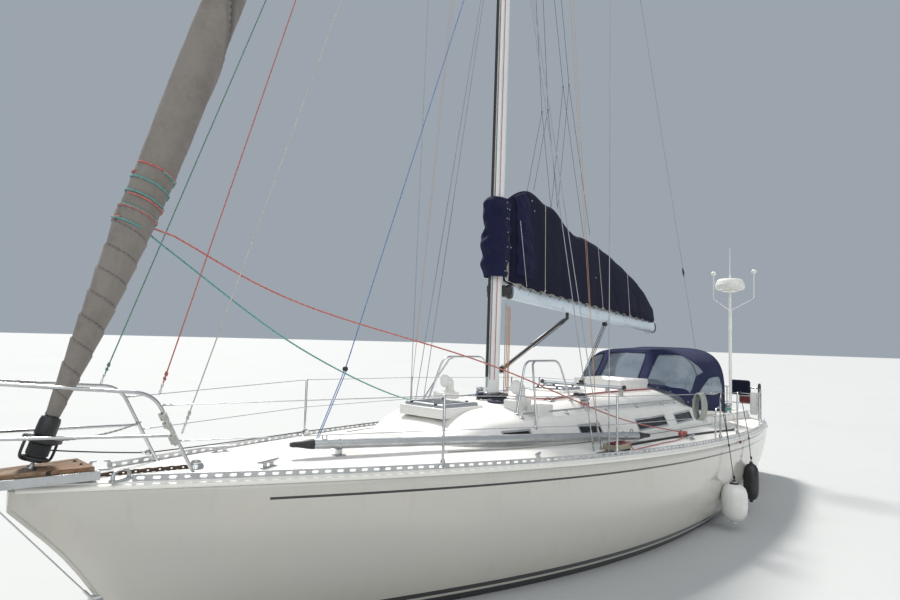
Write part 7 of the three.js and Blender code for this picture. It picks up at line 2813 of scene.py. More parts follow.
def shackle(place, way, size=1.0):
    """A snap shackle: an eye, a swivel and a bent bail."""
    way = Vector(way).normalized()
    across = way.orthogonal().normalized()
    bail = [
        place, place + way * 0.012 * size + across * 0.012 * size,
        place + way * 0.035 * size + across * 0.011 * size, place + way * 0.052 * size,
        place + way * 0.035 * size - across * 0.011 * size,
        place + way * 0.012 * size - across * 0.012 * size, place,
    ]
    return [
        tube("bail", bail, 0.0035 * size, 8),
        tube(
            "swivel", [place + way * a * size for a in (0.050, 0.054, 0.074, 0.078)],
            [0.004 * size, 0.009 * size, 0.009 * size, 0.004 * size], 10,
        ),
    ]


def knot(place, way, radius, turns=3, rope_r=0.005):
    """Turns of rope wound closely round a line, as a stopper or a bowline shows."""
    way = Vector(way).normalized()
    a = way.orthogonal().normalized()
    b = way.cross(a)
    line = []
    for k in range(turns * 12 + 1):
        t = 2 * math.pi * k / 12
        line.append(
            place + way * (k / 12 - turns / 2) * rope_r * 1.9 + (a * math.cos(t) + b * math.sin(t)) * radius
        )
    return tube("knot", line, rope_r, 8)


clips = []
for name, foot, head, material in (
    ("green_halyard", at(0.60, -0.318, 2.010), mast_at(15.0, 0.12, -0.02), green_rope),
    ("red_halyard", at(0.775, 0.332, 1.975), mast_at(16.0, 0.12, 0.02), red_rope),
    ("white_halyard", at(0.945, 0.345, 1.690), mast_at(13.3, 0.12, 0.0), white_rope),
):
    way = (head - foot).normalized()
    clips += shackle(foot, way)
    line = fit(tube(name, [foot + way * 0.08, head], 0.0052, 8), material)
    fit(
        joined(
            name + "_knot", [knot(foot + way * 0.15, way, 0.008), knot(foot + way * 0.115, way, 0.0075, 2)],
        ),
        material,
    )
fit(joined("halyard_shackles", clips), steel)

hitch = []
leg_low, leg_high = at(1.06, 0.34, 1.30), at(0.74, 0.33, 1.985)
leg_way = (leg_high - leg_low).normalized()
for height, count in ((1.655, 5), (1.76, 3), (1.82, 4)):
    hitch.append(
        knot(
            leg_low + leg_way * (height - 1.30) / leg_way.z + Vector((0.004, 0.006, 0)), leg_way, 0.022,
            count, 0.008,
        )
    )
hitch.append(tube("tail", flowing([
    leg_low + leg_way * 0.57 + Vector((0, 0.02, 0)), leg_low + leg_way * 0.50 + Vector((0.01, 0.035, 0)),
    leg_low + leg_way * 0.41 + Vector((0.0, 0.022, 0)),
], 6), 0.009, 8))
fit(joined("white_halyard_hitch", hitch), white_rope)

PADEYE = at(2.33, 0, deck_height(2.33, 0))
stay_block = at(2.645, 0, 2.108)
inner_head = mast_at(8.35, 0.11)
taut("blue_halyard", [stay_block, inner_head], 0.0058, blue_rope)
tackle = [
    tube("part", [PADEYE + Vector((0, y, 0.02)), stay_block + Vector((0, y * 1.3, -0.02))], 0.0048, 8)
    for y in (0.012, -0.012)
]
fit(joined("blue_tackle", tackle), blue_rope)
eye_parts = [
    turned("plate", [(30, -2), (30, 4), (12, 9)], PADEYE, sides=18),
    tube(
        "eye",
        cornered(
            [
                PADEYE + Vector((-0.018, 0, 0)), PADEYE + Vector((-0.018, 0, 0.038)),
                PADEYE + Vector((0.018, 0, 0.038)), PADEYE + Vector((0.018, 0, 0)),
            ],
            0.018,
        ),
        0.004, 8,
    ),
]
fit(joined("foredeck_eye", eye_parts), steel)


def rope_block(place, radius=0.024, axis=(0, 1, 0)):
    """A block: two round cheeks with a sheave between."""
    return revolved(
        "block",
        [
            (radius * 0.5, -0.016), (radius, -0.013), (radius, -0.006), (radius * 0.8, -0.005),
            (radius * 0.8, 0.005), (radius, 0.006), (radius, 0.013), (radius * 0.5, 0.016),
        ],
        place, axis, 18,
    )


fit(joined("tackle_blocks", [rope_block(stay_block), rope_block(PADEYE + above(0.055), 0.02)]), black_plastic)
print("Four halyards are clipped forward of the mast.")

# %% [markdown]
# The headsail's two sheets are wound round the rolled sail a few times, and lead aft to
# the cars on the side decks. Furling the sail winds a line onto the drum, and that line
# leads aft along the foot of the starboard rail. Where a rope wraps the sail it follows
# the sail's own radius, so the same function that shaped the cloth places the turns.

# %% Headsail sheets and furling line
def wraps(z0, z1, count, start_angle):
    """Turns of sheet lying on the rolled sail between two heights."""
    line = []
    steps = count * 28
    for k in range(steps + 1):
        z = z0 + (z1 - z0) * k / steps
        t = start_angle + 2 * math.pi * count * k / steps
        line.append(round_stay(z, t, sleeve_radius(z, t) + 0.006))
    return line


sheet_car = at(7.02, 1.50, deck_height(7.02, 1.50) + 0.062)
port_sheet = [
    at(0.79, 0.10, 3.19), at(1.945, 0.262, 2.690), at(3.925, 0.70, 2.185), at(5.818, 1.19, 1.545),
    sheet_car,
]
starboard_car = at(6.60, -1.49, deck_height(6.60, 1.49) + 0.062)
starboard_sheet = [
    at(0.78, -0.08, 3.16), at(2.20, -0.11, 2.300), at(4.02, -0.60, 1.700), at(5.3, -1.03, 1.62),
    starboard_car,
]
fit(tube("port_sheet", [*wraps(3.37, 3.19, 2, 0.4), *flowing(port_sheet, 10)[1:]], 0.0075, 8), red_rope)
fit(tube("starboard_sheet", [*wraps(3.61, 3.54, 1, 0.2)], 0.0075, 8), red_rope)
fit(
    tube("teal_sheet", [*wraps(3.585, 3.16, 4, 1.6), *flowing(starboard_sheet, 10)[1:]], 0.0075, 8),
    teal_rope,
)

lead = at(1.00, -0.375, deck_height(1.0, 0.375) + 0.075)
drum_side = stay_at(1.60) + Vector((-0.04, -0.065, 0))
furl_route = [drum_side, lead]
for s in POST_PLACES:
    furl_route.append(rail_foot(s, 0.055, -1) + Vector((0, 0.032, 0)))
furl_route.append(at(10.4, -1.43, deck_height(10.4, 1.43) + 0.05))
taut("furling_line", furl_route, 0.005, black_rope, sag=0.006)
lead_blocks = [rope_block(place, 0.022, (0, 1, 0)) for place in furl_route[1:-1]]
fit(joined("furling_leads", lead_blocks), steel)
fit(
    turned(
        "furling_bead", [(6, -16), (14, -10), (17, 0), (14, 10), (6, 16)],
        lead + Vector((0.05, 0.02, 0.015)), (1, 0.35, 0), 16,
    ),
    white_plastic,
)
deck_cleat = cleat(furl_route[-1] + Vector((-0.03, 0, -0.05)), 0.12, 0.1)
fit(deck_cleat, black_plastic)
twist = []
twist_from, twist_to = stay_at(1.66) + Vector((-0.05, -0.06, 0)), at(0.915, -0.332, 1.70)
for phase in (0, math.pi):
    line = []
    for k in range(61):
        t = k / 60
        p = twist_from.lerp(twist_to, t) - above(0.035 * 4 * t * (1 - t))
        angle = phase + 2 * math.pi * 9 * t
        line.append(p + Vector((0, math.cos(angle), math.sin(angle))) * 0.0045)
    twist.append(tube("strand", line, 0.0042, 6))
fit(joined("drum_lashing", twist), pale_rope)
car_turns = [
    knot(sheet_car + Vector((dx, dy, -0.015)), way, r, 4, 0.0075)
    for dx, dy, way, r in (
        (0.0, 0.022, (1, 0.2, 0), 0.024), (0.075, 0.016, (1, 0.1, 0.2), 0.018),
        (-0.075, 0.014, (1, -0.3, 0.1), 0.020), (0.03, 0.03, (0.3, 1, 0.2), 0.016),
    )
]
tail = [
    sheet_car + Vector((-0.02, 0.03, -0.03)),
    *[on_deck(s, y, 0.009) for s, y in ((6.7, 1.585), (6.2, 1.592), (5.7, 1.598), (5.47, 1.59))],
    at(5.42, 1.57, deck_height(5.4, 1.5) + 0.078), at(5.36, 1.54, deck_height(5.4, 1.5) + 0.07),
]
fit(joined("port_sheet_tail", [*car_turns, tube("tail", flowing(tail, 6), 0.0065, 8)]), red_rope)
print("The port sheet is", round(length_of(port_sheet), 1), "m from the sail to its car.")

# %% [markdown]
# Beside the mast hang the halyard tails and the reefing lines, and the lazy jacks hold the cover up on both
# sides of the boom. Lines that ride on the boom turn with it. The mainsheet joins two bodies: its upper block
# rides on the boom and its lower block stays on the deck, while its falls are attached to neither body.

# %% Mast lines and lazy jacks
for name, ahead, y, low, high, radius, material in (
    ("pole_lift", 0.118, 0.040, 2.02, 12.2, 0.0050, white_rope),
    ("flag_line", 0.128, 0.022, 1.86, 14.0, 0.0045, black_rope),
    ("topping_lift", 0.122, 0.060, 1.95, 13.2, 0.0042, navy_rope),
    ("mast_side_line", 0.060, 0.083, 1.95, 14.2, 0.0050, red_rope),
    ("tan_halyard", -0.158, 0.085, 1.76, 2.86, 0.0058, tan_rope),
    ("orange_halyard", -0.172, 0.100, 1.75, 2.86, 0.0055, orange_rope),
    ("pale_halyard", -0.138, 0.075, 1.76, 2.90, 0.0055, pale_rope),
    ("rose_halyard", -0.178, 0.115, 1.75, 2.84, 0.0050, tan_rope),
):
    taut(name, [mast_at(low, ahead, y), mast_at(high, ahead, y)], radius, material)

jacks, legs_down, front_legs = [], [], []
for side in (1, -1):
    bridles = (
        ((5.930, 5.645), 12.6, ((5.62, 4.44), (6.21, 4.30))),
        ((6.456, 6.178), 12.6, ((6.21, 4.34), (7.105, 4.05))),
    )
    for (s, z), top, legs in bridles:
        ring = at(s, side * 0.05, z)
        jacks.append(tube("jack", evenly([ring, mast_at(top, -0.10, side * 0.085)], 0.3), 0.0032, 6))
        for leg_s, leg_z in legs:
            jacks.append(tube("leg", [ring, at(leg_s, side * 0.055, leg_z)], 0.003, 6))
        jacks.append(turned("ring", [(3, -4), (13, -3), (13, 3), (3, 4)], ring, (0, 1, 0), 12))
    collar_line = [at(5.147, side * 0.198, 3.945), at(5.348, side * 0.172, 3.122)]
    front_legs.append(tube("leg", evenly(collar_line, 0.04), 0.0038, 6))
    for top_s, top_z, foot_s, foot_z in (
        (5.728, 4.27, 5.766, 3.103), (7.105, 4.05, 7.32, 2.96), (8.06, 3.70, 8.20, 2.86),
    ):
        legs_down.append(
            tube(
                "leg", evenly([at(top_s, side * 0.178, top_z), at(foot_s, side * 0.172, foot_z)], 0.3),
                0.0038, 6,
            )
        )
        legs_down.append(
            turned(
                "eye", [(3, -4), (12, -3), (12, 3), (3, 4)], at(foot_s, side * 0.172, foot_z), (0, 1, 0),
                12,
            )
        )
        foot_d = foot_s - (STEM_X - at(PIN_S, 0, 0).x)
        legs_down.append(
            tube(
                "strop", [at(foot_s, side * 0.172, foot_z), boom_at(foot_d, -0.02, side * 0.064)], 0.003, 6,
            )
        )
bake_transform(fit(joined("lazy_jacks", jacks), navy_rope, None))
fit(joined("lazy_jack_legs", legs_down), white_rope, "boom")
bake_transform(fit(joined("collar_lines", front_legs), white_rope, None))

SHEET_D = 2.60
sheet_top = boom_at(SHEET_D, -0.13)
sheet_foot = at(7.02, 0, 1.86)
falls = []
for k, (y, x) in enumerate(((0.028, 0.0), (0.010, 0.012), (-0.010, -0.012), (-0.028, 0.0))):
    a = sheet_foot + Vector((x, y, 0))
    b = sheet_top + Vector((x, y, 0))
    falls.append(tube("fall", [a.lerp(b, t / 12) for t in range(13)], 0.0048, 8))
mainsheet = fit(joined("mainsheet", falls), navy_rope, None)
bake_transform(mainsheet)
fit(
    joined(
        "mainsheet_upper_block",
        [rope_block(sheet_top + Vector((0, y, 0.0)), 0.032) for y in (-0.018, 0.018)],
    ),
    black_plastic, "boom",
)
fit(
    joined(
        "mainsheet_lower_block",
        [rope_block(sheet_foot + Vector((0, y, -0.005)), 0.032) for y in (-0.018, 0.018)],
    ),
    black_plastic,
)
print("The mainsheet has four falls.")

# %% [markdown]
# From the mast's foot the halyards run aft under the canvas, through turning blocks and
# a row of clutches beside the winch. Safety lines of webbing lie along both side decks.

# %% Lines on the deck and roof
for side in (1, -1):
    jack_s = (3.30, 4.4, 5.6, 6.8, 8.0, 9.0)
    webbing = []
    for s in jack_s:
        y = side * (TRUNK["half"](max(s, 3.4)) + 0.13)
        webbing.append(at(s, y, deck_height(s, y) + 0.006))
    taut("safety_line_port" if side > 0 else "safety_line_starboard", flowing(webbing, 6), 0.005, pale_rope)
roof_lines = []
for k, y in enumerate((0.475, 0.505, 0.53)):
    line = [
        mast_at(1.76, -0.05, 0.10 + 0.02 * k), on_roof(5.15, 0.22 + 0.03 * k, 0.022),
        on_roof(5.42, y, 0.020),
    ]
    line += [on_roof(s, y + 0.012 * (s - 5.4), 0.020) for s in (5.7, 6.1, 6.6, 7.1, 7.6, 8.15)]
    roof_lines.append(line)
for line, material, name in zip(roof_lines, (red_rope, navy_rope, red_rope), ("first", "second", "third")):
    fit(tube(name + "_roof_line", flowing(line, 4), 0.0052, 8), material)
starboard_lines = [tube("line", flowing(mirror(line), 4), 0.0052, 8) for line in roof_lines]
fit(joined("starboard_roof_lines", starboard_lines), blue_rope)
print(len(roof_lines) * 2, "lines lead aft over the roof.")

# %% [markdown]
# The dodger is a canvas shelter over the companionway. Two bent tubes hold the cloth
# out, and clear vinyl panes are sewn into it so that the crew can see forward. Cloth
# and vinyl share one surface here: a grid is laid over the arches, and a rule decides
# for each face which of the two it is. Both take the same places, so no gap shows.

# %% Dodger shape
# s, half width, foot, crown, squareness
ARCHES = (
    (8.29, 1.04, 1.56, 1.80, 0.50), (8.86, 1.00, 1.42, 2.35, 0.24), (9.95, 1.05, 1.33, 2.39, 0.24),
)
ARCH_MIDDLE = 1.75


def arch_row(s):
    """The arch's half width, foot, crown and squareness, straight between the bows."""
    for low, high in zip(ARCHES, ARCHES[1:]):
        if s <= high[0]:
            t = (s - low[0]) / (high[0] - low[0])
            return [a + (b - a) * t for a, b in zip(low[1:], high[1:])]
    return list(ARCHES[-1][1:])


def dodger_point(s, turn, inset=0.0):
    """A place on the dodger: turn is 0 at the port foot and 1 at the starboard foot."""
    half, foot, crown, square = arch_row(s)
    angle = math.pi * turn
    sine, cosine = math.sin(angle), math.cos(angle)
    y = (half - inset) * math.copysign(abs(cosine) ** (2 * square), cosine)
    z = foot + (crown - inset - foot) * abs(sine) ** (2 * square)
    return at(s, y, z)


FRONT_STEPS, TOP_STEPS, ROUND_STEPS = 34, 58, 150
dodger_stations = [8.29 + 0.57 * k / FRONT_STEPS for k in range(FRONT_STEPS)]
dodger_stations += [8.86 + 1.09 * k / TOP_STEPS for k in range(TOP_STEPS + 1)]


def even_turns(s, count):
    """Turns that share the arch's length out evenly."""
    fine = [dodger_point(s, k / 400) for k in range(401)]
    far = lengths_along(fine)
    turns, k = [], 0
    for j in range(count + 1):
        goal = far[-1] * j / count
        while k < 399 and far[k + 1] < goal:
            k += 1
        turns.append((k + (goal - far[k]) / max(far[k + 1] - far[k], 1e-9)) / 400)
    return turns


# Corners as places along the boat and turns round the arch
PANES = {
    "centre": ((8.790, 0.583), (8.800, 0.488), (8.310, 0.428), (8.330, 0.648)),
    "port": (
        (8.780, 0.443), (8.860, 0.320), (9.010, 0.215), (9.220, 0.123), (8.570, 0.065), (8.370, 0.215),
        (8.305, 0.382),
    ),
    "starboard": ((8.810, 0.630), (8.850, 0.740), (8.860, 0.850), (8.330, 0.905), (8.325, 0.688)),
    "port_side": ((9.380, 0.095), (9.790, 0.102), (9.900, 0.022), (9.450, 0.016), (8.900, 0.022)),
    "starboard_side": ((9.380, 0.905), (9.790, 0.898), (9.900, 0.978), (9.450, 0.984), (8.900, 0.978)),
}


def inside(place, outline):
    """Whether a flat place lies inside an outline."""
    x, y = place
    hit = False
    for (ax, ay), (bx, by) in zip(outline, outline[1:] + outline[:1]):
        if (ay > y) != (by > y) and x < ax + (y - ay) * (bx - ax) / (by - ay):
            hit = not hit
    return hit


dodger_grid = []
for s in dodger_stations:
    dodger_grid.append([(s, turn) for turn in even_turns(s, ROUND_STEPS)])


def off_arch(s, turn, lift):
    """A place near the arch, moved out by soft ripples that fade at its feet, and by lift."""
    place = dodger_point(s, turn)
    out = (place - at(s, 0, ARCH_MIDDLE)).normalized()
    ripple = noise.noise(place * 3.1) * 0.006 + noise.noise(place * 9.0) * 0.0022
    return place + out * (ripple * min(1, 8 * turn, 8 * (1 - turn)) + lift), out


def dodger_surface(name, wanted, inset=0.0):
    """The faces of the shared grid that a rule picks out."""
    keep, points, faces = {}, [], []

    def number(j, k):
        if (j, k) not in keep:
            keep[(j, k)] = len(points)
            points.append(off_arch(*dodger_grid[j][k], -inset)[0])
        return keep[(j, k)]

    for j in range(len(dodger_grid) - 1):
        for k in range(ROUND_STEPS):
            s = (dodger_grid[j][k][0] + dodger_grid[j + 1][k + 1][0]) / 2
            turn = (dodger_grid[j][k][1] + dodger_grid[j + 1][k + 1][1]) / 2
            if wanted(s, turn):
                faces.append((number(j, k), number(j + 1, k), number(j + 1, k + 1), number(j, k + 1)))
    return smooth(new_mesh(name, points, faces), 60)


def is_pane(s, turn):
    return any(inside((s, turn), outline) for outline in PANES.values())


cloth = dodger_surface("dodger_canvas", lambda s, turn: not is_pane(s, turn))
thickened(cloth, CANVAS_THICK)
dodger_navy = canvas("dodger_navy", (0.015, 0.020, 0.062))
fit(cloth, dodger_navy, replaces=["dodger_cloth"])
vinyl = dodger_surface("dodger_vinyl", is_pane, 0.002)
thickened(vinyl, 0.0012)


def make_vinyl():
    """Clear sheet with a blue-grey cast, cloudy from handling."""
    material, tree, shader = start("clear_vinyl", (0.27, 0.32, 0.38), 0.07)
    haze = effect(
        tree, "weathering", Colour=(0.27, 0.32, 0.38), Stain=(0.17, 0.21, 0.26), Scale=3.0, Amount=0.6,
    )
    tree.links.new(haze.outputs["Colour"], shader.inputs["Base Color"])
    shader.inputs["Transmission Weight"].default_value = 0.72
    shader.inputs["Metallic"].default_value = 0.0
    shader.inputs["IOR"].default_value = 1.38
    return material


clear_vinyl = make_vinyl()
fit(vinyl, clear_vinyl, replaces=["dodger_windows"])

# %% [markdown]
# Sewn bands border each pane, an edge cord runs round the dodger's foot and its aft
# end, and snaps hold the foot to the roof. Bands are thin strips that lie just outside
# the cloth, so their edges catch the light as real seams do.

# %% Dodger bows, seams and snaps
def arch_line(s, inset, count=60, turn0=0.0, turn1=1.0):
    return [dodger_point(s, turn0 + (turn1 - turn0) * k / count, inset) for k in range(count + 1)]


def dodger_band(name, route, wide, lift=0.0035):
    """A strip along places of (s, turn), just off the cloth."""
    rows = []
    for k, (s, turn) in enumerate(route):
        a, b = route[max(k - 1, 0)], route[min(k + 1, len(route) - 1)]
        here, out = off_arch(s, turn, lift)
        way = (dodger_point(*b) - dodger_point(*a)).normalized()
        across = way.cross(out).normalized() * wide / 2
        rows.append([here + across - out * 0.003, here + across, here - across, here - across - out * 0.003])
    return loft(name, rows)


def surface_route(corners, steps=14):
    """A route of (s, turn) that joins corners given as (s, turn)."""
    route = []
    for a, b in zip(corners, corners[1:]):
        for k in range(steps):
            t = k / steps
            route.append((a[0] + (b[0] - a[0]) * t, a[1] + (b[1] - a[1]) * t))
    return route + [corners[-1]]


bows = [tube("bow", arch_line(s, 0.024), 0.0125, 12) for s in (8.96, 9.95)]
for side in (1, -1):
    bows.append(tube("strut", [at(9.95, side * 0.995, 1.95), at(8.96, side * 0.952, 1.95)], 0.011, 10))
    for s in (8.96, 9.95):
        foot = dodger_point(s, 0.0 if side > 0 else 1.0, 0.024)
        bows.append(turned("foot", [(30, -4), (30, 6), (16, 20)], foot, sides=16))
fit(joined("dodger_bows", bows), steel, replaces=["dodger_frame"])

bands = []
for outline in PANES.values():
    bands.append(dodger_band("band", surface_route([*outline, outline[0]], 16), 0.030))
fit(joined("dodger_bands", bands), dodger_navy)

edge_cord = [
    tube("edge", arch_line(9.952, -0.002), 0.0065, 8),
    tube("edge", arch_line(8.288, -0.001), 0.0055, 8),
]
for turn in (0.0, 1.0):
    edge_cord.append(tube("edge", [dodger_point(s, turn, -0.001) for s in dodger_stations[::4]], 0.0055, 8))
fit(joined("dodger_edge_cord", edge_cord), dodger_navy)

SNAP_PROFILE = [(8.5, -1), (8.5, 4), (5, 6.5), (1, 7)]
snaps = []
for turn in (0.148, 0.218, 0.305, 0.40, 0.50, 0.60, 0.695, 0.782, 0.852):
    snaps.append(turned("snap", SNAP_PROFILE, dodger_point(8.296, turn), (1, 0, 0.35), 12))
for s in (8.42, 8.62, 8.84, 9.1, 9.4, 9.7):
    for side in (1, -1):
        p = dodger_point(s, 0.025 if side > 0 else 0.975)
        snaps.append(turned("snap", SNAP_PROFILE, p, (0, side, 0.1), 12))
fit(joined("dodger_snaps", snaps), white_plastic)
VENT_S, VENT_TURN = 8.60, 0.845
vent_spot = dodger_point(VENT_S, VENT_TURN)
vent_round = dodger_point(VENT_S, 0.86) - dodger_point(VENT_S, 0.83)
vent_way = vent_round.cross(dodger_point(8.64, VENT_TURN) - dodger_point(8.56, VENT_TURN))
vent_way = vent_way if vent_way.x > 0 else -vent_way
vent = turned(
    "dodger_vent", [(1, 0), (68, 2), (68, 7), (52, 12), (12, 14), (1, 14.5)], vent_spot, vent_way, 28,
)
fit(vent, white_plastic)
print(len(snaps), "snaps hold the dodger's foot.")

# %% [markdown]
# A winch is a turned drum with a rough waist, a base and a self-tailing jaw on top.
# Turning one profile gives the whole drum, and fine ribs on the waist are thin upright rods round it. Each
# winch holds a few turns of rope, wound tight.

# %% Winches and clutches
WINCH = (
    (0.062, 0), (0.064, 0.004), (0.064, 0.016), (0.060, 0.022), (0.050, 0.026), (0.0465, 0.046),
    (0.0455, 0.090), (0.052, 0.098), (0.0615, 0.104), (0.0615, 0.109), (0.049, 0.112), (0.049, 0.115),
    (0.0615, 0.118), (0.0615, 0.124), (0.052, 0.128), (0.030, 0.131), (0.014, 0.132), (0.014, 0.124),
    (0.001, 0.124),
)


def winch(place, size):
    """A chromed drum: its parts, with grip ribs round the waist."""
    parts = [revolved("drum", [(r * size, h * size * 1.08) for r, h in WINCH], place, sides=40)]
    for angle in circle(28):
        out = Vector((math.cos(angle), math.sin(angle), 0)) * 0.0462 * size
        parts.append(
            tube(
                "rib", [place + out + above(0.05 * size), place + out + above(0.096 * size)], 0.0022 * size,
                5,
            )
        )
    parts.append(
        deck_block(
            "arm", STEM_X - place.x - 0.012, STEM_X - place.x + 0.012, place.y + 0.048 * size,
            place.y + 0.066 * size, place.z + 0.112 * size, place.z + 0.136 * size, 0.004,
        )
    )
    return parts


def winch_turns(place, size, count, rope_r=0.0055):
    """Turns of rope wound tight round a winch's waist."""
    line = []
    for k in range(count * 24 + 1):
        t = 2 * math.pi * k / 24
        line.append(
            place + Vector((math.cos(t), math.sin(t), 0)) * (0.0475 * size + rope_r)
            + above(0.052 * size + rope_r * 2.05 * k / 24)
        )
    return tube("turns", line, rope_r, 8)


for side, label in SIDES:
    roof_spot = at(5.68, side * 0.838, 1.612)
    fit(joined("roof_winch_" + label, winch(roof_spot, 1.05)), steel)
    fit(winch_turns(roof_spot, 1.05, 3), red_rope if side > 0 else blue_rope)
    pad = turned("winch_pad", [(82, -50), (80, 0), (70, 4)], roof_spot, sides=30)
    fit(pad, white_plastic)
    coaming_spot = at(10.28, side * 0.985, 1.31 - 0.08 * (10.28 - 9.08) / 2.54 - 0.006)
    fit(
        joined("cockpit_winch_" + label, winch(coaming_spot, 1.25)), steel,
        replaces=["primary_winch_" + label],
    )
    fit(winch_turns(coaming_spot, 1.25, 3, 0.0065), teal_rope)
    clutches, levers = [], []
    for k, y in enumerate((0.475, 0.513, 0.551)):
        low = roof_height(6.12, y)
        spots = sorted((side * (y - 0.016), side * (y + 0.016)))
        clutches.append(deck_block("clutch", 6.03, 6.21, spots[0], spots[1], low - 0.004, low + 0.046, 0.008))
        levers.append(
            tube(
                "lever",
                [
                    at(6.17, side * y, low + 0.050), at(6.09, side * y, low + 0.062),
                    at(6.02, side * y, low + 0.060),
                ],
                [0.007, 0.009, 0.006], 8,
            )
        )
    fit(joined("rope_clutches_" + label, clutches), black_plastic)
    fit(joined("clutch_levers_" + label, levers), white_plastic)
    organiser = [
        deck_block(
            "base", 5.36, 5.46, *sorted((side * 0.45, side * 0.56)), roof_height(5.41, 0.5) - 0.004,
            roof_height(5.41, 0.5) + 0.010, 0.003,
        )
    ]
    for y in (0.475, 0.505, 0.535):
        organiser.append(
            turned(
                "sheave", [(14, 0), (14, 6), (10, 10), (10, 20), (14, 24), (14, 30), (4, 32)],
                at(5.41, side * y, roof_height(5.41, 0.5) + 0.008), sides=16,
            )
        )
    fit(joined("deck_organiser_" + label, organiser), steel)
print("Four winches and six clutches are on.")

# %% [markdown]
# The pole stows on the port side deck, held by a chock at each end. Its ends are cast
# fittings with a jaw and a piston, and its tube is alloy. Genoa tracks carry the
# cars that the sheets lead through, each with a plunger and a sheave.

# %% Pole, tracks, cars and traveller
POLE_FRONT, POLE_BACK, POLE_R = at(1.90, 0.26, 1.50), at(6.06, 1.50, 1.345), 0.046
pole_way = (POLE_BACK - POLE_FRONT).normalized()
pole_long = (POLE_BACK - POLE_FRONT).length
pole_tube = [
    (0.032, 0.20), (0.0455, 0.205), (0.0462, 0.215), (0.0458, pole_long / 2), (0.0462, pole_long - 0.215),
    (0.0455, pole_long - 0.205), (0.032, pole_long - 0.20),
]
fit(
    revolved("pole_tube", pole_tube, POLE_FRONT, pole_way, 32), alloy,
    replaces=["spinnaker_pole"],
)
pole_ends, pole_chocks = [], []
for start_at, way in ((POLE_FRONT, pole_way), (POLE_BACK, -pole_way)):
    pole_ends.append(
        turned(
            "casting",
            [(6, 2), (19, 0), (25, 20), (26, 60), (31, 100), (40, 150), (44.5, 190), (45, 216), (40, 220)],
            start_at, way, 24,
        )
    )
    for turn in (0, math.pi / 2, math.pi, 1.5 * math.pi):
        sideways = way.orthogonal().normalized()
        other = way.cross(sideways)
        spot = start_at + way * 0.207 + (sideways * math.cos(turn) + other * math.sin(turn)) * 0.045
        pole_ends.append(
            turned(
                "rivet", [(4, 0), (3, 2), (0.5, 2.8)], spot,
                sideways * math.cos(turn) + other * math.sin(turn), 8,
            )
        )
    eye_at = start_at + way * 0.30 + above(0.046)
    pole_ends.append(
        tube(
            "eye",
            cornered(
                [
                    eye_at - way * 0.02, eye_at - way * 0.02 + above(0.028),
                    eye_at + way * 0.02 + above(0.028), eye_at + way * 0.02,
                ],
                0.012,
            ),
            0.004, 8,
        )
    )
fit(joined("pole_ends", pole_ends), black_plastic)
for t in (0.1, 0.9):
    p = POLE_FRONT.lerp(POLE_BACK, t)
    s = STEM_X - p.x
    deck_z = deck_height(s, p.y)
    pole_chocks.append(
        deck_block(
            "post", s - 0.025, s + 0.025, p.y - 0.020, p.y + 0.020, deck_z - 0.004, p.z - 0.044, 0.005,
        )
    )
    pole_chocks.append(
        deck_block(
            "foot", s - 0.05, s + 0.05, p.y - 0.045, p.y + 0.045, deck_z - 0.004, deck_z + 0.008, 0.003,
        )
    )
    ring = []
    upright = above(1)
    across = pole_way.cross(upright).normalized()
    up = across.cross(pole_way).normalized()
    for k in range(25):
        angle = 2 * math.pi * k / 24
        ring.append(p + (across * math.cos(angle) + up * math.sin(angle)) * (POLE_R + 0.003))
    pole_chocks.append(tube("band", ring, 0.004, 8))
fit(joined("pole_chocks", pole_chocks), steel)

GENOA_FRONT, GENOA_LONG, GENOA_Y, GENOA_FLARE = 5.48, 3.42, 1.462, 0.083


def genoa_y(s):
    """How far the genoa rail lies from the middle line."""
    return GENOA_Y + GENOA_FLARE * (s - GENOA_FRONT) / GENOA_LONG


cars, car_wheels = [], []
for side, label in SIDES:
    rows = []
    for k in range(61):
        t = k / 60
        s, y = GENOA_FRONT + GENOA_LONG * t, GENOA_Y + GENOA_FLARE * t
        z = deck_height(s, y)
        profile = [
            (-0.016, -0.003), (0.016, -0.003), (0.016, 0.004), (0.007, 0.006), (0.007, 0.014),
            (0.016, 0.016), (0.016, 0.021), (-0.016, 0.021), (-0.016, 0.016), (-0.007, 0.014),
            (-0.007, 0.006), (-0.016, 0.004),
        ]
        rows.append([at(s, side * (y + dy), z + dz) for dy, dz in profile])
    fit(loft("genoa_rail_" + label, rows, 30), black_plastic, replaces=["genoa_track_" + label])
    for s in ((7.02,) if side > 0 else (6.60,)):
        y = side * genoa_y(s)
        z = deck_height(s, y)
        cars.append(
            deck_block("car", s - 0.055, s + 0.055, y - 0.021, y + 0.021, z + 0.023, z + 0.040, 0.005)
        )
        cars.append(
            deck_block("cheek", s - 0.028, s + 0.028, y - 0.018, y - 0.012, z + 0.036, z + 0.085, 0.005)
        )
        cars.append(
            deck_block("cheek", s - 0.028, s + 0.028, y + 0.012, y + 0.018, z + 0.036, z + 0.085, 0.005)
        )
        car_wheels.append(
            turned("sheave", [(24, -11), (18, -4), (18, 4), (24, 11)], at(s, y, z + 0.062), (0, 1, 0), 20)
        )
        for end in (5.50, 8.88):
            yy = side * genoa_y(end)
            cars.append(
                deck_block(
                    "stop", end - 0.015, end + 0.015, yy - 0.020, yy + 0.020, deck_height(end, yy) + 0.016,
                    deck_height(end, yy) + 0.034, 0.004,
                )
            )
fit(joined("genoa_cars", cars), steel)
fit(joined("genoa_car_sheaves", car_wheels), black_plastic)

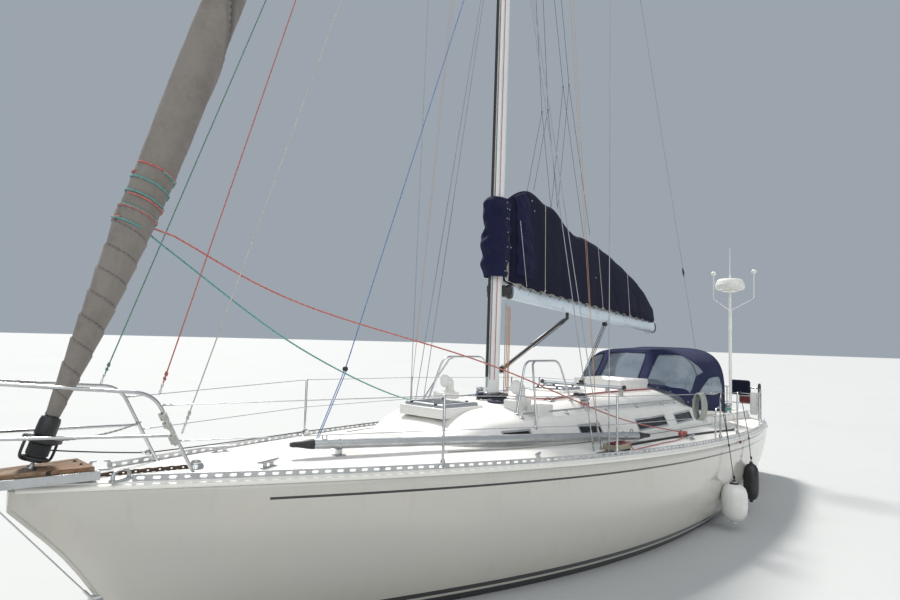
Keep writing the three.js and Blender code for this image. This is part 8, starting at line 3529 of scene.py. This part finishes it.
TRAVELLER_S = 7.005
track_rows = []
for k in range(41):
    y = -0.70 + 1.40 * k / 40
    profile = [
        (-0.020, 1.786), (0.020, 1.786), (0.020, 1.791), (0.010, 1.794), (0.010, 1.801), (0.018, 1.804),
        (0.018, 1.810), (-0.018, 1.810), (-0.018, 1.804), (-0.010, 1.801), (-0.010, 1.794), (-0.020, 1.791),
    ]
    track_rows.append([at(TRAVELLER_S + ds, y, z) for ds, z in profile])
traveller_parts = [loft("track", track_rows, 30)]
for y in (-0.64, -0.43, 0.43, 0.64):
    traveller_parts.append(
        deck_block("foot", 6.982, 7.028, y - 0.028, y + 0.028, roof_height(7.0, y) - 0.004, 1.789, 0.006)
    )
    traveller_parts.append(bolt(at(TRAVELLER_S, y, 1.810), size=0.7))
fit(joined("traveller_track", traveller_parts), alloy, replaces=["traveller"])
traveller_car = [deck_block("car", 6.975, 7.035, -0.065, 0.065, 1.812, 1.836, 0.006)]
for y in (-0.69, 0.69):
    traveller_car.append(deck_block("end", 6.975, 7.035, y - 0.02, y + 0.02, 1.789, 1.836, 0.006))
    traveller_car.append(turned("sheave", [(14, -6), (19, 0), (14, 6)], at(TRAVELLER_S, y, 1.842), sides=16))
fit(joined("traveller_car", traveller_car), black_plastic)
fit(
    joined(
        "traveller_lines",
        [
            tube(
                "line", [at(TRAVELLER_S + ds, 0.065 * sg, 1.826), at(TRAVELLER_S + ds, 0.67 * sg, 1.828)],
                0.004, 6,
            )
            for sg in (1, -1) for ds in (-0.006, 0.006)
        ],
    ),
    blue_rope,
)
print("The pole is", round(pole_long, 2), "m long.")

# %% [markdown]
# Each ventilator stands on a moulded box that keeps spray out. A cowl is a bent trumpet, and its mouth has a
# rolled lip.

# %% Ventilators and small deck pieces
COWL_S, COWL_LOW = 4.74, 1.74
COWL_COLLAR = ((0.066, 1.755), (0.066, 1.772), (0.056, 1.784), (0.0525, 1.80))
for side, label in SIDES:
    y = side * 0.56
    low = roof_height(4.68, 0.66) - 0.03
    vent_box = deck_block("box", 4.53, 4.83, y - 0.095, y + 0.095, low, 1.765, 0.022)
    profile = [(r, z - COWL_LOW) for r, z in COWL_COLLAR]
    collar = revolved("collar", profile, at(COWL_S, y, COWL_LOW), sides=28)
    route = cornered([at(COWL_S, y, 1.765), at(COWL_S, y, 1.892), at(4.645, y, 1.901)], 0.062, 10)
    lengths = lengths_along(route)
    flare = [0.0515 + 0.027 * max(0.0, (l / lengths[-1] - 0.42) / 0.58) ** 1.7 for l in lengths]
    outer = tube("cowl", route, flare, 30)
    mouth_at, mouth_way = route[-1], (route[-1] - route[-2]).normalized()
    lip = turned(
        "lip", [(70, -4), (80, -4), (83.5, 1), (80, 6), (72, 5), (66, -12), (50, -30), (1, -45)], mouth_at,
        mouth_way, 34,
    )
    fit(
        joined("ventilator_" + label, [vent_box, collar, outer, lip]), white_plastic,
        replaces=["dorade_vent_" + label],
    )
    mouth = turned(
        "ventilator_mouth_" + label, [(64, -3), (50, -20), (1, -24)], mouth_at + mouth_way * 0.006,
        mouth_way, 30,
    )
    fit(mouth, white_plastic)

locker = deck_block("roof_box", 4.66, 4.96, 0.705, 0.86, roof_height(4.8, 0.72) - 0.05, 1.715, 0.014)
fit(locker, white_plastic)
turning = []
for y in (-0.135, -0.075, 0.075, 0.135):
    base = mast_at(1.72, -0.10 if abs(y) < 0.1 else -0.03, y)
    base.z = on_roof(STEM_X - base.x, y).z + 0.028
    turning.append(rope_block(base, 0.022, (0, 1, 0)))
fit(joined("mast_foot_blocks", turning), black_plastic)
foot_turns = []
for k in range(150):
    t = 2 * math.pi * k / 25
    r = 0.155 + 0.035 * noise.noise(Vector((t * 0.4, 3, 0))) + 0.012 * (k // 50)
    p = mast_at(1.72) + Vector((math.cos(t) * (r + 0.03), math.sin(t) * r, 0))
    p.z = on_roof(STEM_X - p.x, p.y).z + 0.012 + 0.016 * (k // 50) + 0.02 * abs(
        noise.noise(Vector((t, 5, 1)))
    )
    foot_turns.append(p)
fit(tube("mast_foot_rope", foot_turns, 0.0085, 8), black_rope)
side_cleat = cleat(at(4.015, 1.312, deck_height(4.015, 1.312)), 0.16, 0.3)
fit(side_cleat, steel)
print("The deck's small pieces are on.")

# %% [markdown]
# The wheel is a steel rim on five spokes. It turns about the same shaft as the CAD
# wheel, and a whipping marks the king spoke, which stands upright when the rudder is
# straight. The pedestal holds the compass, whose dome is clear over a dark card.

# %% Wheel and pedestal
WHEEL_S, WHEEL_Z, WHEEL_R = 10.78, 1.15, 0.43


def wheel_at(radius, angle, along=0.0):
    return at(WHEEL_S + along, radius * math.cos(angle), WHEEL_Z + radius * math.sin(angle))


rim = [[wheel_at(WHEEL_R + 0.0145 * math.cos(b), a, 0.0145 * math.sin(b)) for b in circle(14)]
       for a in circle(96)]
points = [p for ring in rim for p in ring]
faces = [
    (k * 14 + j, ((k + 1) % 96) * 14 + j, ((k + 1) % 96) * 14 + (j + 1) % 14, k * 14 + (j + 1) % 14)
    for k in range(96) for j in range(14)
]
wheel_parts = [weld(smooth(new_mesh("rim", points, faces), 60), 0)]
for k in range(5):
    angle = 2 * math.pi * k / 5 + math.pi / 2
    line = [
        wheel_at(0.036, angle), wheel_at(0.06, angle), wheel_at(WHEEL_R - 0.03, angle),
        wheel_at(WHEEL_R - 0.012, angle),
    ]
    wheel_parts.append(tube("spoke", line, [0.012, 0.0078, 0.0078, 0.011], 12))
wheel_parts.append(
    turned(
        "hub", [(20, -41.5), (20, -22), (40, -22), (42, -18), (42, 22), (38, 30), (20, 34), (1, 34)],
        wheel_at(0, 0), (-1, 0, 0), 32,
    )
)
fit(joined("wheel", wheel_parts), steel, "steering_wheel", ["steering_wheel"])
whipping = [
    wheel_at(
        WHEEL_R + 0.0165 * math.cos(2 * math.pi * k / 12), math.pi / 2 - 0.05 + 0.1 * k / (12 * 8),
        0.0165 * math.sin(2 * math.pi * k / 12),
    )
    for k in range(12 * 8 + 1)
]
fit(tube("king_spoke_whipping", whipping, 0.0025, 6), white_rope, "steering_wheel")

COLUMN = (
    (0.076, 0), (0.076, 0.012), (0.070, 0.03), (0.066, 0.20), (0.062, 0.55), (0.064, 0.66), (0.074, 0.80),
    (0.087, 0.90), (0.088, 0.93), (0.088, 0.995), (0.084, 1.012),
)
COLUMN_FOOT = at(10.64, 0, 0.32)
column_parts = [
    revolved("column", [*COLUMN, (0.001, 1.016)], COLUMN_FOOT, sides=36),
    deck_block("foot", 10.545, 10.72, -0.09, 0.09, 0.301, 0.34, 0.008),
    turned("boss", [(36, 0), (36, 94), (32, 97.5), (1, 97.5)], at(10.64, 0, WHEEL_Z), (-1, 0, 0), 24),
]
fit(joined("binnacle", column_parts), white_plastic)
fit(
    turned("compass_card", [(75, 1012), (78, 1018), (72, 1022), (1, 1024)], COLUMN_FOOT, sides=32),
    black_plastic,
)
fit(
    turned(
        "compass_dome", [(70, 1020), (66, 1038), (55, 1052), (36, 1062), (15, 1066), (1, 1066.5)],
        COLUMN_FOOT, sides=32,
    ),
    hatch_glass,
)
GUARD_S, GUARD_HALF, GUARD_LOW, GUARD_TOP = 10.51, 0.15, 0.302, 1.33
port_leg = [at(GUARD_S, GUARD_HALF, GUARD_LOW), at(GUARD_S, GUARD_HALF, GUARD_TOP)]
guard = cornered([*port_leg, *mirror(port_leg[::-1])], 0.09, 8)
guard_parts = [
    tube("hoop", guard, 0.013, 14),
    tube("brace", [at(GUARD_S, 0, GUARD_TOP), at(10.645, 0, 1.228)], 0.012, 12),
]
for side in (1, -1):
    guard_parts.append(
        turned("foot", [(30, 0), (30, 5), (16, 14)], at(GUARD_S, side * GUARD_HALF, 0.3015), sides=18)
    )
fit(joined("pedestal_guard", guard_parts), steel, replaces=["steering_pedestal"])
print("The wheel is", 2 * WHEEL_R, "m across.")

# %% [markdown]
# A pole on the stern lifts the radar's drum above heads. The drum is moulded in two
# halves, so its waist shows a joint line. Two bent arms carry small aerials, and a whip
# stands above. They are one welded frame with separate white fittings on it.

# %% Radar pole
POLE_S, POLE_Y = 11.745, 0.55
pole_foot = at(POLE_S, POLE_Y, deck_height(POLE_S, POLE_Y) - 0.004)
second_s = 11.82
frame_parts = [
    tube("pole", [pole_foot, at(POLE_S, POLE_Y, 3.54)], 0.026, 24),
    turned("foot", [(58, -2), (58, 6), (36, 12), (34, 45), (26.5, 52)], pole_foot, sides=28),
    turned("plate", [(40, 0), (150, 22), (150, 40), (20, 40)], at(POLE_S, POLE_Y, 3.528), sides=36),
    tube(
        "second",
        cornered(
            [
                at(second_s, POLE_Y, deck_height(second_s, POLE_Y) - 0.004), at(second_s, POLE_Y, 3.18),
                at(POLE_S, POLE_Y, 3.29),
            ],
            0.05,
        ),
        0.013, 14,
    ),
    turned(
        "foot", [(30, -2), (30, 6), (14, 12)], at(second_s, POLE_Y, deck_height(second_s, POLE_Y)),
        sides=20,
    ),
]
for y in (0.450, -0.320):
    frame_parts.append(
        tube(
            "arm",
            cornered(
                [at(POLE_S, POLE_Y, 3.16), at(POLE_S, POLE_Y + y, 3.40), at(POLE_S, POLE_Y + y, 3.90)],
                0.05, 6,
            ),
            0.009, 12,
        )
    )
for z in (1.95, 2.80, 3.16):
    frame_parts.append(
        turned("clamp", [(26.5, -18), (31, -16), (31, 16), (26.5, 18)], at(POLE_S, POLE_Y, z), sides=24)
    )
fit(joined("radar_frame", frame_parts), white_plastic, replaces=["radar_pole"])
drum = [
    (0.150, 0.001), (0.236, 0.012), (0.262, 0.030), (0.275, 0.060), (0.2755, 0.092), (0.2725, 0.096),
    (0.2725, 0.100), (0.2755, 0.104), (0.270, 0.120), (0.256, 0.160), (0.240, 0.196), (0.228, 0.212),
    (0.206, 0.224), (0.14, 0.234), (0.02, 0.2395),
]
fit(
    revolved("radar_drum", drum, at(POLE_S, POLE_Y, 3.5683), sides=56), white_plastic,
    replaces=["radome"],
)
aerials = []
for y, size in ((0.450, 1.0), (-0.320, 0.9)):
    spot = at(POLE_S, POLE_Y + y, 3.89)
    aerials.append(
        turned(
            "aerial", [(10, -20), (30, 0), (46, 14), (48, 24), (46, 52), (36, 66), (16, 78), (1, 80)], spot,
            sides=26,
        )
    )
fit(joined("aerial_domes", aerials), white_plastic)
fit(
    tube(
        "whip_aerial",
        [
            at(POLE_S, POLE_Y, 3.795), at(POLE_S, POLE_Y, 3.87), at(POLE_S, POLE_Y, 3.88),
            at(POLE_S, POLE_Y, 4.42),
        ],
        [0.016, 0.015, 0.009, 0.0055], 12,
    ),
    white_plastic,
)
print("The drum is", 0.551, "m across.")

# %% [markdown]
# Fenders are inflated vinyl, with a moulded eye at each end. Their shape is turned, and
# a small flat shows where they press on the hull. Each hangs from a tight line that is
# hitched to the rail, so the lines are straight tubes, not free cords.

# %% Fenders
FENDERS = (("white", 7.64, 0.38, 0.165, 0.24), ("black", 8.65, 0.48, 0.105, 0.26))
FENDER_SHAPE = (
    (0.001, -1.12), (0.20, -1.115), (0.22, -1.03), (0.34, -0.985), (0.62, -0.92), (0.84, -0.76),
    (0.96, -0.52), (1, -0.2), (1, 0.2), (0.96, 0.52), (0.84, 0.76), (0.62, 0.92), (0.34, 0.985),
    (0.22, 1.03), (0.20, 1.115), (0.001, 1.12),
)
CAD_FENDER = (
    (0.2, -1.12), (0.3, -1.0), (0.72, -0.86), (0.97, -0.55), (1, 0), (0.97, 0.55), (0.72, 0.86), (0.3, 1.0),
    (0.2, 1.12),
)
fender_tops = {}
for label, s, z, r, half in FENDERS:
    y = max(half_beam(s, z + rise * half) + share * r for share, rise in CAD_FENDER) - 0.014
    piece = revolved(
        "fender_" + label + "_body", [(share * r, rise * half) for share, rise in FENDER_SHAPE],
        at(s, y, z), sides=48,
    )
    for vertex in piece.data.vertices:
        limit = half_beam(STEM_X - vertex.co.x, vertex.co.z) + 0.002
        if vertex.co.y < limit:
            vertex.co.y = limit
    fit(
        piece, white_plastic if label == "white" else black_plastic,
        replaces=["fender_" + label],
    )
    fender_tops[label] = at(s, y, z + half * 1.12)
fit(
    turned(
        "fender_cap", [(52, 0), (60, 12), (52, 30), (30, 40), (26, 62), (1, 64)],
        fender_tops["white"] - above(0.045), sides=28,
    ),
    black_plastic,
)
lines = []
for label, s, rope_r, ties in (
    ("white", 7.64, 0.005, ((7.61, WIRE_TOP), (7.72, WIRE_TOP))),
    ("black", 8.65, 0.005, ((8.62, WIRE_TOP),)),
):
    top = fender_tops[label] + above(-0.004)
    over = at(s, HULL["half"](s) + 0.030, HULL["sheer"](s) + 0.045)
    joint = over.lerp(top, 0.12)
    lines.append(tube("line", [top, joint, over], rope_r, 8))
    lines.append(knot(top + above(0.055), (0, 0, 1), 0.010, 4))
    lines.append(knot(joint, (0, 0, 1), 0.009, 3))
    for tie_s, rise in ties:
        tie = rail_foot(tie_s, rise, 1)
        lines.append(tube("line", [over, tie], rope_r, 8))
        lines.append(knot(tie, (1, 0, 0), 0.010, 4))
fit(joined("fender_lines", lines), black_rope)
red_float = turned(
    "orange_float", [(4, -22), (14, -16), (17, 0), (14, 16), (4, 22)],
    at(8.2, HULL["half"](8.2) + 0.028, HULL["sheer"](8.2) - 0.02), sides=18,
)
fit(red_float, maroon_plastic)
fit(
    tube(
        "orange_line",
        [
            at(8.2, HULL["half"](8.2) + 0.028, HULL["sheer"](8.2) + 0.02),
            at(8.2, HULL["half"](8.2) + 0.015, HULL["sheer"](8.2) + 0.05), rail_foot(8.2, 0.315, 1),
        ],
        0.003, 6,
    ),
    orange_rope,
)
print("Two fenders hang on the port side.")

# %% [markdown]
# The stern rail carries a folded cover, a small white pack, a dark post and a maroon
# case with a silver top. They are small, but the photo shows them against the sky.

# %% Pieces on the stern rail
def rail_pack(name, s, y, z, size, material, turn=0.0, puff=0.25):
    """A soft pack: a rounded box whose faces swell and crease."""
    rows = []
    for j in range(17):
        v = -1 + 2 * j / 16
        row = []
        for k in range(36):
            t = 2 * math.pi * k / 36
            share = (1 - abs(v) ** 4) ** 0.25 if abs(v) < 1 else 0.0
            x = math.copysign(abs(math.cos(t)) ** 0.45, math.cos(t)) * size[0] / 2 * (0.82 + 0.18 * share)
            w = math.copysign(abs(math.sin(t)) ** 0.45, math.sin(t)) * size[1] / 2 * (0.82 + 0.18 * share)
            place = Vector((x, w, v * size[2] / 2))
            swell = 1 + puff * 0.3 * noise.noise(Vector((s * 7 + x * 9, w * 11, place.z * 9)))
            place.x, place.y = place.x * swell, place.y * swell
            row.append(at(s, y, z) + Matrix.Rotation(turn, 3, "Z") @ place)
        rows.append(row)
    return fit(loft(name, rows, 60), material)


navy_pack = rail_pack("stern_cover", 11.905, 0.69, 1.64, (0.13, 0.37, 0.29), navy_canvas)
white_pack = rail_pack(
    "white_pack", 11.86, 0.955, 1.345, (0.13, 0.13, 0.42), canvas("white_cloth", (0.70, 0.70, 0.68)), 0.2,
)
STERN_POST = (11.84, 1.065)
post_line = [on_deck(*STERN_POST, -0.003), at(*STERN_POST, 1.70), at(*STERN_POST, 1.74)]
fit(tube("stern_post", post_line, [0.028, 0.028, 0.018], 16), black_plastic)
fit(deck_block("maroon_case", 11.86, 11.95, 0.68, 0.885, 1.345, 1.475, 0.02), maroon_plastic)
fit(deck_block("maroon_case_lid", 11.855, 11.955, 0.675, 0.89, 1.472, 1.507, 0.012), alloy)
hooks = [tube("hook", [at(11.91, y, 1.50), at(11.93, y, 1.56)], 0.006, 8) for y in (0.72, 0.84)]
fit(joined("case_hooks", hooks), steel)
print("The stern pieces are on.")

# %% [markdown]
# Below the water the hull carries a fin keel, a spade rudder and a three-bladed propeller
# on a strut. Fins are foils: round in front, thickest at a third of the length and thin
# behind. One function gives that section, and a surface is drawn through a few of them.

# %% Keel and rudder
KEEL_ROWS = (
    (4.99, 2.47, 0.33, -0.30), (5.09, 2.31, 0.30, -0.70), (5.52, 1.89, 0.29, -1.65),
    (5.65, 1.75, 0.30, -1.98),
)
BLADE_ROWS = ((10.945, 0.90, 0.150, 0.12), (10.965, 0.76, 0.140, -0.80), (10.99, 0.64, 0.120, -1.56))
FOIL = ((1, 0), (0.72, 0.32), (0.42, 0.49), (0.16, 0.42), (0.04, 0.24), (0, 0))


def foil_row(lead, chord, thick, z, steps=40):
    """A foil's outline at one height, from its tail round its nose and back."""
    def half_thick(x):
        for (x1, t1), (x0, t0) in zip(FOIL, FOIL[1:]):
            if x0 <= x <= x1:
                return t0 + (t1 - t0) * (x - x0) / (x1 - x0)
        return 0.0
    shares = [1 - math.sin(k / steps * math.pi / 2) for k in range(steps + 1)]
    ring = [at(lead + chord * x, thick * half_thick(x), z) for x in shares]
    return ring + [at(lead + chord * x, -thick * half_thick(x), z) for x in shares[-2:0:-1]]


def between_rows(rows, z):
    for (a, b) in zip(rows, rows[1:]):
        if min(a[3], b[3]) <= z <= max(a[3], b[3]):
            t = (z - a[3]) / (b[3] - a[3])
            return [p + (q - p) * t for p, q in zip(a[:3], b[:3])]
    return list(rows[0][:3] if abs(z - rows[0][3]) < abs(z - rows[-1][3]) else rows[-1][:3])


def fin(name, rows, top, bottom, levels=40):
    lines = []
    for k in range(levels + 1):
        z = top + (bottom - top) * k / levels
        lines.append(foil_row(*between_rows(rows, z), z))
    return loft(name, lines, 50)


def trim_to_hull(piece, gap):
    """Draws a fin's top row down on to the hull's own underside."""
    for vertex in piece.data.vertices:
        roof = HULL["bottom"](STEM_X - vertex.co.x) - gap
        if vertex.co.z > roof:
            vertex.co.z = roof
    return piece


keel_fin = fin("keel_fin", KEEL_ROWS, -0.30, -1.98)
fit(keel_fin, bottom_paint, replaces=["keel"])
blade = fin("rudder_blade", BLADE_ROWS, -0.20, -1.56)
stock = tube("rudder_stock", [at(11.13, 0, -0.50), at(11.13, 0, 0.16)], 0.036, 24)
fit(joined("rudder_fin", [blade, stock]), bottom_paint, "rudder", ["rudder"])
print("The keel reaches", KEEL_ROWS[-1][3], "m.")

# %% [markdown]
# The propeller's blades are twisted: steep near the hub and flatter at the tips. The
# hub, blades and shaft spin as one. The strut holds the shaft's end in a short barrel.

# %% Propeller and strut
SHAFT_0, SHAFT_1, SHAFT_R = at(8.05, 0, -0.42), at(9.48, 0, -0.64), 0.016
BLADES = ((0, 0.034), (0.35, 0.078), (0.65, 0.092), (0.88, 0.066), (1, 0.018))
BLADE_SPAN = fair_column(BLADES, 1)
shaft_way = (SHAFT_1 - SHAFT_0).normalized()
shaft_up = Vector((0, 1, 0)).cross(shaft_way).normalized()
if shaft_up.z < 0:
    shaft_up = -shaft_up
hub_at = SHAFT_0.lerp(SHAFT_1, 0.955)


def propeller_blade(turn):
    out = Matrix.Rotation(turn, 3, shaft_way) @ shaft_up
    side = shaft_way.cross(out).normalized()
    rows = []
    for k in range(25):
        share = k / 24
        pitch = 1.15 - 0.64 * share
        chord = (-shaft_way) * math.cos(pitch) - side * math.sin(pitch)
        face = chord.cross(out).normalized()
        half, thick = BLADE_SPAN(share), 0.0062 * (1 - 0.55 * share)
        row = []
        for j in range(20):
            t = 2 * math.pi * j / 20
            row.append(
                hub_at + out * (0.026 + 0.19 * share) + chord * half * math.cos(t)
                + face * thick * math.sin(t)
            )
        rows.append(row)
    return loft("blade", rows, 50)


screw_parts = [propeller_blade(2 * math.pi * k / 3) for k in range(3)]
screw_parts.append(
    turned(
        "hub", [(1, -70), (14, -70), (30, -64), (36, -58), (40, 0), (40, 40), (34, 55), (24, 75), (1, 75)],
        hub_at, -shaft_way, 32,
    )
)
screw_parts.append(tube("shaft", [SHAFT_0.lerp(SHAFT_1, 0.02), SHAFT_0.lerp(SHAFT_1, 0.97)], SHAFT_R, 20))
fit(joined("propeller_bronze", screw_parts), bronze, "propeller", ["propeller"])
strut = softened("shaft_strut", "strut_bronze", 0.004, 30)
fit(strut, bronze, replaces=["shaft_strut"])
trim_to_hull(keel_fin, 0.0004)
print("The propeller is", round(2 * (0.026 + 0.19), 2), "m across.")

# %% [markdown]
# Last, the sizes are set side by side: the CAD's box and the dressed boat's. They
# have to agree, because the collision model and the picture are one object.

# %% Compare sizes and finish
seen_low, seen_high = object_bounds()
for axis, a, b, c, d in zip("xyz", cad_low, cad_high, seen_low, seen_high):
    print(f"{axis}: CAD {a:.3f} to {b:.3f}, dressed {c:.3f} to {d:.3f}")
print(len(made), "pieces were made.")
